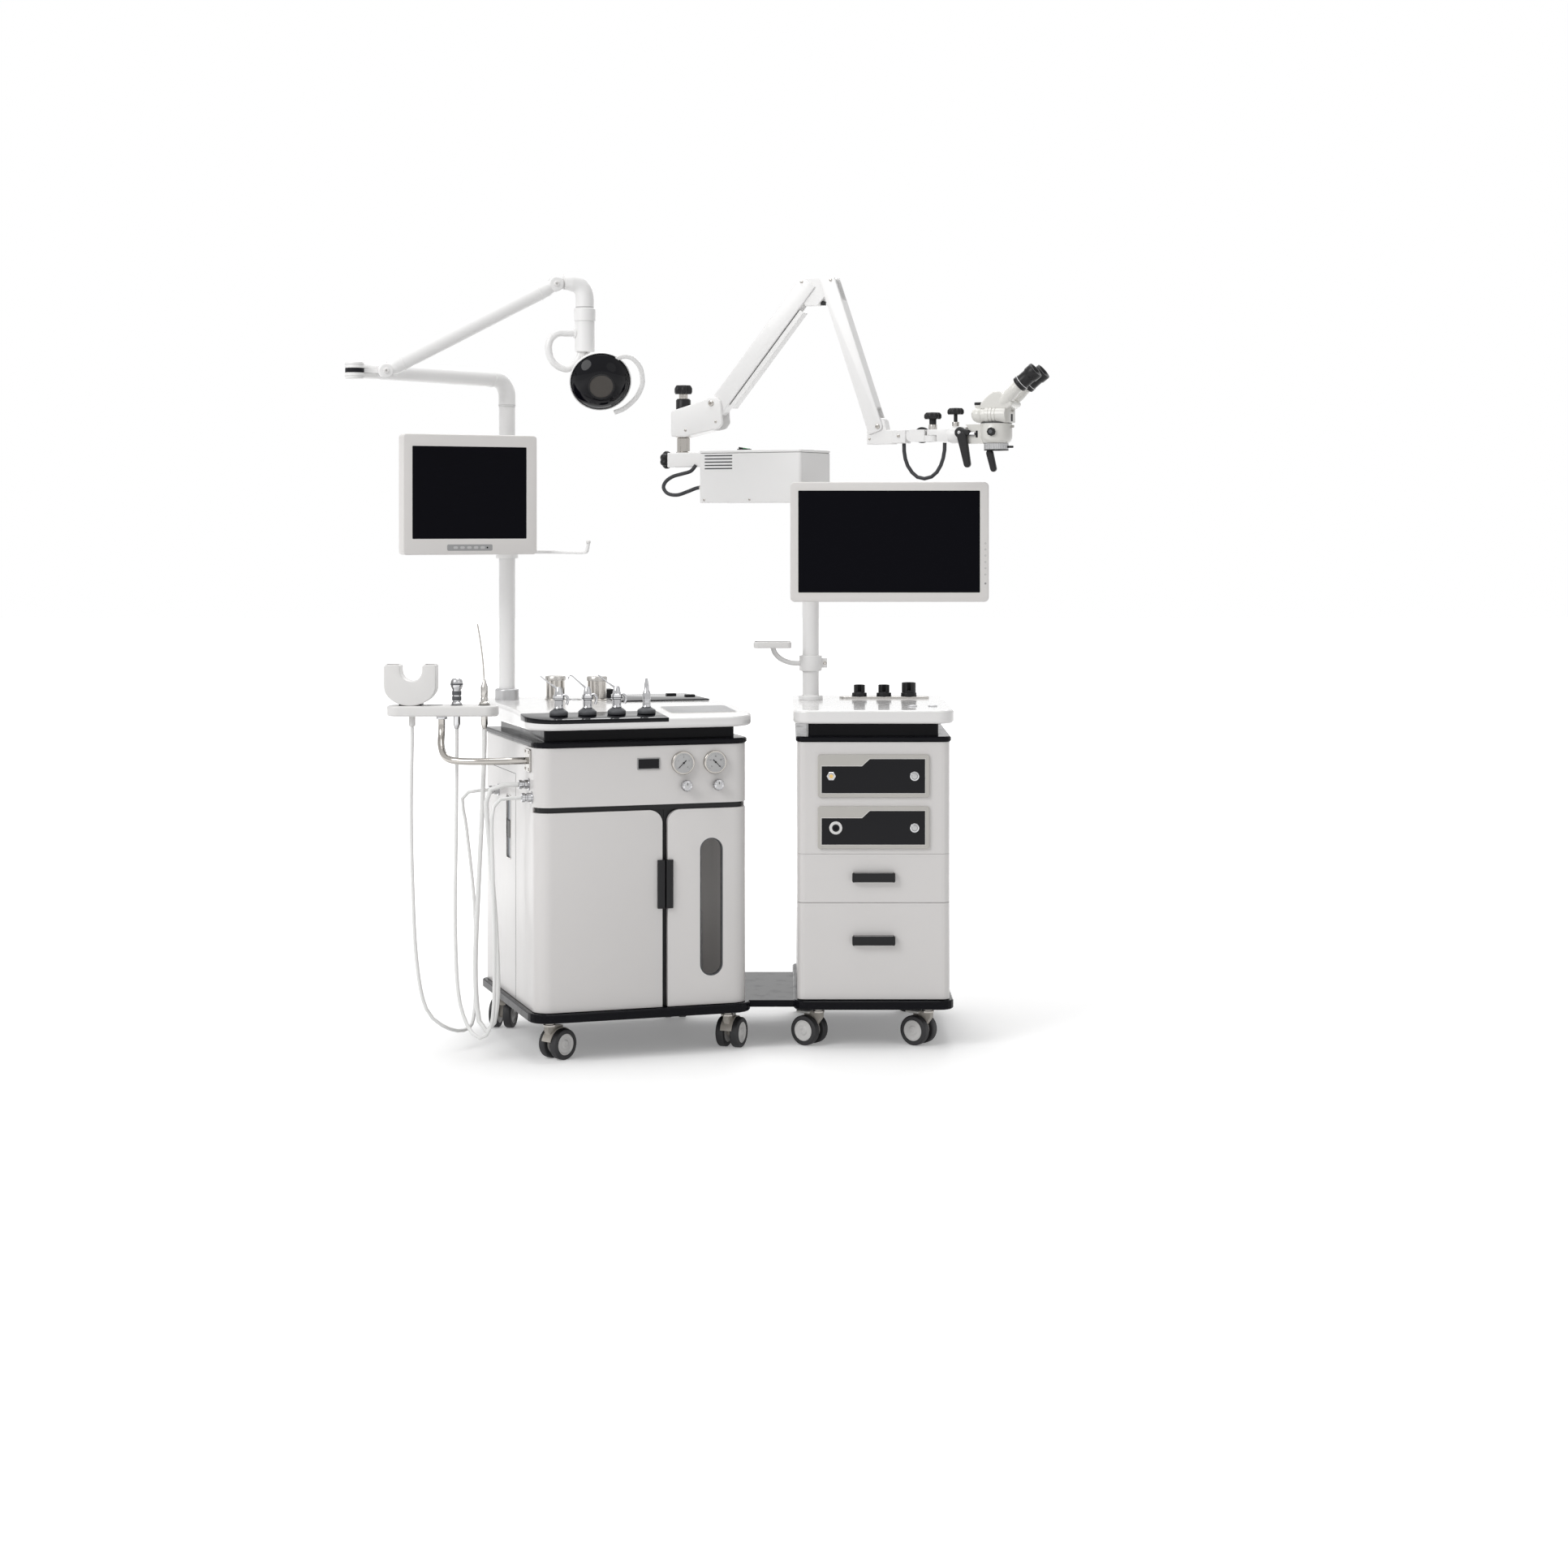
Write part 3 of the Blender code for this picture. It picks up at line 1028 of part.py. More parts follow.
def treatment_shell(frame):
    x0, x1, y0, y1 = TREAT_BODY
    low = BASE_HIGH + GAP
    shell = prism(rounded(TREAT_BODY, TREAT_BODY_CORNER, SHEET), low, BODY_HIGH)
    cut(shell, block(-REACH, REACH, -REACH, DOOR_BACK, -REACH, FASCIA_LOW))
    inside = block(x0 + SHEET, x1 - SHEET, y0 + SHEET, y1 - SHEET, low + SHEET, BODY_HIGH - SHEET)
    cut(shell, inside)
    cut(shell, block(x0 + SHEET, x1 - SHEET, -REACH, DOOR_BACK + BITE * 2, low + SHEET,
                     FASCIA_LOW - BITE),
        block(x0 - REACH, x0 + SIDE_PULL_SUNK, *SIDE_PULL_Y, *SIDE_PULL_Z))
    rail = block(x0 + BITE, x1 - BITE, DOOR_BACK, DOOR_BACK + RECESS_RAIL, DOOR_HIGH - RAIL_HIGH,
                 FASCIA_LOW + BITE)
    parts = [rail]
    parts.append(block(*DISPLAY_X, y0 - DISPLAY_PROUD, y0 + BITE, *DISPLAY_LEVELS))
    for x in GAUGE_X:
        parts.append(facing(drum(GAUGE_RADIUS, -BITE, GAUGE_PROUD, 20, EDGE), x, y0, GAUGE_Z))
    parts.append(block(x0 - GAP, x0 + SHEET, *[y + side for y, side in
                                              zip(SIDE_PULL_Y, (BITE * 5, -BITE * 5))],
                       *SIDE_PULL_BLOCK))
    for y, z in (FITTING_A, FITTING_B, FITTING_C):
        parts.append(sideways(drum(FITTING_RADIUS, -BITE, FITTING_LONG, 16), x0, y, z))
    joined(shell, *parts)
    node("treatment_shell", shell, "white_paint", frame)


def door_front(left, right):
    """Closed outline of the curved front between two X values, seen from above."""
    x0, x1, y0, y1 = TREAT_BODY
    radius = TREAT_BODY_CORNER
    thick = DOOR_THICK
    inner = radius - thick
    if left:
        outline = [(SEAM_AT - SEAM_HALF, y0 + thick), (SEAM_AT - SEAM_HALF, y0)]
        outline += arc(x0 + radius, y0 + radius, radius, math.pi * 1.5, math.pi)
        outline += [(x0, DOOR_BACK - GAP), (x0 + thick, DOOR_BACK - GAP)]
        outline += arc(x0 + radius, y0 + radius, inner, math.pi, math.pi * 1.5)
        return outline
    outline = [(SEAM_AT + SEAM_HALF, y0), (SEAM_AT + SEAM_HALF, y0 + thick)]
    outline += arc(x1 - radius, y0 + radius, inner, math.pi * 1.5, math.pi * 2)
    outline += [(x1 - thick, DOOR_BACK - GAP), (x1, DOOR_BACK - GAP)]
    outline += arc(x1 - radius, y0 + radius, radius, math.pi * 2, math.pi * 1.5)
    return outline


def corner_cut(inner_x, side):
    """Tool that rounds the top inner corner of a door."""
    radius = DOOR_TOP_ROUND
    quarter = math.pi / 2
    start = 0.0 if side < 0 else quarter
    centre_x = inner_x + side * radius
    centre_z = DOOR_HIGH - radius
    outline = arc(centre_x, centre_z, radius, start, start + quarter, 8)
    far = (inner_x - side * BITE, DOOR_HIGH + BITE)
    if side < 0:
        outline = [(far[0], centre_z)] + outline + [(centre_x, far[1]), far]
    else:
        outline = [(centre_x, far[1])] + outline + [(far[0], centre_z), far]
    return plate(outline, -REACH, REACH)


def doors(frame):
    x0, x1, y0, y1 = TREAT_BODY
    low, high = DOOR_PULL_LEVELS
    pull_front = y0 - DOOR_PULL_PROUD
    for name, left in (("treatment_wide_door", True), ("treatment_narrow_door", False)):
        side = -1 if left else 1
        door = prism(door_front(left, not left), DOOR_LOW, DOOR_HIGH)
        cut(door, corner_cut(SEAM_AT + side * SEAM_HALF, side))
        ends = sorted((SEAM_AT + side * DOOR_PULL_GAP, SEAM_AT + side * DOOR_PULL_HALF))
        pull = block(*ends, pull_front, y0 + DOOR_THICK / 2, low, high)
        joined(door, pull)
        if not left:
            radius = (WINDOW_X[1] - WINDOW_X[0]) / 2
            window = rounded((*WINDOW_X, *WINDOW_LEVELS), radius - GAP, radius - GAP, steps=6)
            rear = y0 + DOOR_THICK - WINDOW_SUNK
            cut(door, plate(window, -REACH, y0 + WINDOW_SUNK), plate(window, rear, REACH))
        hinge_x = x0 if left else x1
        node(name, door, "white_paint", frame, (hinge_x, DOOR_BACK - GAP, DOOR_LOW))


def treatment_worktop(frame):
    top = slab(TREAT_TOP, TREAT_TOP_CORNER, TREAT_TOP_BACK, RISER_HIGH + GAP, TOP_HIGH, TOP_EDGE)
    sunk = TOP_HIGH - BITE
    parts = [slab(DECK, DECK_CORNER, DECK_CORNER / 2, sunk, TOP_HIGH + DECK_HIGH),
             slab(CONTROL, DECK_CORNER, DECK_CORNER, sunk, TOP_HIGH + CONTROL_HIGH),
             slab(REAR_DECK, SHEET, SHEET, sunk, TOP_HIGH + REAR_DECK_HIGH, steps=2),
             block(*REAR_BLOCK, sunk, TOP_HIGH + REAR_BLOCK_HIGH)]
    for x, y in JARS:
        high = TOP_HIGH + JAR_HIGH
        jar = turned([(0.0, sunk), (JAR_RADIUS, sunk), (JAR_RADIUS, high - LID_HIGH),
                      (JAR_RADIUS + LID_OVER, high - LID_HIGH), (JAR_RADIUS + LID_OVER, high),
                      (0.0, high)])
        parts.append(upright(jar, x, y))
    joined(top, *parts)
    holes = [upright(drum(HOLE_RADIUS, TOP_HIGH - HOLE_DEEP, REACH), x, TOOL_Y) for x in TOOL_X]
    cut(top, *holes)
    node("treatment_worktop", top, "white_plastic", frame)


def deck_tools(frame):
    for number, x in enumerate(TOOL_X[:3]):
        gun = turned(scaled(GUN_BODY), 12)
        tip = tube(scaled(GUN_TIP), GUN_TIP_RADIUS, 6)
        lever = tube(scaled(GUN_LEVER), GUN_LEVER_RADIUS, 6)
        joined(gun, tip, lever)
        upright(gun, x, TOOL_Y, TOP_HIGH)
        node("spray_gun_" + str(number + 1), gun, "chromed", frame, (x, TOOL_Y, TOP_HIGH))
    nozzle = upright(turned(scaled(NOZZLE_BODY), 12), TOOL_X[3], TOOL_Y, TOP_HIGH)
    node("air_nozzle", nozzle, "chromed", frame, (TOOL_X[3], TOOL_Y, TOP_HIGH))


def fascia_knobs(frame):
    front = TREAT_BODY[2] - GAP
    for name, x in zip(("pressure_knob", "vacuum_knob"), KNOB_X):
        knob = facing(turned(scaled(SMALL_DIAL), 20), x, front, KNOB_Z)
        node(name, knob, "chromed", frame, (x, front, KNOB_Z))


# Lamp
def lamp_pole(frame):
    low = TOP_HIGH + GAP
    foot = low + LPOLE_FOOT_HIGH
    pole = turned([(0.0, low), (LPOLE_FOOT_RADIUS, low), (LPOLE_FOOT_RADIUS, foot - EDGE),
                   (LPOLE_FOOT_RADIUS - EDGE, foot), (LPOLE_RADIUS, foot),
                   (LPOLE_RADIUS, LPOLE_HIGH), (0.0, LPOLE_HIGH)], 24)
    node("lamp_pole", pole, "white_paint", frame @ frame_at(*LPOLE))


def lamp_lower_arm(frame):
    start = frame @ Vector((LPOLE[0], LPOLE[1], 0.0))
    way = Vector((KNUCKLE_PLACE[0], KNUCKLE_PLACE[1], 0.0)) - start
    here = frame_at(start.x, start.y, math.atan2(way.y, way.x))
    long = way.length
    bend = LARM_BEND
    rise = arc(bend, LARM_Z - bend, bend, math.pi, math.pi / 2, 6)
    points = [(0.0, 0.0, LPOLE_HIGH + GAP)] + [(x, 0.0, z) for x, z in rise]
    radii = [LARM_RADIUS] * len(points)
    share_list = ((0.5, 0.97), (0.72, 0.9), (0.8, 0.62))
    for share, size_share in share_list:
        points.append((long * share, 0.0, LARM_Z))
        radii.append(LARM_RADIUS * size_share)
    points.append((long - SHEET, 0.0, LARM_Z))
    radii.append(LARM_TIP_RADIUS)
    arm = tube(points, radii, 12)
    head = upright(drum(KNUCKLE_RADIUS + BITE, *KNUCKLE_LEVELS, 24, BITE), long, 0.0)
    joined(arm, head)
    low, high = KNUCKLE_SLOT
    cut(arm, upright(drum(KNUCKLE_LUG_LONG, low, high, 24), long, 0.0))
    rivet = upright(drum(LAMP_PIN, low - BITE, high + BITE, 14), long, 0.0)
    joined(arm, rivet)
    node("lamp_lower_arm", arm, "white_paint", here, (0.0, 0.0, LPOLE_HIGH))


def lamp_knuckle(frame):
    low, high = KNUCKLE_SLOT
    disc = drum(KNUCKLE_RADIUS, low + GAP, high - GAP, 24)
    flat = LUG_HALF - EDGE / 2
    neck = block(0.0, SPRING_A[0] - EYE_RADIUS / 2, -flat, flat, low + GAP * 2, high - GAP * 2)
    eye = facing(drum(EYE_RADIUS, -LUG_HALF, LUG_HALF), SPRING_A[0], 0.0, SPRING_A[1])
    joined(disc, neck, eye)
    cut(disc, drum(LAMP_PIN + GAP, -REACH, REACH, 14),
        facing(drum(LAMP_PIN + GAP, -REACH, REACH, 14), SPRING_A[0], 0.0, SPRING_A[1]))
    node("lamp_knuckle", disc, "white_paint", frame, (0.0, 0.0, low))


def lamp_spring_arm(frame):
    a = Vector((SPRING_A[0], 0.0, SPRING_A[1]))
    b = Vector((SPRING_B[0], 0.0, SPRING_B[1]))
    way = (b - a).normalized()
    bar = tube([a, a + way * SPRING_SHORT, b - way * SPRING_SHORT, b],
               [EYE_RADIUS, SPRING_RADIUS, SPRING_RADIUS, EYE_RADIUS], 12)
    ends = [facing(drum(EYE_RADIUS, -FORK_HALF, FORK_HALF), p.x, 0.0, p.z) for p in (a, b)]
    joined(bar, *ends)
    inner = LUG_HALF + GAP
    slots = [facing(drum(EYE_RADIUS + SLOT_ROUND * 2, -inner, inner, 24), p.x, 0.0, p.z)
             for p in (a, b)]
    cut(bar, *slots)
    joined(bar, *[pin((p.x, p.z), FORK_HALF - BITE, LAMP_PIN) for p in (a, b)])
    node("lamp_spring_arm", bar, "white_paint", frame, a)


def lamp_elbow(frame):
    route = [(x * MM, 0.0, z * MM) for x, z, r in ELBOW_ROUTE]
    bend = tube(route[1:], [r * MM for x, z, r in ELBOW_ROUTE][1:], 12)
    eye = lug(SPRING_B, EYE_RADIUS - EDGE, (route[2][0], route[2][2]), -LUG_HALF, LUG_HALF)
    joined(bend, eye)
    cut(bend, facing(drum(LAMP_PIN + GAP, -REACH, REACH, 14), SPRING_B[0], 0.0, SPRING_B[1]))
    node("lamp_elbow", bend, "white_paint", frame, (SPRING_B[0], 0.0, SPRING_B[1]))


def lamp_drop_tube(frame):
    stem = upright(turned(scaled(DROP_PROFILE), 20), DROP_AT, 0.0)
    loop = tube(smooth_route([(x * MM, 0.0, z * MM) for x, z in LOOP_ROUTE], LOOP_RADIUS * 2.5),
                LOOP_RADIUS, 8)
    foot = (0.0, DROP_PROFILE[0][1] * MM + BITE)
    sides = (-TILT_HALF - TILT_HALF / 2 - GAP, TILT_HALF / 2 + GAP)
    ears = [lug((0.0, TILT_AXIS_Z), TILT_EYE, foot, side, side + TILT_HALF) for side in sides]
    ears = [moved(ear, frame_at(DROP_AT, 0.0, math.pi / 2)) for ear in ears]
    joined(stem, *ears, loop)
    node("lamp_drop_tube", stem, "white_paint", frame, (DROP_AT, 0.0, ELBOW_ROUTE[-1][1] * MM))


def lamp_head(frame):
    x, y, z = LAMP_CENTRE
    aim = (Matrix.Translation((x, y, z)) @ Matrix.Rotation(LAMP_YAW - LAMP_TURN, 4, "Z")
           @ Matrix.Rotation(-LAMP_TILT, 4, "X") @ Matrix.Rotation(-math.pi / 2, 4, "X"))
    bowl = moved(turned(scaled(BOWL), 24), aim)
    thick = TILT_HALF / 2
    ear = lug((0.0, TILT_AXIS_Z), TILT_EYE, NECK_END, -thick, thick)
    ear = moved(ear, frame_at(DROP_AT, 0.0, math.pi / 2))
    sweep = []
    for step in range(13):
        angle = math.radians(66 - step * 11)
        reach = HANDLE_REACH if 0 < step < 12 else HANDLE_REACH * 0.86
        sweep.append(aim @ Vector((reach * math.cos(angle), -reach * math.sin(angle), 0.0)))
    start = aim @ Vector((0.07 * math.cos(math.radians(66)), -0.07 * math.sin(math.radians(66)), 0.0))
    handle = tube([start] + sweep, HANDLE_RADIUS, 8)
    joined(bowl, ear, handle)
    node("lamp_head", bowl, "white_plastic", frame, (DROP_AT, 0.0, TILT_AXIS_Z))


def patient_monitor(treat):
    pole = treat @ Vector((LPOLE[0], LPOLE[1], 0.0))
    frame = frame_at(pole.x, pole.y)
    face = frame.inverted() @ frame_at(PMON_PLACE[0], PMON_PLACE[1], PMON_TURN, PMON_PLACE[2])
    half = PMON_WIDE / 2
    high = PMON_HIGH / 2
    outline = rounded((-half, half, -high, high), PMON_CORNER, PMON_CORNER, steps=3)
    panel = moved(plate(outline, -PMON_THICK / 2, PMON_THICK / 2), face)
    back_w = PMON_BACK_WIDE / 2
    back_h = PMON_BACK_HIGH / 2
    deep = PMON_THICK / 2 + PMON_BACK_THICK
    rear = moved(block(-back_w, back_w, PMON_THICK / 2 - BITE, deep, -back_h, back_h), face)
    target = face @ Vector((0.0, deep - BITE, 0.0))
    way = Vector((target.x, target.y, 0.0))
    turn = Matrix.Rotation(math.atan2(way.y, way.x), 4, "Z")
    middle = PMON_PLACE[2]
    arm = moved(block(0.0, way.length, -PMON_ARM_HALF, PMON_ARM_HALF, middle - PMON_ARM_HALF * 2,
                      middle + PMON_ARM_HALF * 2), turn)
    ring = clamp_ring(LPOLE_RADIUS, *PMON_RING_LEVELS)
    hook = tube([(x * MM, y * MM, HOOK_LEVEL + z * MM) for x, y, z in HOOK_ROUTE], HOOK_RADIUS, 6)
    joined(panel, rear, arm, ring, hook)
    cut(panel, ring_hole(LPOLE_RADIUS))
    node("patient_monitor", panel, "white_plastic", frame, (0.0, 0.0, PMON_RING_LEVELS[0]))


# Tool rack and hoses
def tool_rack(treat):
    frame = Matrix.Identity(4)
    bar = slab(RACK_BAR, RACK_CORNER, RACK_CORNER, *RACK_LEVELS, EDGE)
    rod = tube(smooth_route(scaled(RACK_ROUTE), RACK_TUBE * 2.5), RACK_TUBE)
    py0, py1, pz0, pz1 = RACK_PLATE
    side = TREAT_BODY[0] - GAP
    foot = moved(block(side - RACK_PLATE_THICK, side, py0, py1, pz0, pz1), treat)
    cup = plate(scaled(EARCUP_OUTLINE), -EARCUP_HALF, EARCUP_HALF)
    cut(cup, plate(scaled(EARCUP_CUT), -EARCUP_HALF + EARCUP_WALL, EARCUP_HALF - EARCUP_WALL))
    upright(cup, EARCUP_X, EARCUP_Y)
    spout = upright(drum(EARCUP_SPOUT, EARCUP_SPOUT_LOW, RACK_LEVELS[0] + SHEET, 16), EARCUP_X,
                    EARCUP_Y)
    joined(bar, rod, foot, cup, spout)
    holes = [upright(drum(RACK_HOLE_RADIUS, -REACH, REACH, 20), x, RACK_HOLE_Y) for x in RACK_HOLES]
    cut(bar, *holes)
    node("tool_rack", bar, "white_plastic", frame, (EARCUP_X, EARCUP_Y, RACK_LEVELS[1]))


def handpieces():
    frame = Matrix.Identity(4)
    names = ("irrigator_handpiece", "suction_handpiece")
    for name, profile, x in zip(names, (IRRIGATOR, SUCTION), RACK_HOLES):
        handle = turned(scaled(profile), 12)
        if name == "suction_handpiece":
            joined(handle, tube(scaled(SUCTION_TIP), SUCTION_TIP_RADIUS, 6))
        upright(handle, x, RACK_HOLE_Y)
        node(name, handle, "chromed", frame, (x, RACK_HOLE_Y, RACK_LEVELS[1]))


def hoses(treat):
    out = TREAT_BODY[0] - FITTING_LONG - GAP
    starts = (((EARCUP_X, EARCUP_Y), EARCUP_SPOUT_LOW), ((RACK_HOLES[0], RACK_HOLE_Y), IRRIGATOR[0][1] * MM),
              ((RACK_HOLES[1], RACK_HOLE_Y), SUCTION[0][1] * MM))
    routes = (("ear_cup_hose", EARCUP_HOSE, FITTING_B, HOSE_RADIUS),
              ("irrigator_hose", IRRIGATOR_HOSE, FITTING_C, HOSE_RADIUS),
              ("suction_hose", SUCTION_HOSE, FITTING_A, SUCTION_HOSE_RADIUS))
    for ((x, y), low), (name, middle, fitting, radius) in zip(starts, routes):
        points = [(x, y, low - GAP), (x, y, low - GAP - HOSE_LEAD)] + scaled(middle)
        points.append(treat @ Vector((out - HOSE_LEAD / 2, *fitting)))
        points.append(treat @ Vector((out, *fitting)))
        cord(name, points, radius, "clear_hose", radius * 6)


def centre_everything():
    """Puts the middle of the solid pieces' bounding box above the origin, wheels on the floor."""
    bpy.context.view_layer.update()
    low = Vector((REACH, REACH, REACH))
    high = -low
    for item in bpy.data.objects:
        if item.type != "MESH":
            continue
        for vertex in item.data.vertices:
            spot = item.matrix_world @ vertex.co
            low = Vector(map(min, low, spot))
            high = Vector(map(max, high, spot))
    shift = Vector(((low.x + high.x) / 2, (low.y + high.y) / 2, low.z))
    for item in bpy.data.objects:
        item.location -= shift


def main():
    clear_scene()
    scope = frame_at(SCOPE_X, 0.0)
    treat = frame_at(*TREAT_PLACE, TREAT_TURN)
    arm = frame_at(*ARM_POST, ARM_TURN)
    scope_base_plate(scope, treat)
    scope_shell(scope)
    low, middle, high = DRAWER_SPLITS
    drawer("large_drawer", scope, low, middle, PULL_CENTRES[0])
    drawer("small_drawer", scope, middle, high, PULL_CENTRES[1])
    half = SCOPE_BODY_WIDE / 2
    trim_and_riser("scope_trim", scope, (-half, half, SCOPE_BODY_FRONT, SCOPE_BODY_BACK),
                   SCOPE_BODY_CORNER, SHEET, (-RISER_WIDE / 2, RISER_WIDE / 2, RISER_FRONT,
                                              RISER_BACK))
    scope_worktop(scope)
    pole = scope @ frame_at(SPOLE_X, SPOLE_Y)
    scope_pole(pole)
    tray_arm(pole)
    doctor_monitor(pole)
    light_box(pole @ Matrix.Rotation(BOX_TURN, 4, "Z"))
    arm_base(arm)
    lower_arm(arm)
    arm_link(arm)
    upper_arm(arm)
    end_bracket(arm)
    carriage(arm)
    microscope_body(arm)
    cord("front_fibre_cable", in_plane(arm, FRONT_CABLE), CABLE_RADIUS, "black_plastic",
         CABLE_RADIUS * 4)
    treatment_base_plate(treat)
    treatment_shell(treat)
    doors(treat)
    trim_and_riser("treatment_trim", treat, TREAT_BODY, TREAT_BODY_CORNER, SHEET, TREAT_RISER)
    treatment_worktop(treat)
    deck_tools(treat)
    fascia_knobs(treat)
    lamp_pole(treat)
    lamp_lower_arm(treat)
    lamp = frame_at(*KNUCKLE_PLACE, LAMP_TURN)
    lamp_knuckle(lamp)
    lamp_spring_arm(lamp)
    lamp_elbow(lamp)
    lamp_drop_tube(lamp)
    lamp_head(lamp)
    patient_monitor(treat)
    tool_rack(treat)
    handpieces()
    hoses(treat)
    inset = 55 * MM
    spots = ((inset, inset), (TREAT_WIDE - inset, inset), (inset, TREAT_DEEP - inset),
             (TREAT_WIDE - inset, TREAT_DEEP - inset))
    headings = (-60, -40, 150, 170)
    for number, ((x, y), heading) in enumerate(zip(spots, headings)):
        caster("treatment", number + 1, treat, x, y, math.radians(heading), False)
    wide = SCOPE_WIDE / 2 - inset - SHEET
    spots = ((-wide, inset), (wide, inset), (-wide, SCOPE_DEEP - inset), (wide, SCOPE_DEEP - inset))
    headings = (55, 55, 120, 60)
    for number, ((x, y), heading) in enumerate(zip(spots, headings)):
        caster("scope", number + 1, scope, x, y, math.radians(heading), number < 2)
    centre_everything()


main()
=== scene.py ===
"""Looks of an ear, nose and throat treatment unit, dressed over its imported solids."""

import logging
import math
from dataclasses import dataclass
from enum import Enum
from typing import Sequence

import bmesh
import bpy
from mathutils import Matrix, Vector


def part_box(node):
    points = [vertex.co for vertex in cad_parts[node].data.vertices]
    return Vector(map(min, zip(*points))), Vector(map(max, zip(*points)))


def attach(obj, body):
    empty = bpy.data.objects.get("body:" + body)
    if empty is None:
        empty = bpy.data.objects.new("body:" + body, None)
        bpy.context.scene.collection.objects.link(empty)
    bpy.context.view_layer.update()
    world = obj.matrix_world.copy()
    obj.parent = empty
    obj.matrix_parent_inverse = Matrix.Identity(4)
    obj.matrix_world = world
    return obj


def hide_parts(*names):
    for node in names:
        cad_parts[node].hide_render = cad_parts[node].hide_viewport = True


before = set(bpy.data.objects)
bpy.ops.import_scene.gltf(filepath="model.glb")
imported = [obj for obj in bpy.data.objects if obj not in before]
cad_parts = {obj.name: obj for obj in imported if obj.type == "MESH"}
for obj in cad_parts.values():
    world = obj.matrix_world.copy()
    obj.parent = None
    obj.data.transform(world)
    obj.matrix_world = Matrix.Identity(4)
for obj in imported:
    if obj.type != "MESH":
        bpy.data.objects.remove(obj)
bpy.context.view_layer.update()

LOG = logging.getLogger("treatment_unit")
MM = 0.001
REACH = 3000.0
GAP = 0.3
TOP = 842.0
PIN_BORE = 5.3
Point = Sequence[float]
Pair = tuple[float, float]
Triple = tuple[float, float, float]
Quad = tuple[float, float, float, float]
Source = tuple[str, Triple, float, float, float]
Outline = list[Pair]
Form = bmesh.types.BMesh


# Shader groups that the finishes share
def new_group(name: str, inputs: Sequence[tuple], outputs: Sequence[tuple]) -> bpy.types.NodeTree:
    """Starts a shader node group with its sockets.

    Args:
        name: Name of the group.
        inputs: (name, socket type, default) of each input.
        outputs: (name, socket type) of each output.

    Returns:
        The node tree, with a group input called "in" and a group output called "out".
    """
    tree = bpy.data.node_groups.new(name, "ShaderNodeTree")
    for label, kind, default in inputs:
        socket = tree.interface.new_socket(label, in_out="INPUT", socket_type=kind)
        socket.default_value = default
    for label, kind in outputs:
        tree.interface.new_socket(label, in_out="OUTPUT", socket_type=kind)
    tree.nodes.new("NodeGroupInput").name = "in"
    tree.nodes.new("NodeGroupOutput").name = "out"
    return tree


def maths(tree: bpy.types.NodeTree, kind: str, *values: object) -> bpy.types.NodeSocket:
    """Adds a Math node.

    Args:
        tree: Tree that gets the node.
        kind: Operation of the node.
        values: A number or a socket for each input.

    Returns:
        The node's output.
    """
    made = tree.nodes.new("ShaderNodeMath")
    made.operation = kind
    for slot, value in zip(made.inputs, values):
        if isinstance(value, (int, float)):
            slot.default_value = value
        else:
            tree.links.new(value, slot)
    return made.outputs[0]


def noise(tree: bpy.types.NodeTree, scale: object, detail: float, stretch: object) -> bpy.types.NodeSocket:
    """Adds a noise texture on the object's own coordinates.

    Args:
        tree: Tree that gets the nodes.
        scale: A number or a socket for the pattern's scale.
        detail: Octaves of detail.
        stretch: A vector or a socket that multiplies the coordinates.

    Returns:
        The pattern, from 0 to 1.
    """
    spot = tree.nodes.new("ShaderNodeTexCoord")
    scaled = tree.nodes.new("ShaderNodeVectorMath")
    scaled.operation = "MULTIPLY"
    tree.links.new(spot.outputs["Object"], scaled.inputs[0])
    if isinstance(stretch, bpy.types.NodeSocket):
        tree.links.new(stretch, scaled.inputs[1])
    else:
        scaled.inputs[1].default_value = stretch
    pattern = tree.nodes.new("ShaderNodeTexNoise")
    pattern.inputs["Detail"].default_value = detail
    tree.links.new(scaled.outputs[0], pattern.inputs["Vector"])
    if isinstance(scale, bpy.types.NodeSocket):
        tree.links.new(scale, pattern.inputs["Scale"])
    else:
        pattern.inputs["Scale"].default_value = scale
    return pattern.outputs["Fac"]


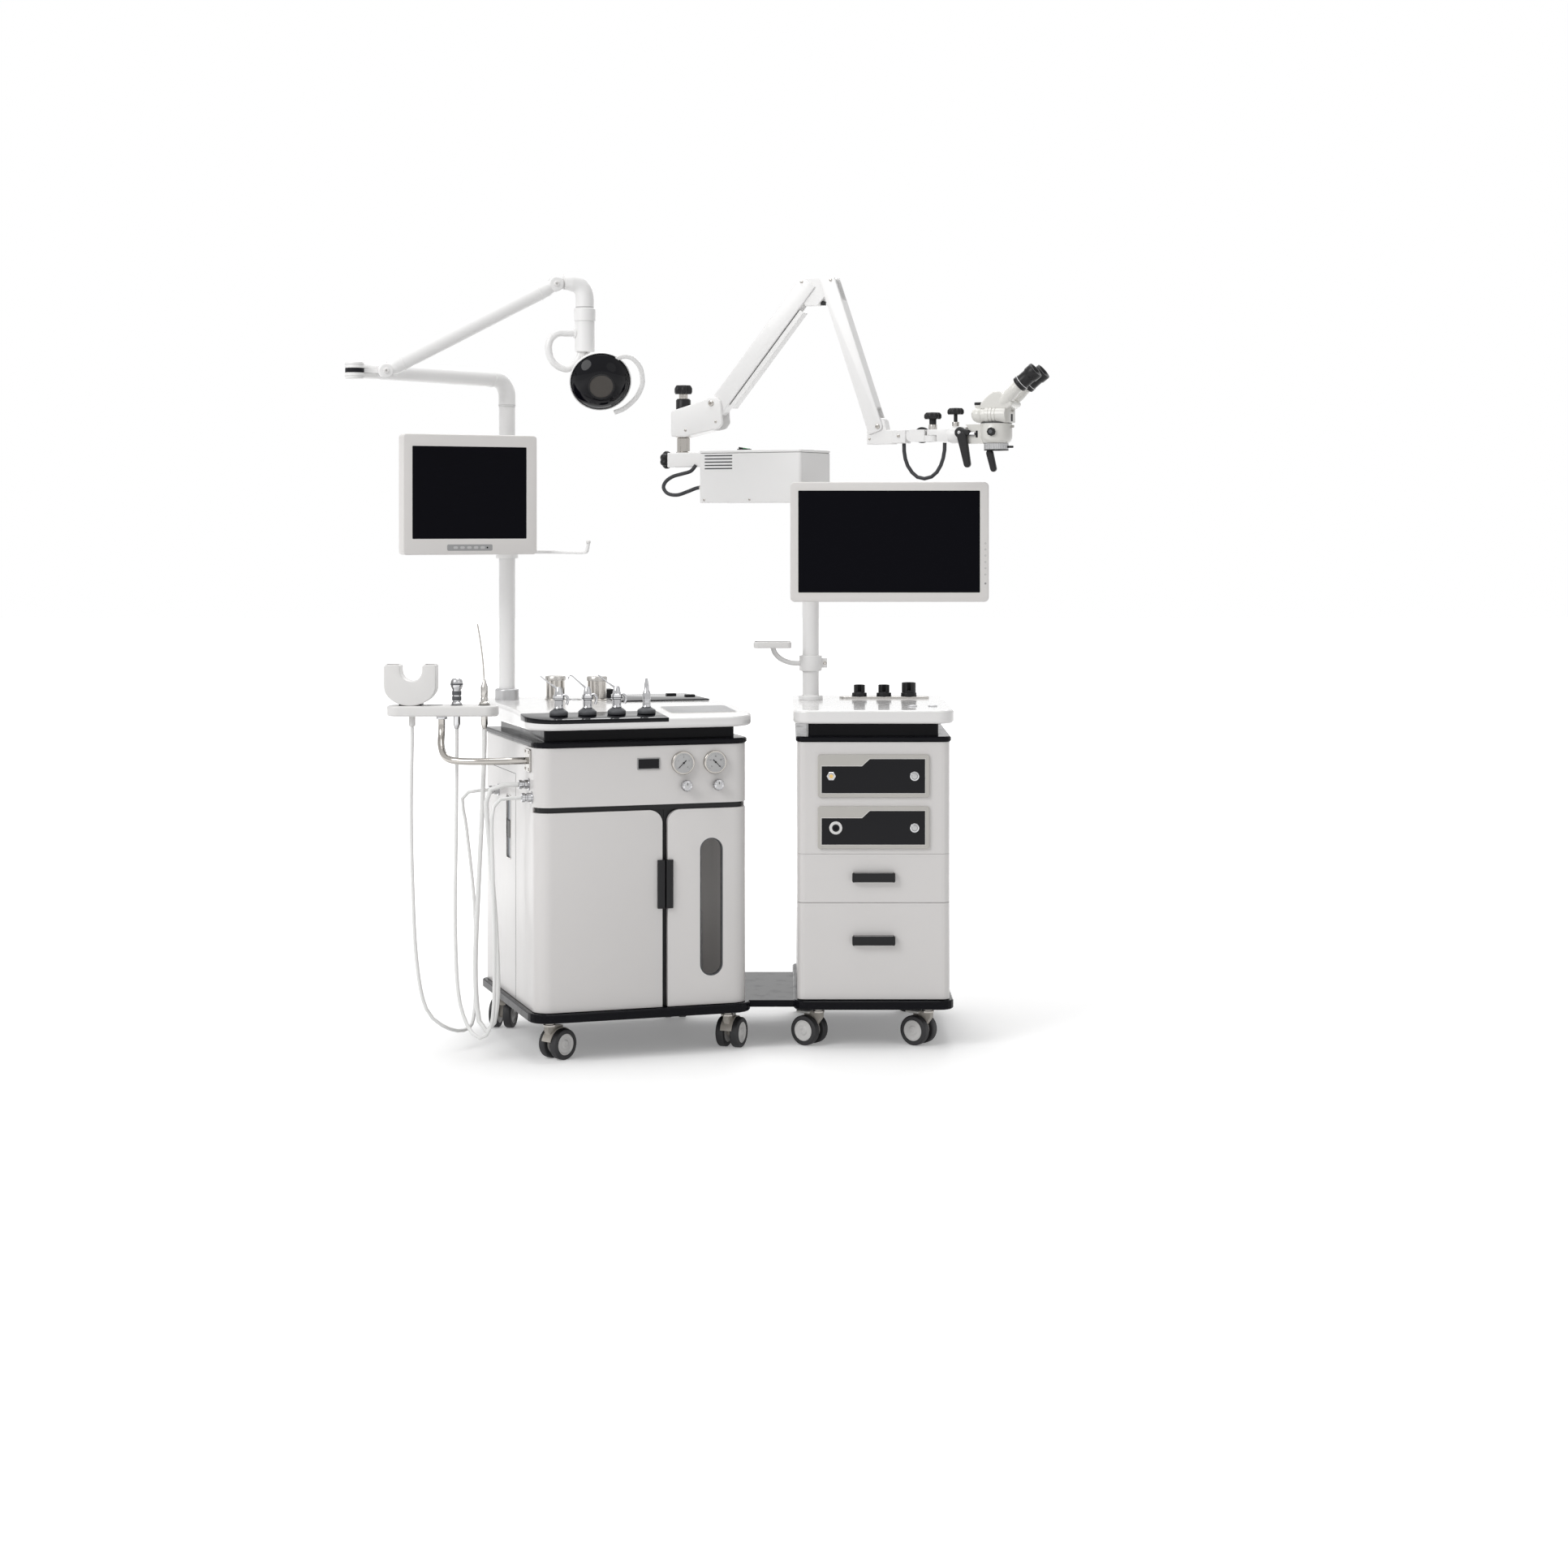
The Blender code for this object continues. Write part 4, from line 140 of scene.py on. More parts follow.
def tone_group() -> bpy.types.NodeTree:
    """Group that lets a colour and its roughness wander, with faint handling marks.

    Returns:
        The node tree.
    """
    name = "Tone Drift"
    if name in bpy.data.node_groups:
        return bpy.data.node_groups[name]
    tree = new_group(name, (("Color", "NodeSocketColor", (0.8, 0.8, 0.8, 1.0)),
                            ("Roughness", "NodeSocketFloat", 0.4), ("Amount", "NodeSocketFloat", 0.03),
                            ("Marks", "NodeSocketFloat", 0.1), ("Scale", "NodeSocketFloat", 5.0)),
                     (("Color", "NodeSocketColor"), ("Roughness", "NodeSocketFloat")))
    given = tree.nodes["in"].outputs
    out = tree.nodes["out"].inputs
    wide = noise(tree, given["Scale"], 3.0, (1.0, 1.0, 1.0))
    swing = maths(tree, "MULTIPLY", maths(tree, "SUBTRACT", wide, 0.5), given["Amount"])
    gain = maths(tree, "ADD", maths(tree, "MULTIPLY", swing, 2.0), 1.0)
    mixed = tree.nodes.new("ShaderNodeVectorMath")
    mixed.operation = "SCALE"
    tree.links.new(given["Color"], mixed.inputs[0])
    tree.links.new(gain, mixed.inputs["Scale"])
    tree.links.new(mixed.outputs[0], out["Color"])
    streak = noise(tree, 38.0, 5.0, (1.0, 1.0, 0.35))
    mark = maths(tree, "MULTIPLY", maths(tree, "MAXIMUM", maths(tree, "SUBTRACT", streak, 0.52), 0.0),
                 given["Marks"])
    rough = maths(tree, "ADD", given["Roughness"], maths(tree, "MULTIPLY", mark, 4.0))
    rough = maths(tree, "ADD", rough, swing)
    tree.links.new(maths(tree, "MINIMUM", maths(tree, "MAXIMUM", rough, 0.02), 1.0), out["Roughness"])
    return tree


def grain_group() -> bpy.types.NodeTree:
    """Group that gives a fine surface height: orange peel, moulded grain or brushed lines.

    Returns:
        The node tree.
    """
    name = "Fine Grain"
    if name in bpy.data.node_groups:
        return bpy.data.node_groups[name]
    tree = new_group(name,
                     (("Scale", "NodeSocketFloat", 900.0), ("Stretch", "NodeSocketVector", (1.0, 1.0, 1.0)),
                      ("Waviness", "NodeSocketFloat", 0.3)), (("Height", "NodeSocketFloat"),))
    given = tree.nodes["in"].outputs
    fine = noise(tree, given["Scale"], 2.0, given["Stretch"])
    slow = noise(tree, 14.0, 1.0, given["Stretch"])
    total = maths(tree, "ADD", fine, maths(tree, "MULTIPLY", slow, given["Waviness"]))
    tree.links.new(total, tree.nodes["out"].inputs["Height"])
    return tree


def placed(tree: bpy.types.NodeTree, group: bpy.types.NodeTree, **values: object) -> bpy.types.Node:
    """Adds a shader node group to a material.

    Args:
        tree: Tree that gets the node.
        group: The group.
        values: Value of each input that is set.

    Returns:
        The node.
    """
    node = tree.nodes.new("ShaderNodeGroup")
    node.node_tree = group
    for label, value in values.items():
        node.inputs[label].default_value = value
    return node


def seen(tree: bpy.types.NodeTree) -> bpy.types.NodeSocket:
    """Tells whether a ray shows the surroundings: straight, through glass or in a reflection.

    Args:
        tree: Tree that gets the nodes.

    Returns:
        1 on such rays and 0 on the others.
    """
    rays = tree.nodes.new("ShaderNodeLightPath").outputs
    straight = maths(tree, "MAXIMUM", rays["Is Camera Ray"], rays["Is Transmission Ray"])
    return maths(tree, "MAXIMUM", straight, rays["Is Glossy Ray"])


@dataclass(frozen=True)
class Finish:
    """One surface finish: its colour, gloss, grain and the way they wander."""

    name: str
    colour: Triple
    roughness: float
    metallic: float = 0.0
    coat: float = 0.0
    drift: float = 0.015
    marks: float = 0.08
    scale: float = 4.0
    grain: float = 900.0
    depth: float = 0.02
    bump: float = 0.15
    stretch: Triple = (1.0, 1.0, 1.0)
    wave: float = 0.3
    clear: float = 0.0
    soft: float = 0.0
    sheen: float = 0.5
    glow: float = 0.0

    def material(self) -> bpy.types.Material:
        """Builds the finish as a node material, or finds it if it is already there.

        Returns:
            The material.
        """
        if self.name in bpy.data.materials:
            return bpy.data.materials[self.name]
        made = bpy.data.materials.new(self.name)
        made.use_nodes = True
        made.diffuse_color = (*self.colour, 1.0)
        tree = made.node_tree
        shader = tree.nodes["Principled BSDF"]
        shader.inputs["Metallic"].default_value = self.metallic
        shader.inputs["Coat Weight"].default_value = self.coat
        shader.inputs["Coat Roughness"].default_value = 0.06
        shader.inputs["Transmission Weight"].default_value = self.clear
        shader.inputs["Specular IOR Level"].default_value = self.sheen
        if self.glow:
            shader.inputs["Emission Color"].default_value = (*self.colour, 1.0)
            shader.inputs["Emission Strength"].default_value = self.glow
        if self.soft:
            shader.inputs["Subsurface Weight"].default_value = self.soft
            shader.inputs["Subsurface Radius"].default_value = (0.004, 0.004, 0.004)
            shader.inputs["Subsurface Scale"].default_value = 1.0
        tone = placed(tree, tone_group(), Color=(*self.colour, 1.0), Roughness=self.roughness,
                      Amount=self.drift, Marks=self.marks, Scale=self.scale)
        grain = placed(tree, grain_group(), Scale=self.grain, Stretch=self.stretch, Waviness=self.wave)
        bump = tree.nodes.new("ShaderNodeBump")
        bump.inputs["Strength"].default_value = self.bump
        bump.inputs["Distance"].default_value = self.depth * MM
        tree.links.new(tone.outputs["Color"], shader.inputs["Base Color"])
        tree.links.new(tone.outputs["Roughness"], shader.inputs["Roughness"])
        tree.links.new(grain.outputs["Height"], bump.inputs["Height"])
        tree.links.new(bump.outputs["Normal"], shader.inputs["Normal"])
        return made


WHITE_LACQUER = Finish("white_lacquer", (0.70, 0.682, 0.672), 0.34, coat=0.25, grain=420.0, depth=0.03,
                       bump=0.25)
WHITE_GLOSS = Finish("white_gloss_top", (0.80, 0.79, 0.785), 0.16, coat=0.5, grain=300.0, depth=0.02)
WHITE_COAT = Finish("white_powder_coat", (0.82, 0.815, 0.81), 0.36, coat=0.15, grain=1500.0, depth=0.05,
                    bump=0.3)
WHITE_PLASTIC = Finish("white_moulded_plastic", (0.74, 0.73, 0.72), 0.40, grain=2200.0, depth=0.04,
                       bump=0.3)
WARM_BEZEL = Finish("warm_screen_bezel", (0.72, 0.70, 0.685), 0.42, grain=2200.0, depth=0.04, bump=0.35)
CREAM = Finish("cream_enamel", (0.70, 0.69, 0.655), 0.30, coat=0.3, grain=900.0, depth=0.03, bump=0.2)
BLACK_LAMINATE = Finish("black_gloss_laminate", (0.005, 0.005, 0.007), 0.14, marks=0.14, grain=500.0,
                        sheen=0.08)
BLACK_GLASS = Finish("black_glass", (0.003, 0.003, 0.005), 0.06, marks=0.05, drift=0.0, grain=100.0,
                     depth=0.005, sheen=0.16)
SCREEN = Finish("screen_panel", (0.0035, 0.0035, 0.0055), 0.24, marks=0.03, drift=0.02, grain=3000.0,
                depth=0.02, sheen=0.03)
BLACK_PLASTIC = Finish("black_moulded_plastic", (0.009, 0.009, 0.010), 0.36, grain=1600.0, depth=0.08,
                       bump=0.4, sheen=0.25)
BLACK_SHEATH = Finish("black_cable_sheath", (0.012, 0.013, 0.017), 0.50, grain=700.0, depth=0.25, bump=0.5)
TYRE = Finish("caster_tyre", (0.020, 0.020, 0.022), 0.55, grain=1200.0, depth=0.12, bump=0.5, marks=0.3)
HUB = Finish("caster_hub", (0.66, 0.65, 0.64), 0.42, grain=1200.0, depth=0.05, bump=0.3)
BEIGE = Finish("beige_nylon", (0.47, 0.44, 0.395), 0.45, grain=1300.0, depth=0.08, bump=0.4)
FRAME_BEIGE = Finish("beige_panel_frame", (0.50, 0.485, 0.455), 0.40, coat=0.1, grain=1100.0, depth=0.04,
                     bump=0.3)
PALE_RIM = Finish("pale_panel_rim", (0.72, 0.71, 0.68), 0.30, grain=900.0)
STEEL = Finish("brushed_steel", (0.46, 0.445, 0.425), 0.24, metallic=1.0, drift=0.03, marks=0.2,
               grain=160.0, stretch=(6.0, 6.0, 0.2), depth=0.03, bump=0.3, wave=0.0)
POLISHED = Finish("polished_steel", (0.42, 0.40, 0.375), 0.10, metallic=1.0, drift=0.03, marks=0.1,
                  grain=40.0, stretch=(4.0, 4.0, 0.3), depth=0.03, bump=0.2)
CHROME = Finish("chrome_plate", (0.46, 0.46, 0.47), 0.07, metallic=1.0, drift=0.02, marks=0.08, grain=200.0)
SILVER = Finish("silver_paint", (0.46, 0.46, 0.465), 0.34, metallic=0.55, grain=1800.0, depth=0.03,
                bump=0.3)
GREY_RUBBER = Finish("grey_rubber", (0.075, 0.078, 0.085), 0.55, grain=900.0, depth=0.1, bump=0.4)
GREY_PANEL = Finish("grey_control_panel", (0.36, 0.36, 0.365), 0.5, grain=1500.0, sheen=0.12)
GREY_KEY = Finish("grey_key", (0.52, 0.52, 0.525), 0.36, grain=1800.0)
GREY_MARK = Finish("grey_marking", (0.30, 0.30, 0.30), 0.5, grain=1500.0)
SOFT_SEAM = Finish("soft_seam", (0.40, 0.40, 0.40), 0.5, grain=900.0)
# Flat dark colour for seams, gaps, slots and vents: painted shade where the inside of each opening would
# be.
PAINTED_GAP_SHADE = Finish("painted_gap_shade", (0.06, 0.06, 0.062), 0.6, grain=900.0)
HOSE = Finish("milky_silicone", (0.80, 0.80, 0.79), 0.34, grain=300.0, depth=0.05, soft=0.4)
DIAL = Finish("dial_face", (0.52, 0.52, 0.52), 0.5, grain=2000.0, sheen=0.1)
# Dark ink for dial print and marks; also painted shade inside the knuckle's slot and the head's slots.
INK_AND_SLOT_SHADE = Finish("dial_ink_and_slot_shade", (0.012, 0.012, 0.015), 0.5, grain=2000.0, sheen=0.1)
BOTTLE = Finish("bottle_plastic", (0.16, 0.155, 0.155), 0.2, grain=400.0, sheen=0.3)
SMOKED = Finish("smoked_pane", (0.55, 0.52, 0.505), 0.03, drift=0.0, marks=0.02, grain=50.0, depth=0.002,
                clear=1.0, sheen=0.15)
# Glowing wall inside the cabinet: painted light, though nothing there is a lamp.
GLOWING_INNER_WALL = Finish("glowing_inner_wall", (0.40, 0.375, 0.36), 0.6, grain=900.0, glow=0.5)
GOLD = Finish("gilt_contact", (0.62, 0.43, 0.16), 0.28, metallic=1.0, grain=700.0)
GREEN = Finish("green_rocker", (0.01, 0.22, 0.06), 0.35, grain=900.0)
LENS = Finish("frosted_lens", (0.085, 0.078, 0.072), 0.45, grain=600.0, depth=0.2, bump=0.4, sheen=0.1)
BLUE_GREY = Finish("grey_handle", (0.30, 0.32, 0.345), 0.32, metallic=0.3, grain=1300.0)


def shown(name: str, data: bpy.types.ID) -> bpy.types.Object:
    """Puts data in the scene as an object.

    Args:
        name: Name of the object.
        data: Mesh, curve, camera or light that it shows.

    Returns:
        The object.
    """
    item = bpy.data.objects.new(name, data)
    bpy.context.scene.collection.objects.link(item)
    return item


def spin(degrees: float, axis: str = "Z") -> Matrix:
    """Turn about an axis through the origin.

    Args:
        degrees: Angle of the turn.
        axis: X, Y or Z.

    Returns:
        The matrix.
    """
    return Matrix.Rotation(math.radians(degrees), 4, axis)


class Facing(Enum):
    """The way that a form made about +Z points."""

    UP = (0.0, "X")
    DOWN = (180.0, "X")
    FRONT = (90.0, "X")
    BACK = (-90.0, "X")
    LEFT = (-90.0, "Y")
    RIGHT = (90.0, "Y")

    def at(self, x: float, y: float, z: float) -> Matrix:
        """Matrix, in millimetres, that turns +Z this way at a place.

        Args:
            x: Place along X.
            y: Place along Y.
            z: Height.

        Returns:
            The matrix.
        """
        angle, axis = self.value
        return Matrix.Translation((x, y, z)) @ spin(angle, axis)


# Forms, in millimetres
def form_of(verts: Sequence[Point], faces: Sequence[Sequence[int]]) -> Form:
    """Closed form from vertices and faces, with its normals out.

    Args:
        verts: Its corners.
        faces: Numbers of each face's corners.

    Returns:
        The form.
    """
    work = bmesh.new()
    made = [work.verts.new(v) for v in verts]
    for face in faces:
        work.faces.new([made[i] for i in face])
    bmesh.ops.recalc_face_normals(work, faces=work.faces)
    return work


def rings(levels: Sequence[Sequence[Point]]) -> Form:
    """Closed form through rings that hold equal numbers of points.

    Args:
        levels: Rings of points, in order.

    Returns:
        The form.
    """
    count = len(levels[0])
    verts = [point for level in levels for point in level]
    faces = [tuple(range(count))[::-1], tuple(range(len(verts) - count, len(verts)))]
    for row in range(len(levels) - 1):
        low = row * count
        for i in range(count):
            j = (i + 1) % count
            faces.append((low + i, low + j, low + count + j, low + count + i))
    return form_of(verts, faces)


def arc(x: float, y: float, radius: float, start: float, end: float, steps: int = 8) -> Outline:
    """Points on an arc between two angles in degrees.

    Args:
        x: Middle, along the first axis.
        y: Middle, along the second axis.
        radius: Its radius.
        start: Angle of the first point.
        end: Angle of the last point.
        steps: Number of steps.

    Returns:
        The points.
    """
    span = end - start
    angles = [math.radians(start + span * i / steps) for i in range(steps + 1)]
    return [(x + radius * math.cos(a), y + radius * math.sin(a)) for a in angles]


def rounded(bounds: Point, front: float, back: float, steps: int = 8) -> Outline:
    """Rectangle (x0, x1, y0, y1) whose low and high corners have these radii.

    Args:
        bounds: Its sides.
        front: Radius of the corners at y0.
        back: Radius of the corners at y1.
        steps: Steps in each corner.

    Returns:
        The outline.
    """
    x0, x1, y0, y1 = bounds
    outline = arc(x0 + front, y0 + front, front, 180, 270, steps)
    outline += arc(x1 - front, y0 + front, front, 270, 360, steps)
    outline += arc(x1 - back, y1 - back, back, 0, 90, steps)
    outline += arc(x0 + back, y1 - back, back, 90, 180, steps)
    return outline


def star(radius: float, lobes: int, depth: float, steps: int = 8) -> Outline:
    """Outline of a hand knob with rounded lobes.

    Args:
        radius: Reach of the lobes.
        lobes: Number of lobes.
        depth: Depth of the hollows.
        steps: Points on each lobe.

    Returns:
        The outline.
    """
    count = lobes * steps
    out = []
    for i in range(count):
        angle = 2 * math.pi * i / count
        reach = radius - depth * (0.5 - 0.5 * math.cos(lobes * angle)) ** 2
        out.append((reach * math.cos(angle), reach * math.sin(angle)))
    return out


def prism(outline: Outline, low: float, high: float) -> Form:
    """Upright prism on an outline seen from above.

    Args:
        outline: (x, y) points.
        low: Height of its foot.
        high: Height of its top.

    Returns:
        The form.
    """
    return rings([[(x, y, z) for x, y in outline] for z in (low, high)])


def plate(outline: Outline, near: float, far: float) -> Form:
    """Plate whose outline lies in X and Z, between two Y values.

    Args:
        outline: (x, z) points.
        near: Place of its front.
        far: Place of its back.

    Returns:
        The form.
    """
    return rings([[(x, y, z) for x, z in outline] for y in (near, far)])


def side_plate(outline: Outline, left: float, right: float) -> Form:
    """Plate whose outline lies in Y and Z, between two X values.

    Args:
        outline: (y, z) points.
        left: Place of its left face.
        right: Place of its right face.

    Returns:
        The form.
    """
    return rings([[(x, y, z) for y, z in outline] for x in (left, right)])


def box(x0: float, x1: float, y0: float, y1: float, z0: float, z1: float) -> Form:
    """Plain block between its lowest and highest corners.

    Args:
        x0: Left side.
        x1: Right side.
        y0: Front.
        y1: Back.
        z0: Foot.
        z1: Top.

    Returns:
        The form.
    """
    return prism([(x0, y0), (x1, y0), (x1, y1), (x0, y1)], z0, z1)


def lathe(profile: Outline, steps: int = 48, closed: bool = False) -> Form:
    """Form turned about +Z.

    Args:
        profile: (radius, height) points, which start and end on the axis unless closed.
        steps: Divisions round the axis.
        closed: True where the profile is a loop that stays off the axis.

    Returns:
        The form.
    """
    verts: list[Point] = []
    rows: list[list[int]] = []
    for radius, height in profile:
        if radius <= 0.0:
            rows.append([len(verts)] * steps)
            verts.append((0.0, 0.0, height))
            continue
        rows.append(list(range(len(verts), len(verts) + steps)))
        verts += [(radius * math.cos(2 * math.pi * i / steps), radius * math.sin(2 * math.pi * i / steps),
                   height) for i in range(steps)]
    pairs = list(zip(rows, rows[1:]))
    if closed:
        pairs.append((rows[-1], rows[0]))
    faces = []
    for low, high in pairs:
        for i in range(steps):
            j = (i + 1) % steps
            face = [low[i], low[j], high[j], high[i]]
            face = [v for k, v in enumerate(face) if v not in face[:k]]
            if len(face) > 2:
                faces.append(face)
    return form_of(verts, faces)


def drum(radius: float, low: float, high: float, edge: float = 0.0, steps: int = 48) -> Form:
    """Round drum about +Z with softened rims.

    Args:
        radius: Its radius.
        low: Its lower end.
        high: Its upper end.
        edge: Radius of its rims.
        steps: Divisions round it.

    Returns:
        The form.
    """
    if edge <= 0.0:
        return lathe([(0, low), (radius, low), (radius, high), (0, high)], steps)
    under = arc(radius - edge, low + edge, edge, 270, 360, 4)
    over = arc(radius - edge, high - edge, edge, 0, 90, 4)
    return lathe([(0, low)] + under + over + [(0, high)], steps)


def ring(inner: float, outer: float, low: float, high: float, edge: float = 0.6, steps: int = 48) -> Form:
    """Round ring about +Z with softened outer rims.

    Args:
        inner: Radius of its hole.
        outer: Its outer radius.
        low: Its lower end.
        high: Its upper end.
        edge: Radius of its outer rims.
        steps: Divisions round it.

    Returns:
        The form.
    """
    loop = [(inner, low)] + arc(outer - edge, low + edge, edge, 270, 360, 3)
    loop += arc(outer - edge, high - edge, edge, 0, 90, 3) + [(inner, high)]
    return lathe(loop, steps, closed=True)


def tube(points: Sequence[Point], radius: float | Sequence[float], steps: int = 20) -> Form:
    """Round bar along points.

    Args:
        points: Places that the bar's middle line passes.
        radius: One radius, or one for each point.
        steps: Divisions round the bar.

    Returns:
        The form.
    """
    path = [Vector(p) for p in points]
    radii = list(radius) if isinstance(radius, (list, tuple)) else [radius] * len(path)
    levels = []
    side = Vector()
    for i, (point, size) in enumerate(zip(path, radii)):
        way = (path[min(i + 1, len(path) - 1)] - path[max(i - 1, 0)]).normalized()
        side = way.orthogonal().normalized() if i == 0 else (side - way * side.dot(way)).normalized()
        other = way.cross(side)
        angles = [2 * math.pi * k / steps for k in range(steps)]
        levels.append([tuple(point + size * (math.cos(a) * side + math.sin(a) * other)) for a in angles])
    return rings(levels)


def smooth_route(points: Sequence[Point], spacing: float) -> list[Vector]:
    """Evenly spaced points on a smooth curve through the given ones.

    Args:
        points: Places that the curve passes.
        spacing: Wanted distance between the points.

    Returns:
        The points, from the first place to the last.
    """
    ctrl = [Vector(p) for p in points]
    ctrl = [2 * ctrl[0] - ctrl[1]] + ctrl + [2 * ctrl[-1] - ctrl[-2]]
    fine = []
    for a, b, c, d in zip(ctrl, ctrl[1:], ctrl[2:], ctrl[3:]):
        for i in range(24):
            t = i / 24
            fine.append(0.5 * ((2 * b) + (c - a) * t + (2 * a - 5 * b + 4 * c - d) * t * t
                               + (3 * b - a - 3 * c + d) * t ** 3))
    fine.append(ctrl[-2])
    total = sum((q - p).length for p, q in zip(fine, fine[1:]))
    count = max(2, round(total / spacing))
    out = [fine[0]]
    want = total / count
    run = 0.0
    for p, q in zip(fine, fine[1:]):
        run += (q - p).length
        if run >= want and len(out) < count:
            out.append(q)
            want += total / count
    out.append(fine[-1])
    return out


def moved(form: Form, matrix: Matrix) -> Form:
    """Moves a form by a matrix in millimetres.

    Args:
        form: Form to move.
        matrix: The matrix.

    Returns:
        The form.
    """
    bmesh.ops.transform(form, matrix=matrix, verts=form.verts)
    return form


def across(radius: float, near: float, far: float, x: float, z: float, edge: float = 0.0,
           steps: int = 48) -> Form:
    """Round drum whose axis runs from front to back.

    Args:
        radius: Its radius.
        near: Its front end, from the middle plane.
        far: Its back end, from the middle plane.
        x: Place of its axis along X.
        z: Height of its axis.
        edge: Radius of its rims.
        steps: Divisions round it.

    Returns:
        The form.
    """
    return moved(drum(radius, near, far, edge, steps), Facing.FRONT.at(x, 0, z))


def mesh_of(form: Form, name: str) -> bpy.types.Mesh:
    """Turns a form into a mesh and frees it.

    Args:
        form: Form to turn.
        name: Name of the mesh.

    Returns:
        The mesh.
    """
    mesh = bpy.data.meshes.new(name)
    form.to_mesh(mesh)
    form.free()
    return mesh


def result_of(item: bpy.types.Object) -> Form:
    """Form of an object after its modifiers.

    Args:
        item: Object in the scene.

    Returns:
        The form.
    """
    graph = bpy.context.evaluated_depsgraph_get()
    mesh = bpy.data.meshes.new_from_object(item.evaluated_get(graph), depsgraph=graph)
    made = bmesh.new()
    made.from_mesh(mesh)
    return made


def merged(*forms: Form) -> Form:
    """Puts several closed forms into one piece.

    Args:
        forms: The forms.

    Returns:
        The first form, which then holds them all.
    """
    base = forms[0]
    for other in forms[1:]:
        mesh = mesh_of(other, "part")
        base.from_mesh(mesh)
        bpy.data.meshes.remove(mesh)
    return base


def bevelled(form: Form, width: float, segments: int = 3, angle: float = 32.0) -> Form:
    """Rounds every edge of a form that is sharper than an angle in degrees.

    Args:
        form: Form to round.
        width: Radius of its edges.
        segments: Divisions of each edge.
        angle: The angle.

    Returns:
        The form.
    """
    form.normal_update()
    sharp = [e for e in form.edges if len(e.link_faces) == 2 and e.calc_face_angle(0.0) > math.radians(
        angle)]
    bmesh.ops.bevel(form, geom=sharp, offset=width, segments=segments, profile=0.5, affect="EDGES",
                    clamp_overlap=True)
    return form


def crowned(form: Form, low: float, high: float, profile: Outline) -> Form:
    """Bends a level top to a profile.

    Args:
        form: Form to bend.
        low: Height under which nothing moves.
        high: Height of its level top.
        profile: (y, height) points that the top then passes.

    Returns:
        The form.
    """
    for level in profile[1:-1]:
        parts = form.verts[:] + form.edges[:] + form.faces[:]
        bmesh.ops.bisect_plane(form, geom=parts, plane_co=(0.0, level[0], 0.0), plane_no=(0.0, 1.0, 0.0))
    for vert in form.verts:
        for (y0, z0), (y1, z1) in zip(profile, profile[1:]):
            if vert.co.y <= y1 or (y1, z1) == profile[-1]:
                wanted = z0 + (z1 - z0) * (vert.co.y - y0) / (y1 - y0)
                break
        share = min(1.0, max(0.0, (vert.co.z - low) / (high - low)))
        vert.co.z += share * (wanted - high)
    return form


def shaped(kind: str, base: Form, *tools: Form) -> Form:
    """Joins tools to a form or cuts them from it.

    Args:
        kind: UNION or DIFFERENCE.
        base: Form to work on.
        tools: Forms to add or take away.

    Returns:
        The new form.
    """
    objects = [shown("work", mesh_of(form, "work")) for form in (base, *tools)]
    first = objects[0]
    for tool in objects[1:]:
        step = first.modifiers.new("step", "BOOLEAN")
        step.operation = kind
        step.solver = "EXACT"
        step.object = tool
    made = result_of(first)
    bmesh.ops.remove_doubles(made, verts=made.verts, dist=0.005)
    for item in objects:
        bpy.data.objects.remove(item, do_unlink=True)
    return made


def cut(base: Form, *tools: Form) -> Form:
    """Takes tools away from a form.

    Args:
        base: Form to cut.
        tools: Forms to take away.

    Returns:
        The new form.
    """
    return shaped("DIFFERENCE", base, *tools)


def fused(base: Form, *tools: Form) -> Form:
    """Joins tools to a form as one skin.

    Args:
        base: First form.
        tools: Forms to add.

    Returns:
        The new form.
    """
    return shaped("UNION", base, *tools)


def numeral(text: str, size: float, matrix: Matrix) -> Form:
    """Flat figure for a dial, made from the built-in plain typeface.

    Args:
        text: Figure to draw.
        size: Height of the type.
        matrix: Place of the figure's middle, in millimetres.

    Returns:
        The form.
    """
    curve = bpy.data.curves.new("figure", "FONT")
    curve.body = text
    curve.size = size
    curve.extrude = 0.12
    curve.align_x = "CENTER"
    curve.align_y = "CENTER"
    item = shown("figure", curve)
    made = result_of(item)
    bpy.data.objects.remove(item, do_unlink=True)
    return moved(made, matrix)


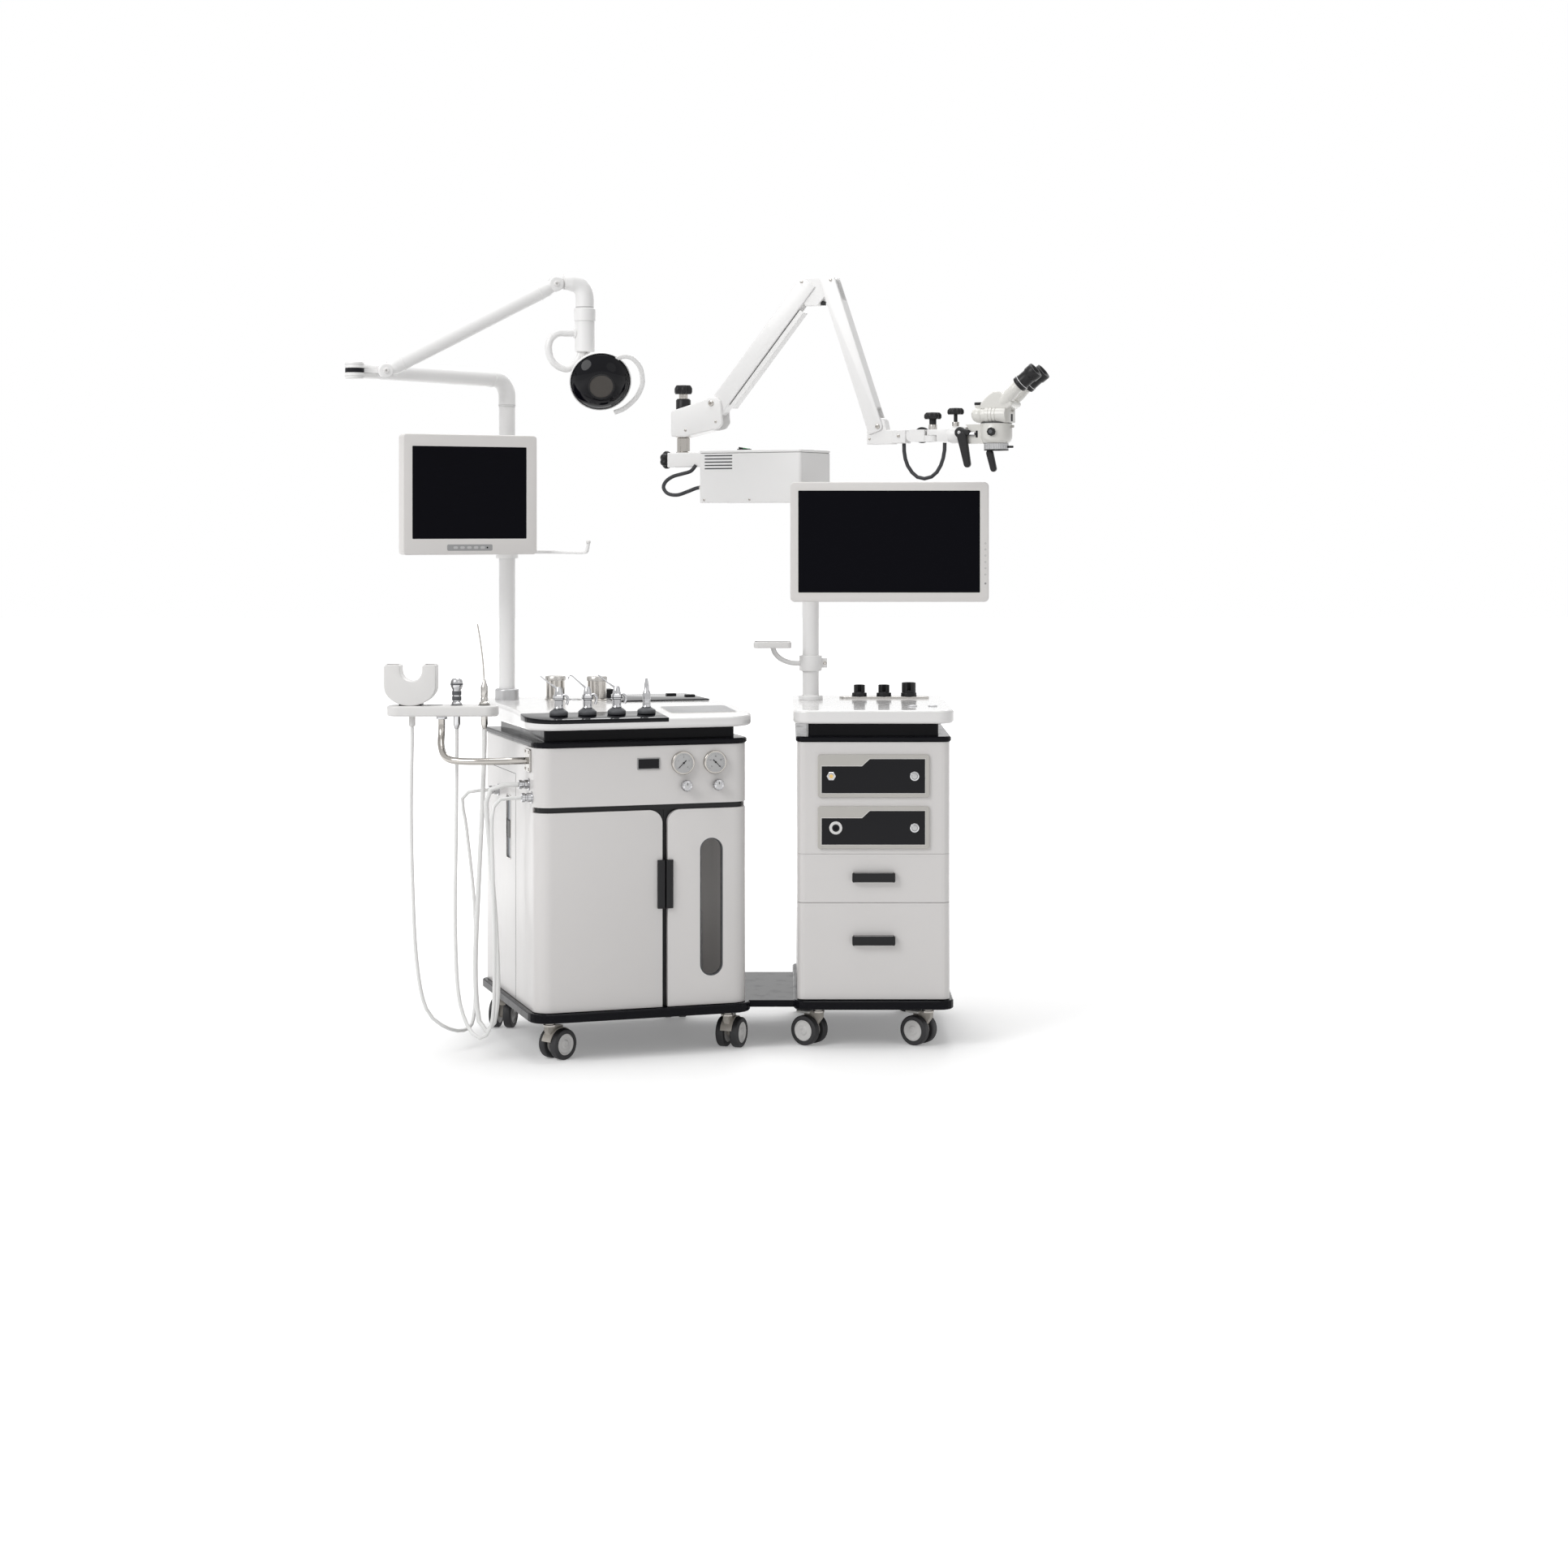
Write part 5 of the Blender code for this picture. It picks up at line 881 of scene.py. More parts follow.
class Bench:
    """Makes pieces in millimetres in one frame and hands each to a body of the solids."""

    def __init__(self, place: Matrix, body: str, slot: str) -> None:
        """Sets where the pieces stand and what they move with.

        Args:
            place: Frame of the pieces.
            body: Body that they move with.
            slot: Node whose surface they belong to; not used.
        """
        self.place = place
        self.body = body
        self.slot = slot

    def add(self, name: str, form: Form, finish: Finish, edge: float = 0.0, segments: int = 3,
            at: Matrix | None = None, stands_for: Sequence[str] = (),
            smooth: float = 38.0) -> bpy.types.Object:
        """Turns a form into a finished piece.

        Args:
            name: Name of the piece.
            form: Its form, in millimetres.
            finish: Its finish.
            edge: Radius of its rounded edges.
            segments: Divisions of a rounded edge.
            at: Where it stands in the bench's frame.
            stands_for: Nodes of the solids that it replaces.
            smooth: Edges flatter than this many degrees are shaded smooth.

        Returns:
            The piece.
        """
        if edge > 0.0:
            bevelled(form, edge, segments)
        moved(form, Matrix.Scale(MM, 4) @ self.place @ (at or Matrix()))
        mesh = mesh_of(form, name)
        mesh.shade_smooth()
        mesh.set_sharp_from_angle(angle=math.radians(smooth))
        mesh.materials.append(finish.material())
        piece = shown(name, mesh)
        if edge > 0.0:
            even = piece.modifiers.new("even_normals", "WEIGHTED_NORMAL")
            even.keep_sharp = True
        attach(piece, self.body)
        if stands_for:
            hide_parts(*stands_for)
        LOG.info("%s on %s, %d faces", name, self.body, len(mesh.polygons))
        return piece

    def screw(self, name: str, at: Matrix, radius: float, finish: Finish = POLISHED) -> bpy.types.Object:
        """Adds a domed screw head with a hex socket.

        Args:
            name: Name of the screw.
            at: Place and direction of its head.
            radius: Radius of its head.
            finish: Its finish.

        Returns:
            The screw.
        """
        high = radius * 0.5
        dome = ([(0, -0.5), (radius, -0.5), (radius, high * 0.4)]
                + arc(radius - high * 0.6, high * 0.4, high * 0.6, 0, 90, 4) + [(0, high)])
        head = lathe(dome, 24)
        socket = lathe([(0, high * 0.2), (radius * 0.42, high * 0.2), (radius * 0.42, 2 * high),
                        (0, 2 * high)], 6)
        return self.add(name, cut(head, socket), finish, at=at)

    def screws(self, name: str, facing: Facing, spots: Sequence[Point], radius: float,
               finish: Finish = POLISHED) -> None:
        """Adds screws that are numbered from 1.

        Args:
            name: Start of their names.
            facing: Way that their heads point.
            spots: Places of their heads.
            radius: Radius of their heads.
            finish: Their finish.
        """
        for number, spot in enumerate(spots, 1):
            self.screw(f"{name}_{number}", facing.at(*spot), radius, finish)

    def vents(self, name: str, count: int, pitch: float, slot: Point, corner: tuple[float, int],
              depth: Pair) -> None:
        """Adds a stack of vent slots, numbered from 1, each a flat dark plate of painted shade.

        Args:
            name: Start of their names.
            count: Number of slots.
            pitch: Rise from one slot to the next.
            slot: Sides of the first one, (x0, x1, z0, z1).
            corner: Radius of its corners and the steps in each.
            depth: Its front and its back.
        """
        left, right, low, high = slot
        radius, steps = corner
        for row in range(count):
            rise = row * pitch
            outline = rounded((left, right, low + rise, high + rise), radius, radius, steps)
            # Each slot is a dark plate: painted shade in place of the vent's opening.
            self.add(f"{name}_{row + 1}", plate(outline, *depth), PAINTED_GAP_SHADE)


def dress(node: str, finish: Finish, edge: float = 0.0) -> None:
    """Gives a node of the solids its finish and softens its edges.

    Args:
        node: Name of the node.
        finish: Its finish.
        edge: Width of its rounded edges, in millimetres.
    """
    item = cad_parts[node]
    item.data.materials.clear()
    item.data.materials.append(finish.material())
    if edge > 0.0:
        weld = item.modifiers.new("weld", "WELD")
        weld.merge_threshold = 0.00001
        soft = item.modifiers.new("soft_edges", "BEVEL")
        soft.width = edge * MM
        soft.segments = 2
        soft.limit_method = "ANGLE"
        soft.angle_limit = math.radians(34)
        soft.harden_normals = True
    LOG.info("%s keeps its solid, in %s", node, finish.name)


@dataclass(frozen=True)
class Layout:
    """Frames of the sub-assemblies, in millimetres, from the place of the scope pole."""

    scope_x: float = 223.0
    pole: Pair = (70.0, 400.0)
    treat: Triple = (-605.0, -203.0, 18.5)
    arm: Triple = (-271.9, 586.8, -24.0)
    lamp: Triple = (-1042.0, -150.0, 18.1)
    light_turn: float = -28.7
    lamp_foot: Pair = (50.0, 505.0)

    def world(self) -> Matrix:
        """Frame of the drawing, found from the scope pole's solid.

        Returns:
            The frame's matrix.
        """
        low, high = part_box("scope_pole")
        middle = [(a + b) / 2 / MM for a, b in zip(low, high)]
        return Matrix.Translation((middle[0] - self.pole[0], middle[1] - self.pole[1], 0.0))

    def turned(self, x: float, y: float, degrees: float = 0.0, z: float = 0.0) -> Matrix:
        """Frame at a place of the drawing, turned about the upright.

        Args:
            x: Place along X.
            y: Place along Y.
            degrees: Turn to the left.
            z: Height.

        Returns:
            The frame's matrix.
        """
        return self.world() @ Matrix.Translation((x, y, z)) @ spin(degrees)

    def lamp_pole(self) -> Matrix:
        """Frame of the lamp pole.

        Returns:
            The frame's matrix.
        """
        return self.turned(*self.treat) @ Matrix.Translation((*self.lamp_foot, 0.0))


def knob(bench: Bench, name: str, radius: float, low: float, high: float, at: Matrix,
         finish: Finish = BLACK_PLASTIC, lobes: int = 6, depth: float = 5.0) -> None:
    """Adds a hand knob with rounded lobes and a sunk round cap.

    Args:
        bench: Bench that makes it.
        name: Name of the knob.
        radius: Reach of its lobes.
        low: Height of its lower face.
        high: Height of its crown.
        at: Place and direction of its axis.
        finish: Its finish.
        lobes: Number of lobes.
        depth: Depth of the hollows between them.
    """
    wide = star(radius, lobes, depth)
    waist = star(radius - 2.5, lobes, depth)
    crown = star(radius - 5.0, lobes, depth * 0.8)
    span = high - low
    levels = [(waist, low), (wide, low + span * 0.22), (wide, low + span * 0.62),
              (waist, high - span * 0.14), (crown, high)]
    form = rings([[(x, y, z) for x, y in outline] for outline, z in levels])
    cap = drum(radius * 0.36, high - 1.0, high + 0.6, 0.5, 32)
    bench.add(name, form, finish, at=at)
    bench.add(name + "_cap", cap, finish, at=at)


@dataclass
class ScopeCabinet:
    """Right-hand cabinet: drawers, connector units, worktop and the cups for endoscopes."""

    layout: Layout
    half: float = 201.0
    top: Pair = (808.3, TOP)
    units: tuple[Pair, ...] = ((625.0, 730.0), (497.0, 601.0))
    sockets: tuple[Pair, ...] = ((-105.8, 10.0), (-94.3, 15.0))
    button_x: float = 101.5
    caps: tuple[Pair, ...] = ((103.0, 140.0), (154.0, 140.0))
    pulls: tuple[tuple[str, float], ...] = (("large_drawer", 269.0), ("small_drawer", 426.0))
    cups: tuple[Quad, ...] = ((-23.0, 15.0, 36.0, 5.0), (42.0, 15.0, 36.0, 5.0), (108.0, 19.0, 42.0, 2.0))
    cup_y: float = 458.0

    def build(self) -> None:
        """Makes every piece of the cabinet."""
        self.frame = self.layout.turned(self.layout.scope_x, 0.0)
        dress("scope_base_plate", BLACK_LAMINATE, 1.5)
        dress("scope_trim", BLACK_LAMINATE, 1.5)
        for node in ("scope_shell", "large_drawer", "small_drawer"):
            dress(node, WHITE_LACQUER, 1.0)
        self.worktop()
        for number, ((low, high), (x, radius)) in enumerate(zip(self.units, self.sockets), 1):
            self.unit(f"unit_{number}", low, high, x, radius)
        for body, z in self.pulls:
            bench = Bench(self.frame, body, body)
            grip = plate(rounded((-53.4, 53.4, z - 12.4, z + 12.4), 4, 4), -1.5, 13.6)
            scoop = plate(rounded((-44.0, 44.0, z - 16.0, z - 4.0), 5, 5), 4.0, 12.0)
            bench.add(body + "_pull", cut(bevelled(grip, 2.4, 4), scoop), BLACK_PLASTIC)

    def worktop(self) -> None:
        """Worktop slab with its button caps, holder plate and notched cups."""
        bench = Bench(self.frame, "cabinets", "scope_worktop")
        outline = rounded((-self.half, self.half, -6.0, 592.0), 42, 15, 12)
        bench.add("scope_top", prism(outline, *self.top), WHITE_GLOSS, 7.0, 6, stands_for=["scope_worktop"])
        holder = prism(rounded((-76, 162, self.cup_y - 20, self.cup_y + 20), 19, 19, 12), TOP - 1.0,
                       TOP + 5.0)
        bench.add("cup_holder_plate", holder, STEEL, 0.8)
        for number, (x, radius, high, flange) in enumerate(self.cups, 1):
            top = TOP + high
            wall = radius - 3.5
            shape = [(0, 846.5), (radius + flange, 846.5)]
            shape += arc(radius + flange - 1.5, 855.5, 1.5, 0, 90, 4)
            shape += [(radius, 857.4), (radius, top - 0.8), (radius - 0.8, top), (wall + 0.8, top),
                      (wall, top - 0.8), (wall, 848.5), (0, 848.5)]
            notch = box(-4.5, 4.5, -40.0, 0.0, top - high / 2, top + 20)
            bench.add(f"scope_cup_{number}", cut(lathe(shape, 64), notch), BLACK_PLASTIC,
                      at=Facing.UP.at(x, self.cup_y, 0))
        for number, (x, y) in enumerate(self.caps, 1):
            spot = Facing.UP.at(x, y, TOP)
            bench.add(f"top_button_{number}", ring(8.6, 12.0, -1.0, 2.6, 0.8), CHROME, at=spot)
            dome = lathe([(0, -1.0), (8.4, -1.0), (8.4, 1.4)] + arc(6.4, 1.4, 2.0, 0, 90, 4)[1:]
                         + [(0, 3.8)])
            bench.add(f"top_button_cap_{number}", dome, SILVER, at=spot)

    def unit(self, name: str, low: float, high: float, socket_x: float, radius: float) -> None:
        """One connector unit: its frame, black panel, socket and button.

        Args:
            name: Start of its pieces' names.
            low: Height of its lower edge.
            high: Height of its upper edge.
            socket_x: Place of the socket.
            radius: Radius of the socket.
        """
        bench = Bench(self.frame, "cabinets", "scope_shell")
        bezel = plate(rounded((-138.8, 138.8, low - 0.8, high + 0.8), 6, 6), 8.0, 14.6)
        bench.add(name + "_frame", bezel, FRAME_BEIGE, 1.6)
        left, right, under, over = -129.5, 127.7, low + 10, high - 10
        step = high - 28
        outline = [(left, under), (right, under), (right, over), (-9.6, over), (-29.0, step), (left, step)]
        grown = [(left - 1.6, under - 1.6), (right + 1.6, under - 1.6), (right + 1.6, over + 1.6),
                 (-10.3, over + 1.6), (-29.7, step + 1.6), (left - 1.6, step + 1.6)]
        bench.add(name + "_rim", plate(grown, 7.5, 9.0), PALE_RIM, 0.4)
        bench.add(name + "_panel", plate(outline, 7.0, 9.0), BLACK_GLASS, 0.4)
        middle = (low + high) / 2
        spot = Facing.FRONT.at(socket_x, 7.2, middle)
        if radius < 12:
            bench.add(name + "_nut",
                      lathe([(4.5, 0), (radius + 1.8, 0), (radius + 1.8, 2.6), (radius + 0.8, 3.4),
                             (4.5, 3.4)], 6, closed=True), CHROME, at=spot)
            bench.add(name + "_sleeve", ring(4.6, 7.6, 0.0, 6.0, 0.5), POLISHED, at=spot)
            bench.add(name + "_core",
                      lathe([(0, 0), (4.7, 0), (4.7, 4.2), (2.2, 4.2), (1.8, 2.6), (0, 2.6)], 32), GOLD,
                      at=spot)
        else:
            bench.add(name + "_nut", ring(9.0, radius + 1.2, 0.0, 4.4, 1.2), WHITE_PLASTIC, at=spot)
            bench.add(name + "_sleeve", ring(6.0, 9.2, 0.0, 5.6, 0.6), BLACK_PLASTIC, at=spot)
            bench.add(name + "_core", drum(6.1, 0.0, 2.2, 0.3), INK_AND_SLOT_SHADE, at=spot)
        spot = Facing.FRONT.at(self.button_x, 7.2, middle)
        bench.add(name + "_button_ring", ring(8.2, 11.6, 0.0, 5.0, 1.0), CHROME, at=spot)
        dome = lathe([(0, 0), (8.0, 0), (8.0, 3.0)] + arc(5.6, 3.0, 2.4, 0, 90, 5)[1:] + [(0, 5.8)])
        bench.add(name + "_button", dome, SILVER, at=spot)


@dataclass
class PoleGear:
    """Scope pole with its small tray and the doctor's screen."""

    layout: Layout
    radius: float = 22.0
    panel: Triple = (202.0, -150.0, 1258.0)
    half: Pair = (256.0, 154.5)
    screen: Quad = (-235.3, 233.0, -130.5, 132.5)

    def build(self) -> None:
        """Makes the pole and all it carries below the light box."""
        self.frame = self.layout.turned(*self.layout.pole)
        bench = Bench(self.frame, "cabinets", "scope_pole")
        shape = [(0, 842.3), (32, 842.3), (32, 850.3)] + arc(28, 850.3, 4.0, 0, 90, 5)
        shape += [(23.5, 854.3), (22.0, 856.0), (22.0, 1359.7), (0, 1359.7)]
        bench.add("scope_mast", lathe(shape, 64), WHITE_COAT, stands_for=["scope_pole"])
        corners = arc(0, 0, 27.4, 45, 315, 3)
        bench.screws("mast_foot_screw", Facing.UP, [(x, y, 853.9) for x, y in corners], 2.4)
        self.tray()
        self.monitor()

    def tray(self) -> None:
        """Small round-cornered tray on a bent rod."""
        bench = Bench(self.frame, "tray_arm", "tray_arm")
        clamp = fused(ring(self.radius + GAP, 30.0, 918.0, 959.0, 2.0, 64),
                      box(24, 44, -6, 6, 926.5, 950.5))
        bench.add("tray_clamp", bevelled(clamp, 1.2, 2), WHITE_COAT, stands_for=["tray_arm"])
        # The slit in the clamp is a dark plate: painted shade inside the gap.
        bench.add("tray_clamp_seam", box(29.4, 44.2, -0.5, 0.5, 926.0, 951.0), PAINTED_GAP_SHADE)
        bench.screw("tray_clamp_screw", Facing.FRONT.at(37.5, -6.0, 938.5), 4.4)
        points = smooth_route(((-24, -6, 938), (-52, -12, 940), (-78, -18, 950), (-94, -22, 966),
                               (-100, -24, 984)), 6)
        bench.add("tray_rod", tube(points, 7.0, 24), WHITE_COAT)
        outer = prism(rounded((-150, -50, -66, 18), 12, 12, 10), 980.0, 996.0)
        inner = prism(rounded((-146.5, -53.5, -62.5, 14.5), 9, 9, 10), 983.5, 999.0)
        bench.add("tray_dish", cut(bevelled(outer, 1.6, 3), inner), WHITE_PLASTIC)
        bench.add("tray_mat", prism(rounded((-146, -54, -62, 14), 8.5, 8.5, 10), 983.0, 984.6), GREY_PANEL,
                  0.5)

    def monitor(self) -> None:
        """Flat screen in a warm white frame, on its arm round the pole."""
        bench = Bench(self.frame, "doctor_monitor", "doctor_monitor")
        cx, front, cz = self.panel
        wide, high = self.half
        left, right, low, top = self.screen
        outline = rounded((cx - wide, cx + wide, cz - high, cz + high), 12, 12, 10)
        body = bevelled(plate(outline, front + 0.4, front + 30.0), 3.0, 4)
        hole = plate(rounded((cx + left, cx + right, cz + low, cz + top), 2, 2, 4), front - 4.0,
                     front + 3.2)
        bench.add("doctor_screen_frame", cut(body, hole), WARM_BEZEL, stands_for=["doctor_monitor"])
        bench.add("doctor_screen_lip", self.lip(cx, cz, front), PALE_RIM)
        glass = plate(rounded((cx + left, cx + right, cz + low, cz + top), 2, 2, 4), front + 1.6,
                      front + 3.6)
        bench.add("doctor_screen_panel", glass, SCREEN)
        for number, z in enumerate((-3.7, -19.3, -35.0, -51.7, -67.4, -84.0, -107.0)):
            mark = ring(1.5, 2.2, 0.0, 0.25, 0.05, 24) if number < 6 else drum(2.6, 0.0, 0.3, 0.1, 24)
            bench.add(f"doctor_screen_key_{number + 1}", mark, GREY_MARK,
                      at=Facing.FRONT.at(cx + 247.0, front + 0.5, cz + z))
        back = plate(rounded((cx - 165, cx + 165, cz - 100, cz + 100), 14, 14), front + 29.0, front + 44.0)
        bench.add("doctor_screen_boss", back, WARM_BEZEL, 3.0)
        slot = (cx - 120, cx + 120, cz + 44, cz + 46.4)
        bench.vents("doctor_screen_vent", 9, 5.5, slot, (1.1, 3), (front + 43.6, front + 44.3))
        arm = fused(box(10, cx + 23, -11, 11, cz - 23, cz + 23),
                    box(cx - 23, cx + 23, front + 42, 8, cz - 20, cz + 20))
        bench.add("doctor_screen_arm", bevelled(arm, 3.0, 3), WHITE_COAT)
        bench.add("doctor_screen_ring", ring(self.radius + GAP, 30.0, cz - 26, cz + 26, 2.0, 64),
                  WHITE_COAT)
        bench.screws("doctor_arm_screw", Facing.BACK, [(60, 11, cz - 14), (60, 11, cz + 14)], 4.4)

    def lip(self, cx: float, cz: float, front: float) -> Form:
        """Thin frame that stands round the screen.

        Args:
            cx: Middle of the screen along X.
            cz: Middle of the screen in height.
            front: Its front face.

        Returns:
            The form.
        """
        left, right, low, top = self.screen
        outer = plate(rounded((cx + left - 2.2, cx + right + 2.2, cz + low - 2.2, cz + top + 2.2), 3, 3, 4),
                      front + 0.1, front + 2.6)
        inner = plate(rounded((cx + left, cx + right, cz + low, cz + top), 2, 2, 4), front - 3.0,
                      front + 6.0)
        return cut(outer, inner)


@dataclass
class LightBox:
    """Cold-light box on the pole's top, with the bracket that carries the microscope arm."""

    layout: Layout
    case: Quad = (-285.0, 24.0, -98.0, 72.0)
    levels: Pair = (1360.0, 1499.0)
    lid: float = 1491.0

    def build(self) -> None:
        """Makes the box, its vents and rocker, the bracket and the cable loop."""
        frame_here = self.layout.turned(*self.layout.pole, self.layout.light_turn)
        bench = Bench(frame_here, "light_box", "light_box")
        x0, x1, y0, y1 = self.case
        low, high = self.levels
        body = prism(rounded((x0 + 0.8, x1 - 0.8, y0 + 0.8, y1 - 0.8), 9, 9), low, self.lid)
        bench.add("light_case", body, WHITE_COAT, 2.2, 4, stands_for=["light_box"])
        # Dark band between case and lid: painted shade in the groove where they meet.
        bench.add("light_case_seam", prism(rounded((x0 + 3, x1 - 3, y0 + 3, y1 - 3), 8, 8), self.lid - 1.5,
                                           self.lid + 1.6), PAINTED_GAP_SHADE)
        bench.add("light_lid", prism(rounded(self.case, 10, 10), self.lid + 0.8, high + 0.2), WHITE_COAT,
                  2.6, 4)
        bench.add("light_bracket", prism(rounded((-424, x0 + 6, -34, 34), 10, 10), 1457, high - 3.0),
                  WHITE_COAT, 3.0, 4)
        post = [(0, 1493), (20, 1493), (20, 1498), (17.5, 1500), (17.5, 1535.4), (15.9, 1537), (0, 1537)]
        bench.add("arm_post", lathe(post, 48), POLISHED, at=Facing.UP.at(-389.5, 0, 0))
        spot = Facing.LEFT.at(-422, 0, 1478)
        bench.add("bracket_knob_neck", lathe([(0, 0), (11, 0), (11, 3), (7, 5), (7, 13), (0, 13)], 32),
                  STEEL, at=spot)
        knob(bench, "bracket_knob", 24.0, 12.0, 30.5, spot)
        bench.add("rocker_frame", prism(rounded((-178, -146, -80, -56), 2, 2), high - 1, high + 3.4),
                  BLACK_PLASTIC, 0.8)
        tilt = Matrix.Translation((-162, -68, high + 4.0)) @ spin(9, "Y")
        bench.add("rocker", box(-12.5, 0.0, -9.5, 9.5, -2.0, 2.6), BLACK_PLASTIC, 0.8, at=tilt)
        bench.add("rocker_lamp", box(0.4, 12.5, -9.5, 9.5, -2.0, 2.6), GREEN, 0.8, at=tilt)
        bench.vents("light_vent", 5, -8.5, (-266, -182, 1483, 1486.2), (1.5, 4), (y0 + 0.3, y0 + 1.4))
        for number, x in enumerate((-268, -130, 8), 1):
            bench.screw(f"light_case_screw_{number}", Facing.FRONT.at(x, y0 + 0.8, 1368), 3.2)
            bench.screw(f"light_back_screw_{number}", Facing.BACK.at(x, y1 - 0.8, 1368), 3.2)
        bench.vents("light_back_vent", 10, 9, (-120, -20, 1390, 1394), (1.8, 4), (y1 - 1.4, y1 - 0.4))
        self.plug(bench)

    def plug(self, bench: Bench) -> None:
        """Plug in the left end and the cable that loops up to the bracket.

        Args:
            bench: Bench that makes it.
        """
        spot = Facing.LEFT.at(-285, -52, 1402)
        bench.add("plug_ring", ring(7.0, 12.0, -1.0, 3.2, 0.8), CHROME, at=spot)
        bench.add("plug", lathe([(0, 0), (9, 0), (9, 10), (8, 12), (8, 19), (6, 22), (0, 22)], 32),
                  POLISHED, at=spot)
        route = ((-300, 1402), (-318, 1400), (-345, 1391), (-378, 1382), (-407, 1386), (-421, 1402),
                 (-416, 1419), (-396, 1432), (-368, 1439), (-343, 1446), (-330, 1462))
        points = [(x, -52.0 + 29.0 * max(0.0, z - 1402.0) / 60.0 * 0.6, z) for x, z in route]
        bench.add("plug_cable", tube(smooth_route(points, 6.0), 5.0, 20), BLACK_SHEATH)


@dataclass
class MicroscopeArm:
    """Balanced arm: casting, two beams, apex link and the bracket at its end."""

    layout: Layout
    pivots: tuple[Pair, ...] = ((96.2, 1627.6), (357.2, 1944.2), (440.5, 1945.9), (573.5, 1558.7))
    beam_half: float = 20.0
    cheek: float = 28.0
    tongue: float = 15.0

    def build(self) -> None:
        """Makes the arm's five castings and their fittings."""
        self.frame = self.layout.turned(*self.layout.arm)
        self.base()
        a, b, c, d = (Vector(p) for p in self.pivots)
        long = (b - a).length
        outline = ([(-10, -39), (12.5 + long, -39)] + arc(long + 2, 0, 10.5, 0, 90)
                   + arc(0.5, 0, 10.5, 90, 180))
        self.beam("microscope_lower_arm", a, b, outline, ((long - 62, long + 60),))
        self.strip()
        self.link()
        long = (d - c).length
        outline = arc(long, 0, 12.4, 0, 90) + [(-4.3, 12), (-19.1, -31), (long + 12.4, -31)]
        self.beam("microscope_upper_arm", c, d, outline, ((-60, 60), (long - 50, long + 60)))
        self.end()

    def bolts(self, bench: Bench, name: str, x: float, z: float, side: float, radius: float = 7.0) -> None:
        """Pivot bolt heads on both faces of a casting.

        Args:
            bench: Bench that makes them.
            name: Start of their names.
            x: Place along X.
            z: Height.
            side: Half of the casting's thickness.
            radius: Radius of the heads.
        """
        for label, facing, y in (("front", Facing.FRONT, -side), ("back", Facing.BACK, side)):
            bench.screw(f"{name}_{label}", facing.at(x, y, z), radius)

    def slot_tools(self, x: float, z: float, radius: float) -> Form:
        """Round tool that clears the eye of a beam.

        Args:
            x: Place along X.
            z: Height.
            radius: Radius of the eye.

        Returns:
            The form.
        """
        inner = self.beam_half + GAP
        return across(radius + 1.5, -inner, inner, x, z, 0, 64)

    def base(self) -> None:
        """Casting that stands on the post, with its clamp knob."""
        bench = Bench(self.frame, "microscope_arm_base", "microscope_arm_base")
        ax, az = self.pivots[0]
        outline = [(-25, 1540), (14, 1538), (118, 1560), (129, 1574), (124, 1632), (108, 1646), (92, 1646),
                   (34, 1625), (-25, 1609)]
        inner = self.beam_half + GAP
        solid = bevelled(plate(outline, -self.cheek, self.cheek), 4.5, 4, 20)
        solid = cut(solid, self.slot_tools(ax, az, 25.0), box(ax, REACH, -inner, inner, -REACH, REACH),
                    box(ax - 25, REACH, -inner, inner, az, REACH))
        bench.add("arm_casting", solid, WHITE_COAT, stands_for=["microscope_arm_base"])
        bench.add("arm_casting_foot", drum(20.5, 1537.3, 1545.0, 1.2), POLISHED)
        bench.add("arm_clamp_nut", lathe([(0, 1606), (20, 1606), (20, 1638), (17, 1642), (0, 1642)], 48),
                  BLACK_PLASTIC)
        bench.add("arm_clamp_stem", drum(12.0, 1640.0, 1658.0, 0.6), POLISHED)
        knob(bench, "arm_clamp_knob", 25.5, 1655.0, 1678.4, Matrix())
        self.bolts(bench, "arm_base_bolt", ax, az, self.cheek, 8.0)
        spots = [(x, -self.cheek, z) for x, z in ((110, 1577.6), (20, 1556))]
        bench.screws("arm_base_screw", Facing.FRONT, spots, 3.6)
        bench.add("arm_base_pin", across(6, -26, 26, ax, az, 0.3), POLISHED)

    def beam(self, body: str, start: Vector, end: Vector, outline: Outline, slots: Sequence[Pair]) -> None:
        """Flat-sided beam with forked ends.

        Args:
            body: Body and node that it stands for.
            start: Its first pivot.
            end: Its other pivot.
            outline: (along, aside) points, measured from the first pivot on the line to the other.
            slots: Spans along the line where the fork is open.
        """
        bench = Bench(self.frame, body, body)
        along = (end - start).normalized()
        side = Vector((-along.y, along.x))

        def laid(points: Outline) -> Outline:
            """Lays points given along the beam into the arm's plane.

            Args:
                points: (along, aside) points.

            Returns:
                The same points as (x, z) in the arm's plane.
            """
            return [tuple(start + along * a + side * s) for a, s in points]

        form = bevelled(plate(laid(outline), -self.beam_half, self.beam_half), 2.2, 3, 25)
        gap = self.tongue + GAP
        tools = [plate(laid([(lo, -90), (hi, -90), (hi, 90), (lo, 90)]), -gap, gap) for lo, hi in slots]
        bench.add(body + "_beam", cut(form, *tools), WHITE_COAT, stands_for=[body])

    def strip(self) -> None:
        """Flat guide strip that runs beside the lower beam."""
        bench = Bench(self.frame, "microscope_lower_arm", "microscope_lower_arm")
        (ax, az), (bx, bz) = self.pivots[:2]
        way = Vector((bx - ax, bz - az)).normalized()
        side = Vector((way.y, -way.x))
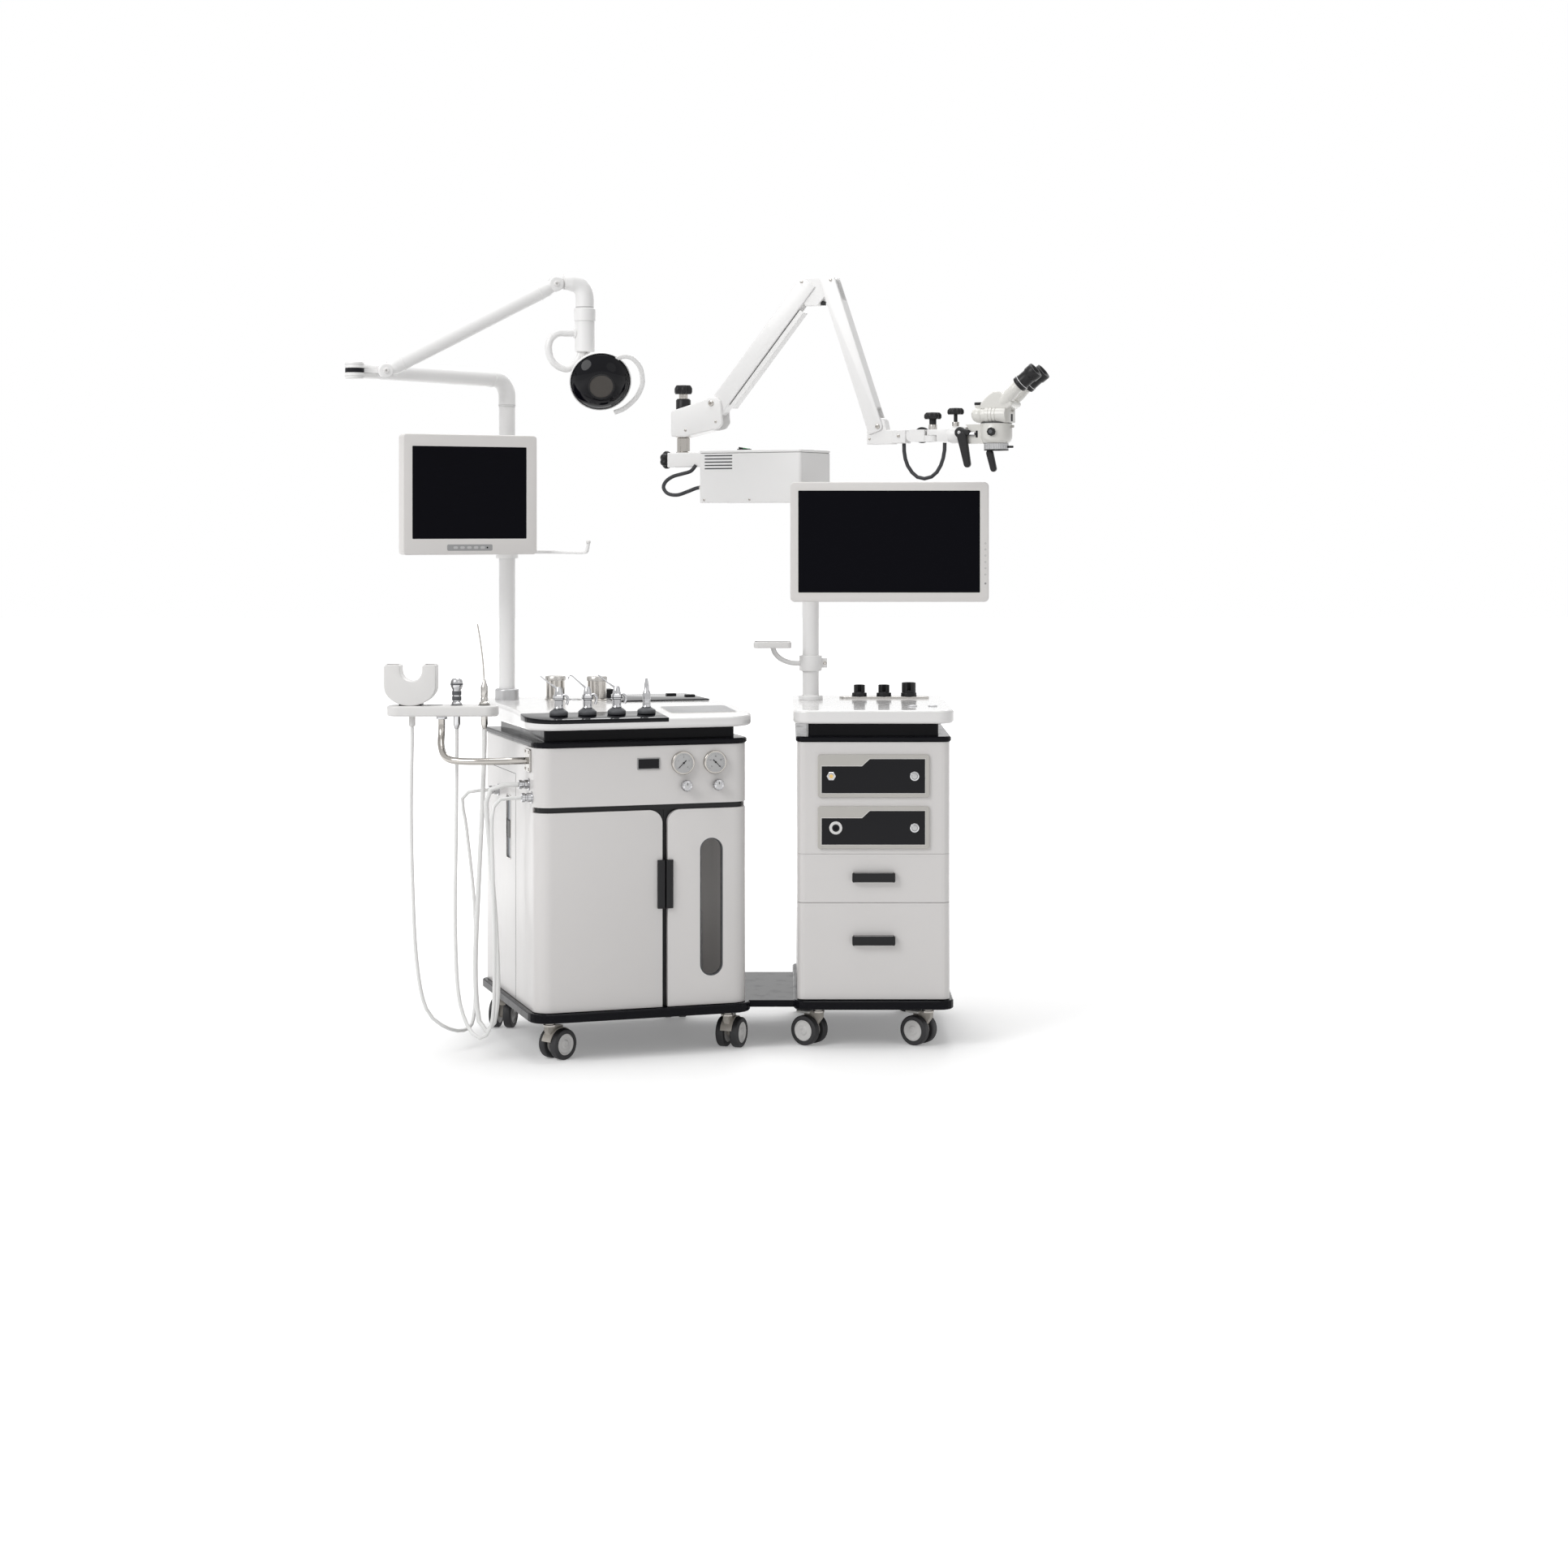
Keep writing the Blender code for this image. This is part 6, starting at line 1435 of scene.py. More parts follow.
        # arm_strip_gap is a dark plate: painted shade in the gap between the strip and the beam.
        for name, near, far, half, start, finish in (("arm_strip", 41.5, 54.5, 15.0, 25, WHITE_COAT),
            ("arm_strip_gap", 38.0, 42.0, 12.0, 27, PAINTED_GAP_SHADE)):
            a = Vector((ax, az)) + way * start
            b = Vector((bx, bz)) - way * (start + 36)
            corners = [a + side * near, a + side * far, b + side * far, b + side * near]
            bench.add(name, plate([tuple(c) for c in corners], -half, half), finish,
                      1.0 if half > 6 else 0.0)

    def link(self) -> None:
        """Apex link that stands in the forks of both beams."""
        bench = Bench(self.frame, "microscope_arm_link", "microscope_arm_link")
        (bx, bz), (cx, cz) = self.pivots[1:3]
        outline = [(365, 1880), (400, 1880), (420, 1902), (447, 1938)] + arc(cx, cz, 7.5, 0, 90, 6)
        outline += arc(bx, bz, 8.8, 90, 180, 6) + [(355, 1915)]
        bench.add("apex_link", plate(outline, -self.tongue, self.tongue), WHITE_COAT, 1.6, 3,
                  stands_for=["microscope_arm_link"])
        bench.add("apex_buffer", box(406, 417, -7, 7, 1881, 1892), BLACK_PLASTIC, 1.4)
        for name, (x, z) in (("apex_bolt_left", (bx, bz)), ("apex_bolt_right", (cx, cz))):
            self.bolts(bench, name, x, z, self.beam_half, 4.2)
            bench.add(name + "_pin", across(3.2, -18, 18, x, z, 0.3), POLISHED)

    def end(self) -> None:
        """Bracket, coupler and lapped tongue at the arm's end."""
        bench = Bench(self.frame, "microscope_end_bracket", "microscope_end_bracket")
        dx, dz = self.pivots[3]
        outline = [(541, 1512), (615, 1512), (615, 1549), (597, 1549), (591, 1574), (584, 1581),
                   (562, 1581), (553, 1574), (541, 1545)]
        bench.add("end_casting", plate(outline, -self.tongue, self.tongue), WHITE_COAT, 2.0, 3,
                  stands_for=["microscope_end_bracket"])
        self.bolts(bench, "end_bolt", dx, dz, self.beam_half, 6.4)
        bench.screw("end_casting_screw", Facing.FRONT.at(549, -self.tongue, 1526), 3.2)
        bench.add("end_pin", across(6, -18, 18, dx, dz, 0.3), POLISHED)
        bench.add("end_coupler", box(611, 651.6, -20, 20, 1514, 1549.6), WHITE_COAT, 2.4, 4)
        bench.screw("coupler_screw", Facing.FRONT.at(632, -20, 1533), 4.4)
        bar = fused(box(664, 702.6, -17, 17, 1517.6, 1549), across(15.7, -17, 17, 667, 1533.3, 0, 64),
                    box(700, 720, -16, 16, 1517.6, 1533.6),
                    moved(drum(16, 1517.6, 1533.6, 0, 64), Facing.UP.at(720, 0, 0)))
        bench.add("end_tongue", bevelled(bar, 1.2, 3, 50), WHITE_COAT)
        disc = lathe([(0, 0), (20, 0), (21, 1.4), (21, 9), (19, 11), (0, 11)], 64)
        bench.add("coupler_disc", disc, BLACK_PLASTIC, at=Facing.BACK.at(682, 17, 1536))


@dataclass
class Microscope:
    """Carriage on the arm's end and the microscope that tilts on it."""

    layout: Layout
    turn_x: float = 720.0
    tilt: Pair = (800.0, 1538.0)
    pod_x: float = 894.0
    spread: float = 31.0
    side_y: float = -22.0

    def build(self) -> None:
        """Makes the carriage, the turret, the pod and the eyepieces."""
        self.frame = self.layout.turned(*self.layout.arm)
        self.carriage()
        self.head()

    def carriage(self) -> None:
        """Lapped bar and round barrel with its clamp knobs, hub and lever."""
        bench = Bench(self.frame, "microscope_carriage", "microscope_carriage")
        tx, tz = self.tilt
        bar = fused(moved(drum(16, 1534.2, 1549, 0, 64), Facing.UP.at(self.turn_x, 0, 0)),
                    box(self.turn_x, 742, -16, 16, 1534.2, 1549), box(737, 768, -17, 17, 1517.6, 1549))
        bench.add("carriage_bar", bevelled(bar, 1.2, 3, 50), WHITE_COAT, stands_for=["microscope_carriage"])
        barrel = lathe([(0, 0), (10, 1), (16.4, 4), (20.6, 9.6), (22.8, 18), (22.8, 51.5), (22.0, 54.5),
                        (19.7, 58), (0, 58)], 72)
        bench.add("carriage_barrel", barrel, WHITE_COAT, at=Facing.RIGHT.at(757, 0, 1535), smooth=50)
        bench.add("carriage_spindle", drum(5, 1519, 1547, 0.4), POLISHED,
                  at=Facing.UP.at(self.turn_x, 0, 0))
        stems = ((self.turn_x, 23.6, ((11.0, 1548.0, 1562.0, STEEL), (9.3, 1561.0, 1577.0, BLACK_PLASTIC)),
                  1576.0, 1593.0),
                 (783.0, 22.3, ((9.3, 1554.0, 1568.0, STEEL), (5.0, 1567.0, 1588.0, BLACK_PLASTIC)), 1587.0,
                  1603.4))
        for number, (x, radius, necks, low, high) in enumerate(stems, 1):
            spot = Facing.UP.at(x, 0, 0)
            for part, (neck, under, over, finish) in enumerate(necks, 1):
                bench.add(f"carriage_knob_neck_{number}_{part}", drum(neck, under, over, 0.8), finish,
                          at=spot)
            knob(bench, f"carriage_knob_{number}", radius, low, high, spot, lobes=8, depth=2.4)
        hub = lathe([(0, 0), (14, 0), (14, 10), (11, 13.5), (6, 14.4), (0, 14.4)], 48)
        bench.add("carriage_hub", hub, BLACK_PLASTIC, at=Facing.FRONT.at(tx + 5, -20, tz + 1.4), smooth=50)
        bench.screw("carriage_hub_screw", Facing.FRONT.at(tx + 5, -34.2, tz + 1.4), 4.4, SILVER)
        self.paddle(bench, "carriage_hub_arm", (tx + 5, tz + 1.4, 11.0), (tx + 26, tz + 1, 8.0), -28.0)
        bench.add("carriage_hub_stub", drum(4.6, 0, 16, 1.0, 32), CHROME,
                  at=Facing.RIGHT.at(tx + 30, -28, tz - 2.6))
        self.paddle(bench, "carriage_grip", (tx + 12.2, tz - 10, 13.0), (tx + 26.2, tz - 80, 9.0), -30.0)

    def paddle(self, bench: Bench, name: str, top: Point, tip: Point, y: float) -> None:
        """Tapering moulded lever.

        Args:
            bench: Bench that makes it.
            name: Name of the piece.
            top: Middle and radius of its wide end.
            tip: Middle and radius of its narrow end.
            y: Place of its middle plane.
        """
        way = math.degrees(math.atan2(tip[1] - top[1], tip[0] - top[0]))
        outline = arc(*tip, way - 90, way + 90, 10) + arc(*top, way + 90, way + 270, 10)
        bench.add(name, plate(outline, y - 6.5, y + 6.5), BLACK_PLASTIC, 3.4, 4)

    def head(self) -> None:
        """Optical head: block, pod, turret, housing and the pair of eyepiece tubes."""
        bench = Bench(self.frame, "microscope_body", "microscope_body")
        spot = Facing.UP.at(self.pod_x, 0, 0)
        tx, tz = self.tilt
        pod = [(0, 1511), (28, 1511), (34, 1512.6), (38.4, 1517), (40.6, 1524), (41, 1530), (41, 1561.2),
               (40.2, 1562), (0, 1562)]
        bench.add("head_pod", lathe(pod, 72), CREAM, at=spot, stands_for=["microscope_body"], smooth=50)
        # Dark ring: painted shade in the groove between the pod and the upper body.
        bench.add("pod_seam", drum(39.8, 1561, 1565, 0.2, 72), PAINTED_GAP_SHADE, at=spot)
        upper = prism(rounded((870, 936, -28, 36), 12, 12, 10), 1563.4, 1600)
        bench.add("head_upper", upper, CREAM, 1.4, 3)
        outline = ([(866, 1510.6), (866, 1560), (tx + 17.1, 1560)] + arc(tx, tz, 27.9, 52, -52, 14)
                   + [(tx + 17.2, 1510.6)])
        bench.add("head_block", plate(outline, -22, 22), CREAM, 1.6, 3)
        # Dark plate: painted shade in place of the slot's opening.
        bench.add("head_block_slot", plate(rounded((846, 851.4, 1526, 1544), 1, 1, 3), -22.4, -21.4), INK_AND_SLOT_SHADE)
        bench.add("head_plate", plate(rounded((tx - 4, 866, tz - 14, tz + 14), 4, 4), 0.3, 15), CREAM)
        bench.add("objective_ring", prism(star(31.6, 40, 0.9, 6), 1495.6, 1510.8), SILVER, 0.0, at=spot,
                  smooth=20)
        bench.add("objective_rim", ring(20, 31.8, 1492.6, 1495.0, 0.4, 64), BLACK_PLASTIC, at=spot)
        bench.add("objective_lens",
                  lathe([(0, 1493.4), (14, 1494), (20.4, 1495.4), (20.4, 1500), (0, 1500)], 48),
                  BLACK_GLASS, at=spot)
        bench.add("objective_pin", drum(3.0, 0, 18, 1.2, 24), BLACK_PLASTIC,
                  at=Facing.RIGHT.at(922, 0, 1502))
        side = Facing.FRONT.at(self.pod_x + 2, -40.2, 1540)
        bench.add("focus_knob", lathe([(0, 0), (10, 0), (11, 1.5), (11, 8), (9.4, 10), (0, 10)], 8),
                  BLACK_PLASTIC, at=side, smooth=20)
        bench.add("focus_knob_cap", drum(5.0, 9.6, 11.0, 0.5, 32), GREY_RUBBER, at=side)
        for number, z in enumerate((1554, 1594), 1):
            bench.add(f"pod_pin_{number}", drum(3.4, -3, 8.0, 1.2, 32), FRAME_BEIGE,
                      at=Facing.RIGHT.at(self.pod_x + 40, 0, z))
        # Dark block: painted shade in place of the slot's opening.
        bench.add("pod_side_slot", prism(rounded((930, 936.4, -8, 8), 2, 2, 4), 1567, 1586), INK_AND_SLOT_SHADE, 0.6, 2)
        self.turret(bench)
        housing = [(862, 1598), (934, 1598), (948, 1606), (950, 1614), (914, 1642), (898, 1644),
                   (880, 1632), (862, 1612)]
        bench.add("eye_housing", plate(housing, -36, 36), CREAM, 4.0, 4)
        for number, side_y in enumerate((-self.spread, self.spread), 1):
            self.eyepiece(bench, number, side_y)
        self.paddle(bench, "head_grip", (878, 1486, 9.2), (888, 1446, 8.0), -4.0)

    def turret(self, bench: Bench) -> None:
        """Round turret that ends in a ball, with its grooves and caps.

        Args:
            bench: Bench that makes it.
        """
        spot = Facing.LEFT.at(930, self.side_y, 1584)
        shape = [(0, 0), (21, 0), (21, 25), (19.8, 25.4), (19.8, 27), (21.4, 27.4), (21.4, 34),
                 (20.2, 34.4), (20.2, 36), (21.8, 36.4), (21.8, 43), (20.6, 43.4), (20.6, 45), (22, 45.4),
                 (22, 54), (19, 56.4), (19, 70), (0, 70)]
        bench.add("turret", lathe(shape, 72), CREAM, at=spot, smooth=40)
        bench.add("turret_ball", lathe([(0, -21)] + arc(0, 0, 21, -84, 84, 26) + [(0, 21)], 72), CREAM,
                  at=Facing.UP.at(856, self.side_y, 1584), smooth=60)
        bench.add("turret_screw", drum(2.4, 0, 1.2, 0.4, 24), SILVER,
                  at=Facing.FRONT.at(856, self.side_y - 8.0, 1603.4))
        bench.add("turret_neck", drum(12.6, 1600, 1609, 1.0), CREAM, at=Facing.UP.at(857, self.side_y, 0))
        bench.add("turret_cap", drum(14.0, 1609, 1616, 1.2), BLACK_PLASTIC,
                  at=Facing.UP.at(857, self.side_y, 0))

    def eyepiece(self, bench: Bench, number: int, side: float) -> None:
        """One eyepiece tube with its knurled ring and soft cup.

        Args:
            bench: Bench that makes it.
            number: Number in its pieces' names.
            side: How far it stands from the middle plane.
        """
        route = ((918, 1612), (944, 1637), (962, 1655), (966, 1659), (1012, 1696))
        spots = [Vector((x, side * min(1.0, (x - 880) / 60), z)) for x, z in route]
        bench.add(f"eye_tube_{number}", tube(spots[:4], [17, 17, 16, 16], 40), CREAM, smooth=50)
        way = (spots[4] - spots[3]).normalized()
        long = (spots[4] - spots[3]).length
        turn = Matrix.Translation(spots[3]) @ way.to_track_quat("Z", "Y").to_matrix().to_4x4()
        cup = [(0, -2), (19, -2), (21, 0), (21, 9), (20, 10), (19.4, 12), (19.4, 34), (20, 36), (21.6, 38),
               (22, long - 3), (21, long - 0.6), (17, long - 0.4), (14, long - 6), (0, long - 6)]
        bench.add(f"eyepiece_{number}", lathe(cup, 64), BLACK_PLASTIC, at=turn, smooth=45)
        bench.add(f"eyepiece_ring_{number}", ring(19.2, 21.6, 9.6, 11.4, 0.4), SILVER, at=turn)
        bench.add(f"eyepiece_lens_{number}", drum(13.6, long - 7, long - 5.6, 0.3), BLACK_GLASS, at=turn)


@dataclass
class TreatmentCabinet:
    """Left-hand cabinet: curved doors, gauges, knobs, side fittings and its worktop."""

    layout: Layout
    body: Quad = (12.0, 551.0, 12.0, 575.0)
    corner: float = 40.0
    door: Pair = (121.0, 603.7)
    seam: Pair = (335.0, 7.0)
    door_round: float = 33.0
    door_back: float = 53.7
    window: Quad = (424.0, 483.0, 191.0, 531.0)
    gauges: tuple[tuple[float, float, tuple[str, ...]], ...] = ((379.0, 223.0, ("0", "1", "2", "3", "4")),
        (461.0, -44.0, ("0", "20", "40", "60", "80")))
    gauge_z: float = 718.0
    knobs: tuple[tuple[str, float], ...] = (("pressure_knob", 386.0), ("vacuum_knob", 467.0))
    fittings: tuple[Pair, ...] = ((92.0, 669.0), (434.0, 623.5), (60.0, 640.0))
    crown: tuple[Pair, ...] = ((-8.0, 831.0), (48.0, 835.6), (104.0, 839.5), (170.0, 845.0), (300.0, 848.0),
                               (592.0, 850.0))
    rise: float = 7.1
    tool_x: Quad = (80.0, 152.0, 226.0, 302.0)
    tool_y: float = 64.0

    def build(self) -> None:
        """Makes every piece of the cabinet."""
        self.frame = self.layout.turned(*self.layout.treat)
        dress("treatment_base_plate", BLACK_LAMINATE, 1.5)
        dress("treatment_trim", BLACK_LAMINATE, 1.5)
        self.shell()
        self.doors()
        self.fascia()
        self.left_side()
        self.worktop()
        self.back()

    def shell(self) -> None:
        """Open cabinet body behind the doors, with its fascia and the rail that they close on."""
        bench = Bench(self.frame, "cabinets", "treatment_shell")
        x0, x1, y0, y1 = self.body
        low, high, wall, back, fascia = 119.8, 761.5, 8.0, 54.0, 617.4
        outer = bevelled(prism(rounded(self.body, self.corner, 8.0, 16), low, high), 1.2, 3)
        inside = prism(rounded((x0 + wall, x1 - wall, y0 + wall, y1 - wall), self.corner - wall, 4.0, 16),
                       low + wall, high - wall)
        doorway = box(x0 + wall, x1 - wall, -REACH, back + 4.0, low + wall, fascia - 2.0)
        sunk = box(x0 - REACH, x0 + 5.0, 290.0, 340.0, 462.6, 621.6)
        body = cut(outer, box(-REACH, REACH, -REACH, back, -REACH, fascia), inside, doorway, sunk)
        bench.add("treatment_body", body, WHITE_LACQUER, stands_for=["treatment_shell"])
        bench.add("door_rail", box(x0 + 2, x1 - 2, back, back + 18.0, 543.7, 619.4), WHITE_LACQUER, 0.6, 2)

    def front(self, seam_x: float, left: bool) -> Outline:
        """Outline of a door seen from above, whose inner edge stands at seam_x.

        Args:
            seam_x: Place of the door's inner edge.
            left: True for the door on the left.

        Returns:
            The outline.
        """
        x0, x1, y0, _ = self.body
        radius, thick = self.corner, 16.0
        if left:
            outline = ([(seam_x, y0 + thick), (seam_x, y0)]
                       + arc(x0 + radius, y0 + radius, radius, 270, 180, 12))
            outline += [(x0, self.door_back), (x0 + thick, self.door_back)]
            return outline + arc(x0 + radius, y0 + radius, radius - thick, 180, 270, 12)
        outline = ([(seam_x, y0), (seam_x, y0 + thick)]
                   + arc(x1 - radius, y0 + radius, radius - thick, 270, 360, 12))
        outline += [(x1 - thick, self.door_back), (x1, self.door_back)]
        return outline + arc(x1 - radius, y0 + radius, radius, 360, 270, 12)

    def doors(self) -> None:
        """Both doors with their backing plates and pulls, and the pane of the narrow one."""
        low, high = self.door
        middle, gap = self.seam
        for body, left in (("wide_door", True), ("narrow_door", False)):
            node = "treatment_" + body
            bench = Bench(self.frame, body, node)
            side = -1.0 if left else 1.0
            levels = [(low, 0.0), (high - self.door_round, 0.0)]
            for i in range(1, 15):
                angle = math.radians(90 * i / 14)
                levels.append((high - self.door_round * (1 - math.sin(angle)),
                               self.door_round * (1 - math.cos(angle))))
            form = rings([[(x, y, z) for x, y in self.front(middle + side * (gap + back), left)]
                          for z, back in levels])
            bevelled(form, 1.1, 3)
            ends = sorted((middle + side * 0.4, (self.body[0] + 26.0) if left else (self.body[1] - 26.0)))
            backing = plate([(ends[0], low), (ends[1], low), (ends[1], high), (ends[0], high)], 27.8, 30.6)
            if not left:
                x0, x1, z0, z1 = self.window
                hole = plate(rounded((x0, x1, z0, z1), 29.4, 29.4, 16), -50, 60)
                bigger = plate(rounded((x0 - 2, x1 + 2, z0 - 2, z1 + 2), 31.4, 31.4, 16), 20, 60)
                form = cut(form, hole)
                backing = cut(backing, bigger)
                pane = plate(rounded((x0 - 0.4, x1 + 0.4, z0 - 0.4, z1 + 0.4), 29.8, 29.8, 16), 17.0, 20.0)
                bench.add("window_pane", pane, SMOKED)
                self.window_rim(bench)
            bench.add(body + "_panel", form, WHITE_LACQUER, stands_for=[node])
            bench.add(body + "_backing", backing, BLACK_PLASTIC)
            near, far = sorted((middle + side * 0.8, middle + side * 19.8))
            grip = prism(rounded((near, far, 4.6, 20.0), 4.5, 1.0, 6), 362.6, 481.4)
            bench.add(body + "_pull", grip, BLACK_PLASTIC, 2.0, 4)
            for number, z in enumerate((150.0, 575.0), 1):
                x = self.body[0] + 0.6 if left else self.body[1] - 0.6
                hinge = moved(drum(3.6, z - 14, z + 14, 0.8, 24),
                              Matrix.Translation((x + side * -4.4, 49.0, 0)))
                bench.add(f"{body}_hinge_{number}", hinge, POLISHED)

    def window_rim(self, bench: Bench) -> None:
        """Dark rim inside the slot window.

        Args:
            bench: Bench that makes it.
        """
        x0, x1, z0, z1 = self.window
        outer = plate(rounded((x0 + 0.1, x1 - 0.1, z0 + 0.1, z1 - 0.1), 29.3, 29.3, 16), 13.4, 27.0)
        inner = plate(rounded((x0 + 2.6, x1 - 2.6, z0 + 2.6, z1 - 2.6), 26.8, 26.8, 16), -50, 60)
        bench.add("window_rim", cut(outer, inner), GREY_RUBBER)

    def fascia(self) -> None:
        """Band over the doors, gauges, small display, knobs and the bottle behind the window."""
        bench = Bench(self.frame, "cabinets", "treatment_shell")
        # Black band in the recess between the doors and the fascia: painted shade of that recess.
        bench.add("fascia_recess_shade_band", prism(rounded((20, 543, 20, 560), 32, 6, 10), 604.2, 617.5), BLACK_PLASTIC)
        bench.add("display_frame", plate(rounded((263.6, 321.4, 703.6, 732.4), 2, 2), 9.6, 12.6), GREY_MARK,
                  0.8)
        bench.add("display_panel", plate(rounded((266.6, 318.4, 706.4, 729.6), 1, 1), 9.1, 10.0),
                  BLACK_GLASS, 0.3)
        for number, (x, way, figures) in enumerate(self.gauges, 1):
            self.gauge(bench, f"gauge_{number}", x, way, figures)
        for body, x in self.knobs:
            here = Bench(self.frame, body, body)
            spot = Facing.FRONT.at(x, self.body[2] - GAP, 662.6)
            base = [(0, 0), (9.5, 0), (9.5, 1.6), (8, 2.4), (8, 5), (11, 6.4), (0, 6.4)]
            here.add(body + "_collar", lathe(base, 40), CHROME, at=spot, stands_for=[body])
            skirt = rings([[(px, py, z) for px, py in star(r, 12, 1.1, 4)]
                           for r, z in ((12.6, 6.2), (14.2, 8), (14.2, 18), (12.6, 20.6), (9.0, 22.0))])
            here.add(body + "_grip", skirt, CHROME, at=spot, smooth=24)
            here.add(body + "_face", drum(7.6, 21.0, 22.4, 0.5, 32), SILVER, at=spot)
            here.add(body + "_mark", box(-0.7, 0.7, 1.5, 7.0, 22.2, 22.7), INK_AND_SLOT_SHADE, at=spot)
        # Wall behind the window that glows: painted light inside the closed cabinet.
        bench.add("glowing_inner_wall", box(400, 510, 300, 304, 140, 590), GLOWING_INNER_WALL)
        shape = ([(0, 128), (42, 128), (45, 133), (45, 318)] + arc(30, 318, 15, 0, 80, 6)
                 + [(20, 336), (20, 345), (0, 345)])
        bench.add("inner_bottle", lathe(shape, 48), BOTTLE, at=Facing.UP.at(440, 200, 0))
        bench.add("inner_bottle_cap", lathe([(0, 344), (24, 344), (24, 370), (21, 375), (0, 375)], 40),
                  BLACK_PLASTIC, at=Facing.UP.at(440, 200, 0))

    def gauge(self, bench: Bench, name: str, x: float, way: float, figures: Sequence[str]) -> None:
        """Round gauge with a chrome ring, ticks, figures and a needle.

        Args:
            bench: Bench that makes it.
            name: Start of its pieces' names.
            x: Place on the fascia.
            way: Direction of the needle, in degrees.
            figures: Figures round the dial.
        """
        spot = Facing.FRONT.at(x, self.body[2], self.gauge_z)
        rim = ([(24.0, 0), (28.9, 0), (28.9, 8.0)] + arc(26.4, 8.6, 2.5, 0, 90, 5)
               + [(24.8, 11.2), (24.0, 10.4)])
        bench.add(name + "_ring", lathe(rim, 64, closed=True), POLISHED, at=spot, smooth=50)
        bench.add(name + "_dial", drum(24.8, 8.6, 11.2, 0.3, 64), DIAL, at=spot)
        marks = []
        for i in range(25):
            angle = math.radians(225 - 270 * i / 24)
            long = 3.4 if i % 6 == 0 else 1.8
            turn = Matrix.Rotation(angle, 4, "Z")
            marks.append(moved(box(22.2 - long, 22.2, -0.22, 0.22, 11.0, 11.35), turn))
        bench.add(name + "_ticks", merged(*marks), INK_AND_SLOT_SHADE, at=spot)
        texts = []
        for i, text in enumerate(figures):
            angle = math.radians(225 - 270 * i / (len(figures) - 1))
            texts.append(
                numeral(text, 5.0,
                        Matrix.Translation((14.6 * math.cos(angle), 14.6 * math.sin(angle), 11.2))))
        bench.add(name + "_figures", merged(*texts), INK_AND_SLOT_SHADE, at=spot)
        turn = spin(way)
        needle = prism([(-9, -1.3), (-4, -0.9), (18.5, -0.4), (18.5, 0.4), (-4, 0.9), (-9, 1.3)], 11.5,
                       12.0)
        bench.add(name + "_needle", moved(needle, turn), INK_AND_SLOT_SHADE, at=spot)
        bench.add(name + "_hub", drum(2.4, 11.2, 12.6, 0.5, 32), BLACK_PLASTIC, at=spot)

    def left_side(self) -> None:
        """Side door seams, side pull and hose fittings."""
        bench = Bench(self.frame, "cabinets", "treatment_shell")
        # Dark strips: painted shade in the gaps round the side door.
        bench.add("side_seam_upright", box(11.72, 12.3, 235.4, 236.6, 122, 682), PAINTED_GAP_SHADE)
        bench.add("side_seam_level", box(11.72, 12.3, 236, 566, 681.4, 682.6), PAINTED_GAP_SHADE)
        recess = side_plate(rounded((288, 342, 460.6, 623.6), 10, 10), 10.9, 13.4)
        hollow = side_plate(rounded((291.5, 338.5, 464.1, 620.1), 7, 7), -20, 60)
        bench.add("side_pull_frame", cut(bevelled(recess, 1.0, 3), hollow), STEEL)
        bench.add("side_pull_floor", side_plate(rounded((290, 340, 462.6, 621.6), 8, 8), 15.6, 17.6),
                  BLUE_GREY)
        bench.add("side_pull_latch", side_plate(rounded((299, 331, 514, 558), 4, 4), 11.0, 18.0),
                  BLACK_PLASTIC, 1.6)
        for number, (y, z) in enumerate(self.fittings, 1):
            spot = Facing.LEFT.at(12.0, y, z)
            shape = [(0, 0), (15, 0), (15, 2.4), (11.4, 3.4), (11.4, 12), (9.6, 13.4), (9.6, 17),
                     (11.4, 18.4), (11.4, 24.6), (10.2, 26.0), (0, 26.0)]
            bench.add(f"hose_fitting_{number}", lathe(shape, 48), CHROME, at=spot, smooth=30)

    def worktop(self) -> None:
        """White worktop that slopes to the front, with its decks, control panel, jars and switches."""
        bench = Bench(self.frame, "cabinets", "treatment_worktop")
        holes = [(x, self.tool_y) for x in self.tool_x]
        slab = bevelled(prism(rounded((-6, 569, -8, 592), 74, 28, 16), 804.6, 842.0), 8.0, 6)
        slab = cut(slab, *[moved(drum(9.2, 815, 860, 0, 40), Facing.UP.at(x, y, 0)) for x, y in holes])
        bench.add("treatment_top", self.sloped(slab), WHITE_GLOSS, stands_for=["treatment_worktop"])
        deck = (arc(68, 66, 74.2, 180, 270, 18) + [(339, -8.2)] + arc(336, 108, 3, 0, 90, 4)
                + arc(4.8, 103, 11, 90, 180, 6))
        deck_form = bevelled(prism(deck, 826.0, 842.5), 1.0, 3)
        deck_form = cut(deck_form,
                        *[moved(drum(9.4, 815, 860, 0, 40), Facing.UP.at(x, y, 0)) for x, y in holes])
        bench.add("tool_deck", self.sloped(deck_form), BLACK_GLASS)
        panel = rounded((364.0, 536.0, 56.0, 170.0), 11, 11, 8)
        bench.add("control_frame", self.sloped(bevelled(prism(panel, 840.0, 842.9), 0.6, 2)), PALE_RIM)
        inside = rounded((365.6, 534.4, 57.6, 168.4), 9.6, 9.6, 8)
        bench.add("control_panel", self.sloped(bevelled(prism(inside, 841.0, 843.3), 0.3, 2)), GREY_PANEL)
        rear = bevelled(prism(rounded((300, 548, 335, 560), 8, 8, 6), 836.0, 845.4), 1.2, 3)
        bench.add("rear_deck", self.sloped(rear), BLACK_GLASS)
        block = self.raised(prism(rounded((304, 336, 500, 540), 3, 3, 6), 842.0, 864.0))
        bench.add("rear_block", block, BLACK_PLASTIC, 2.0, 3)
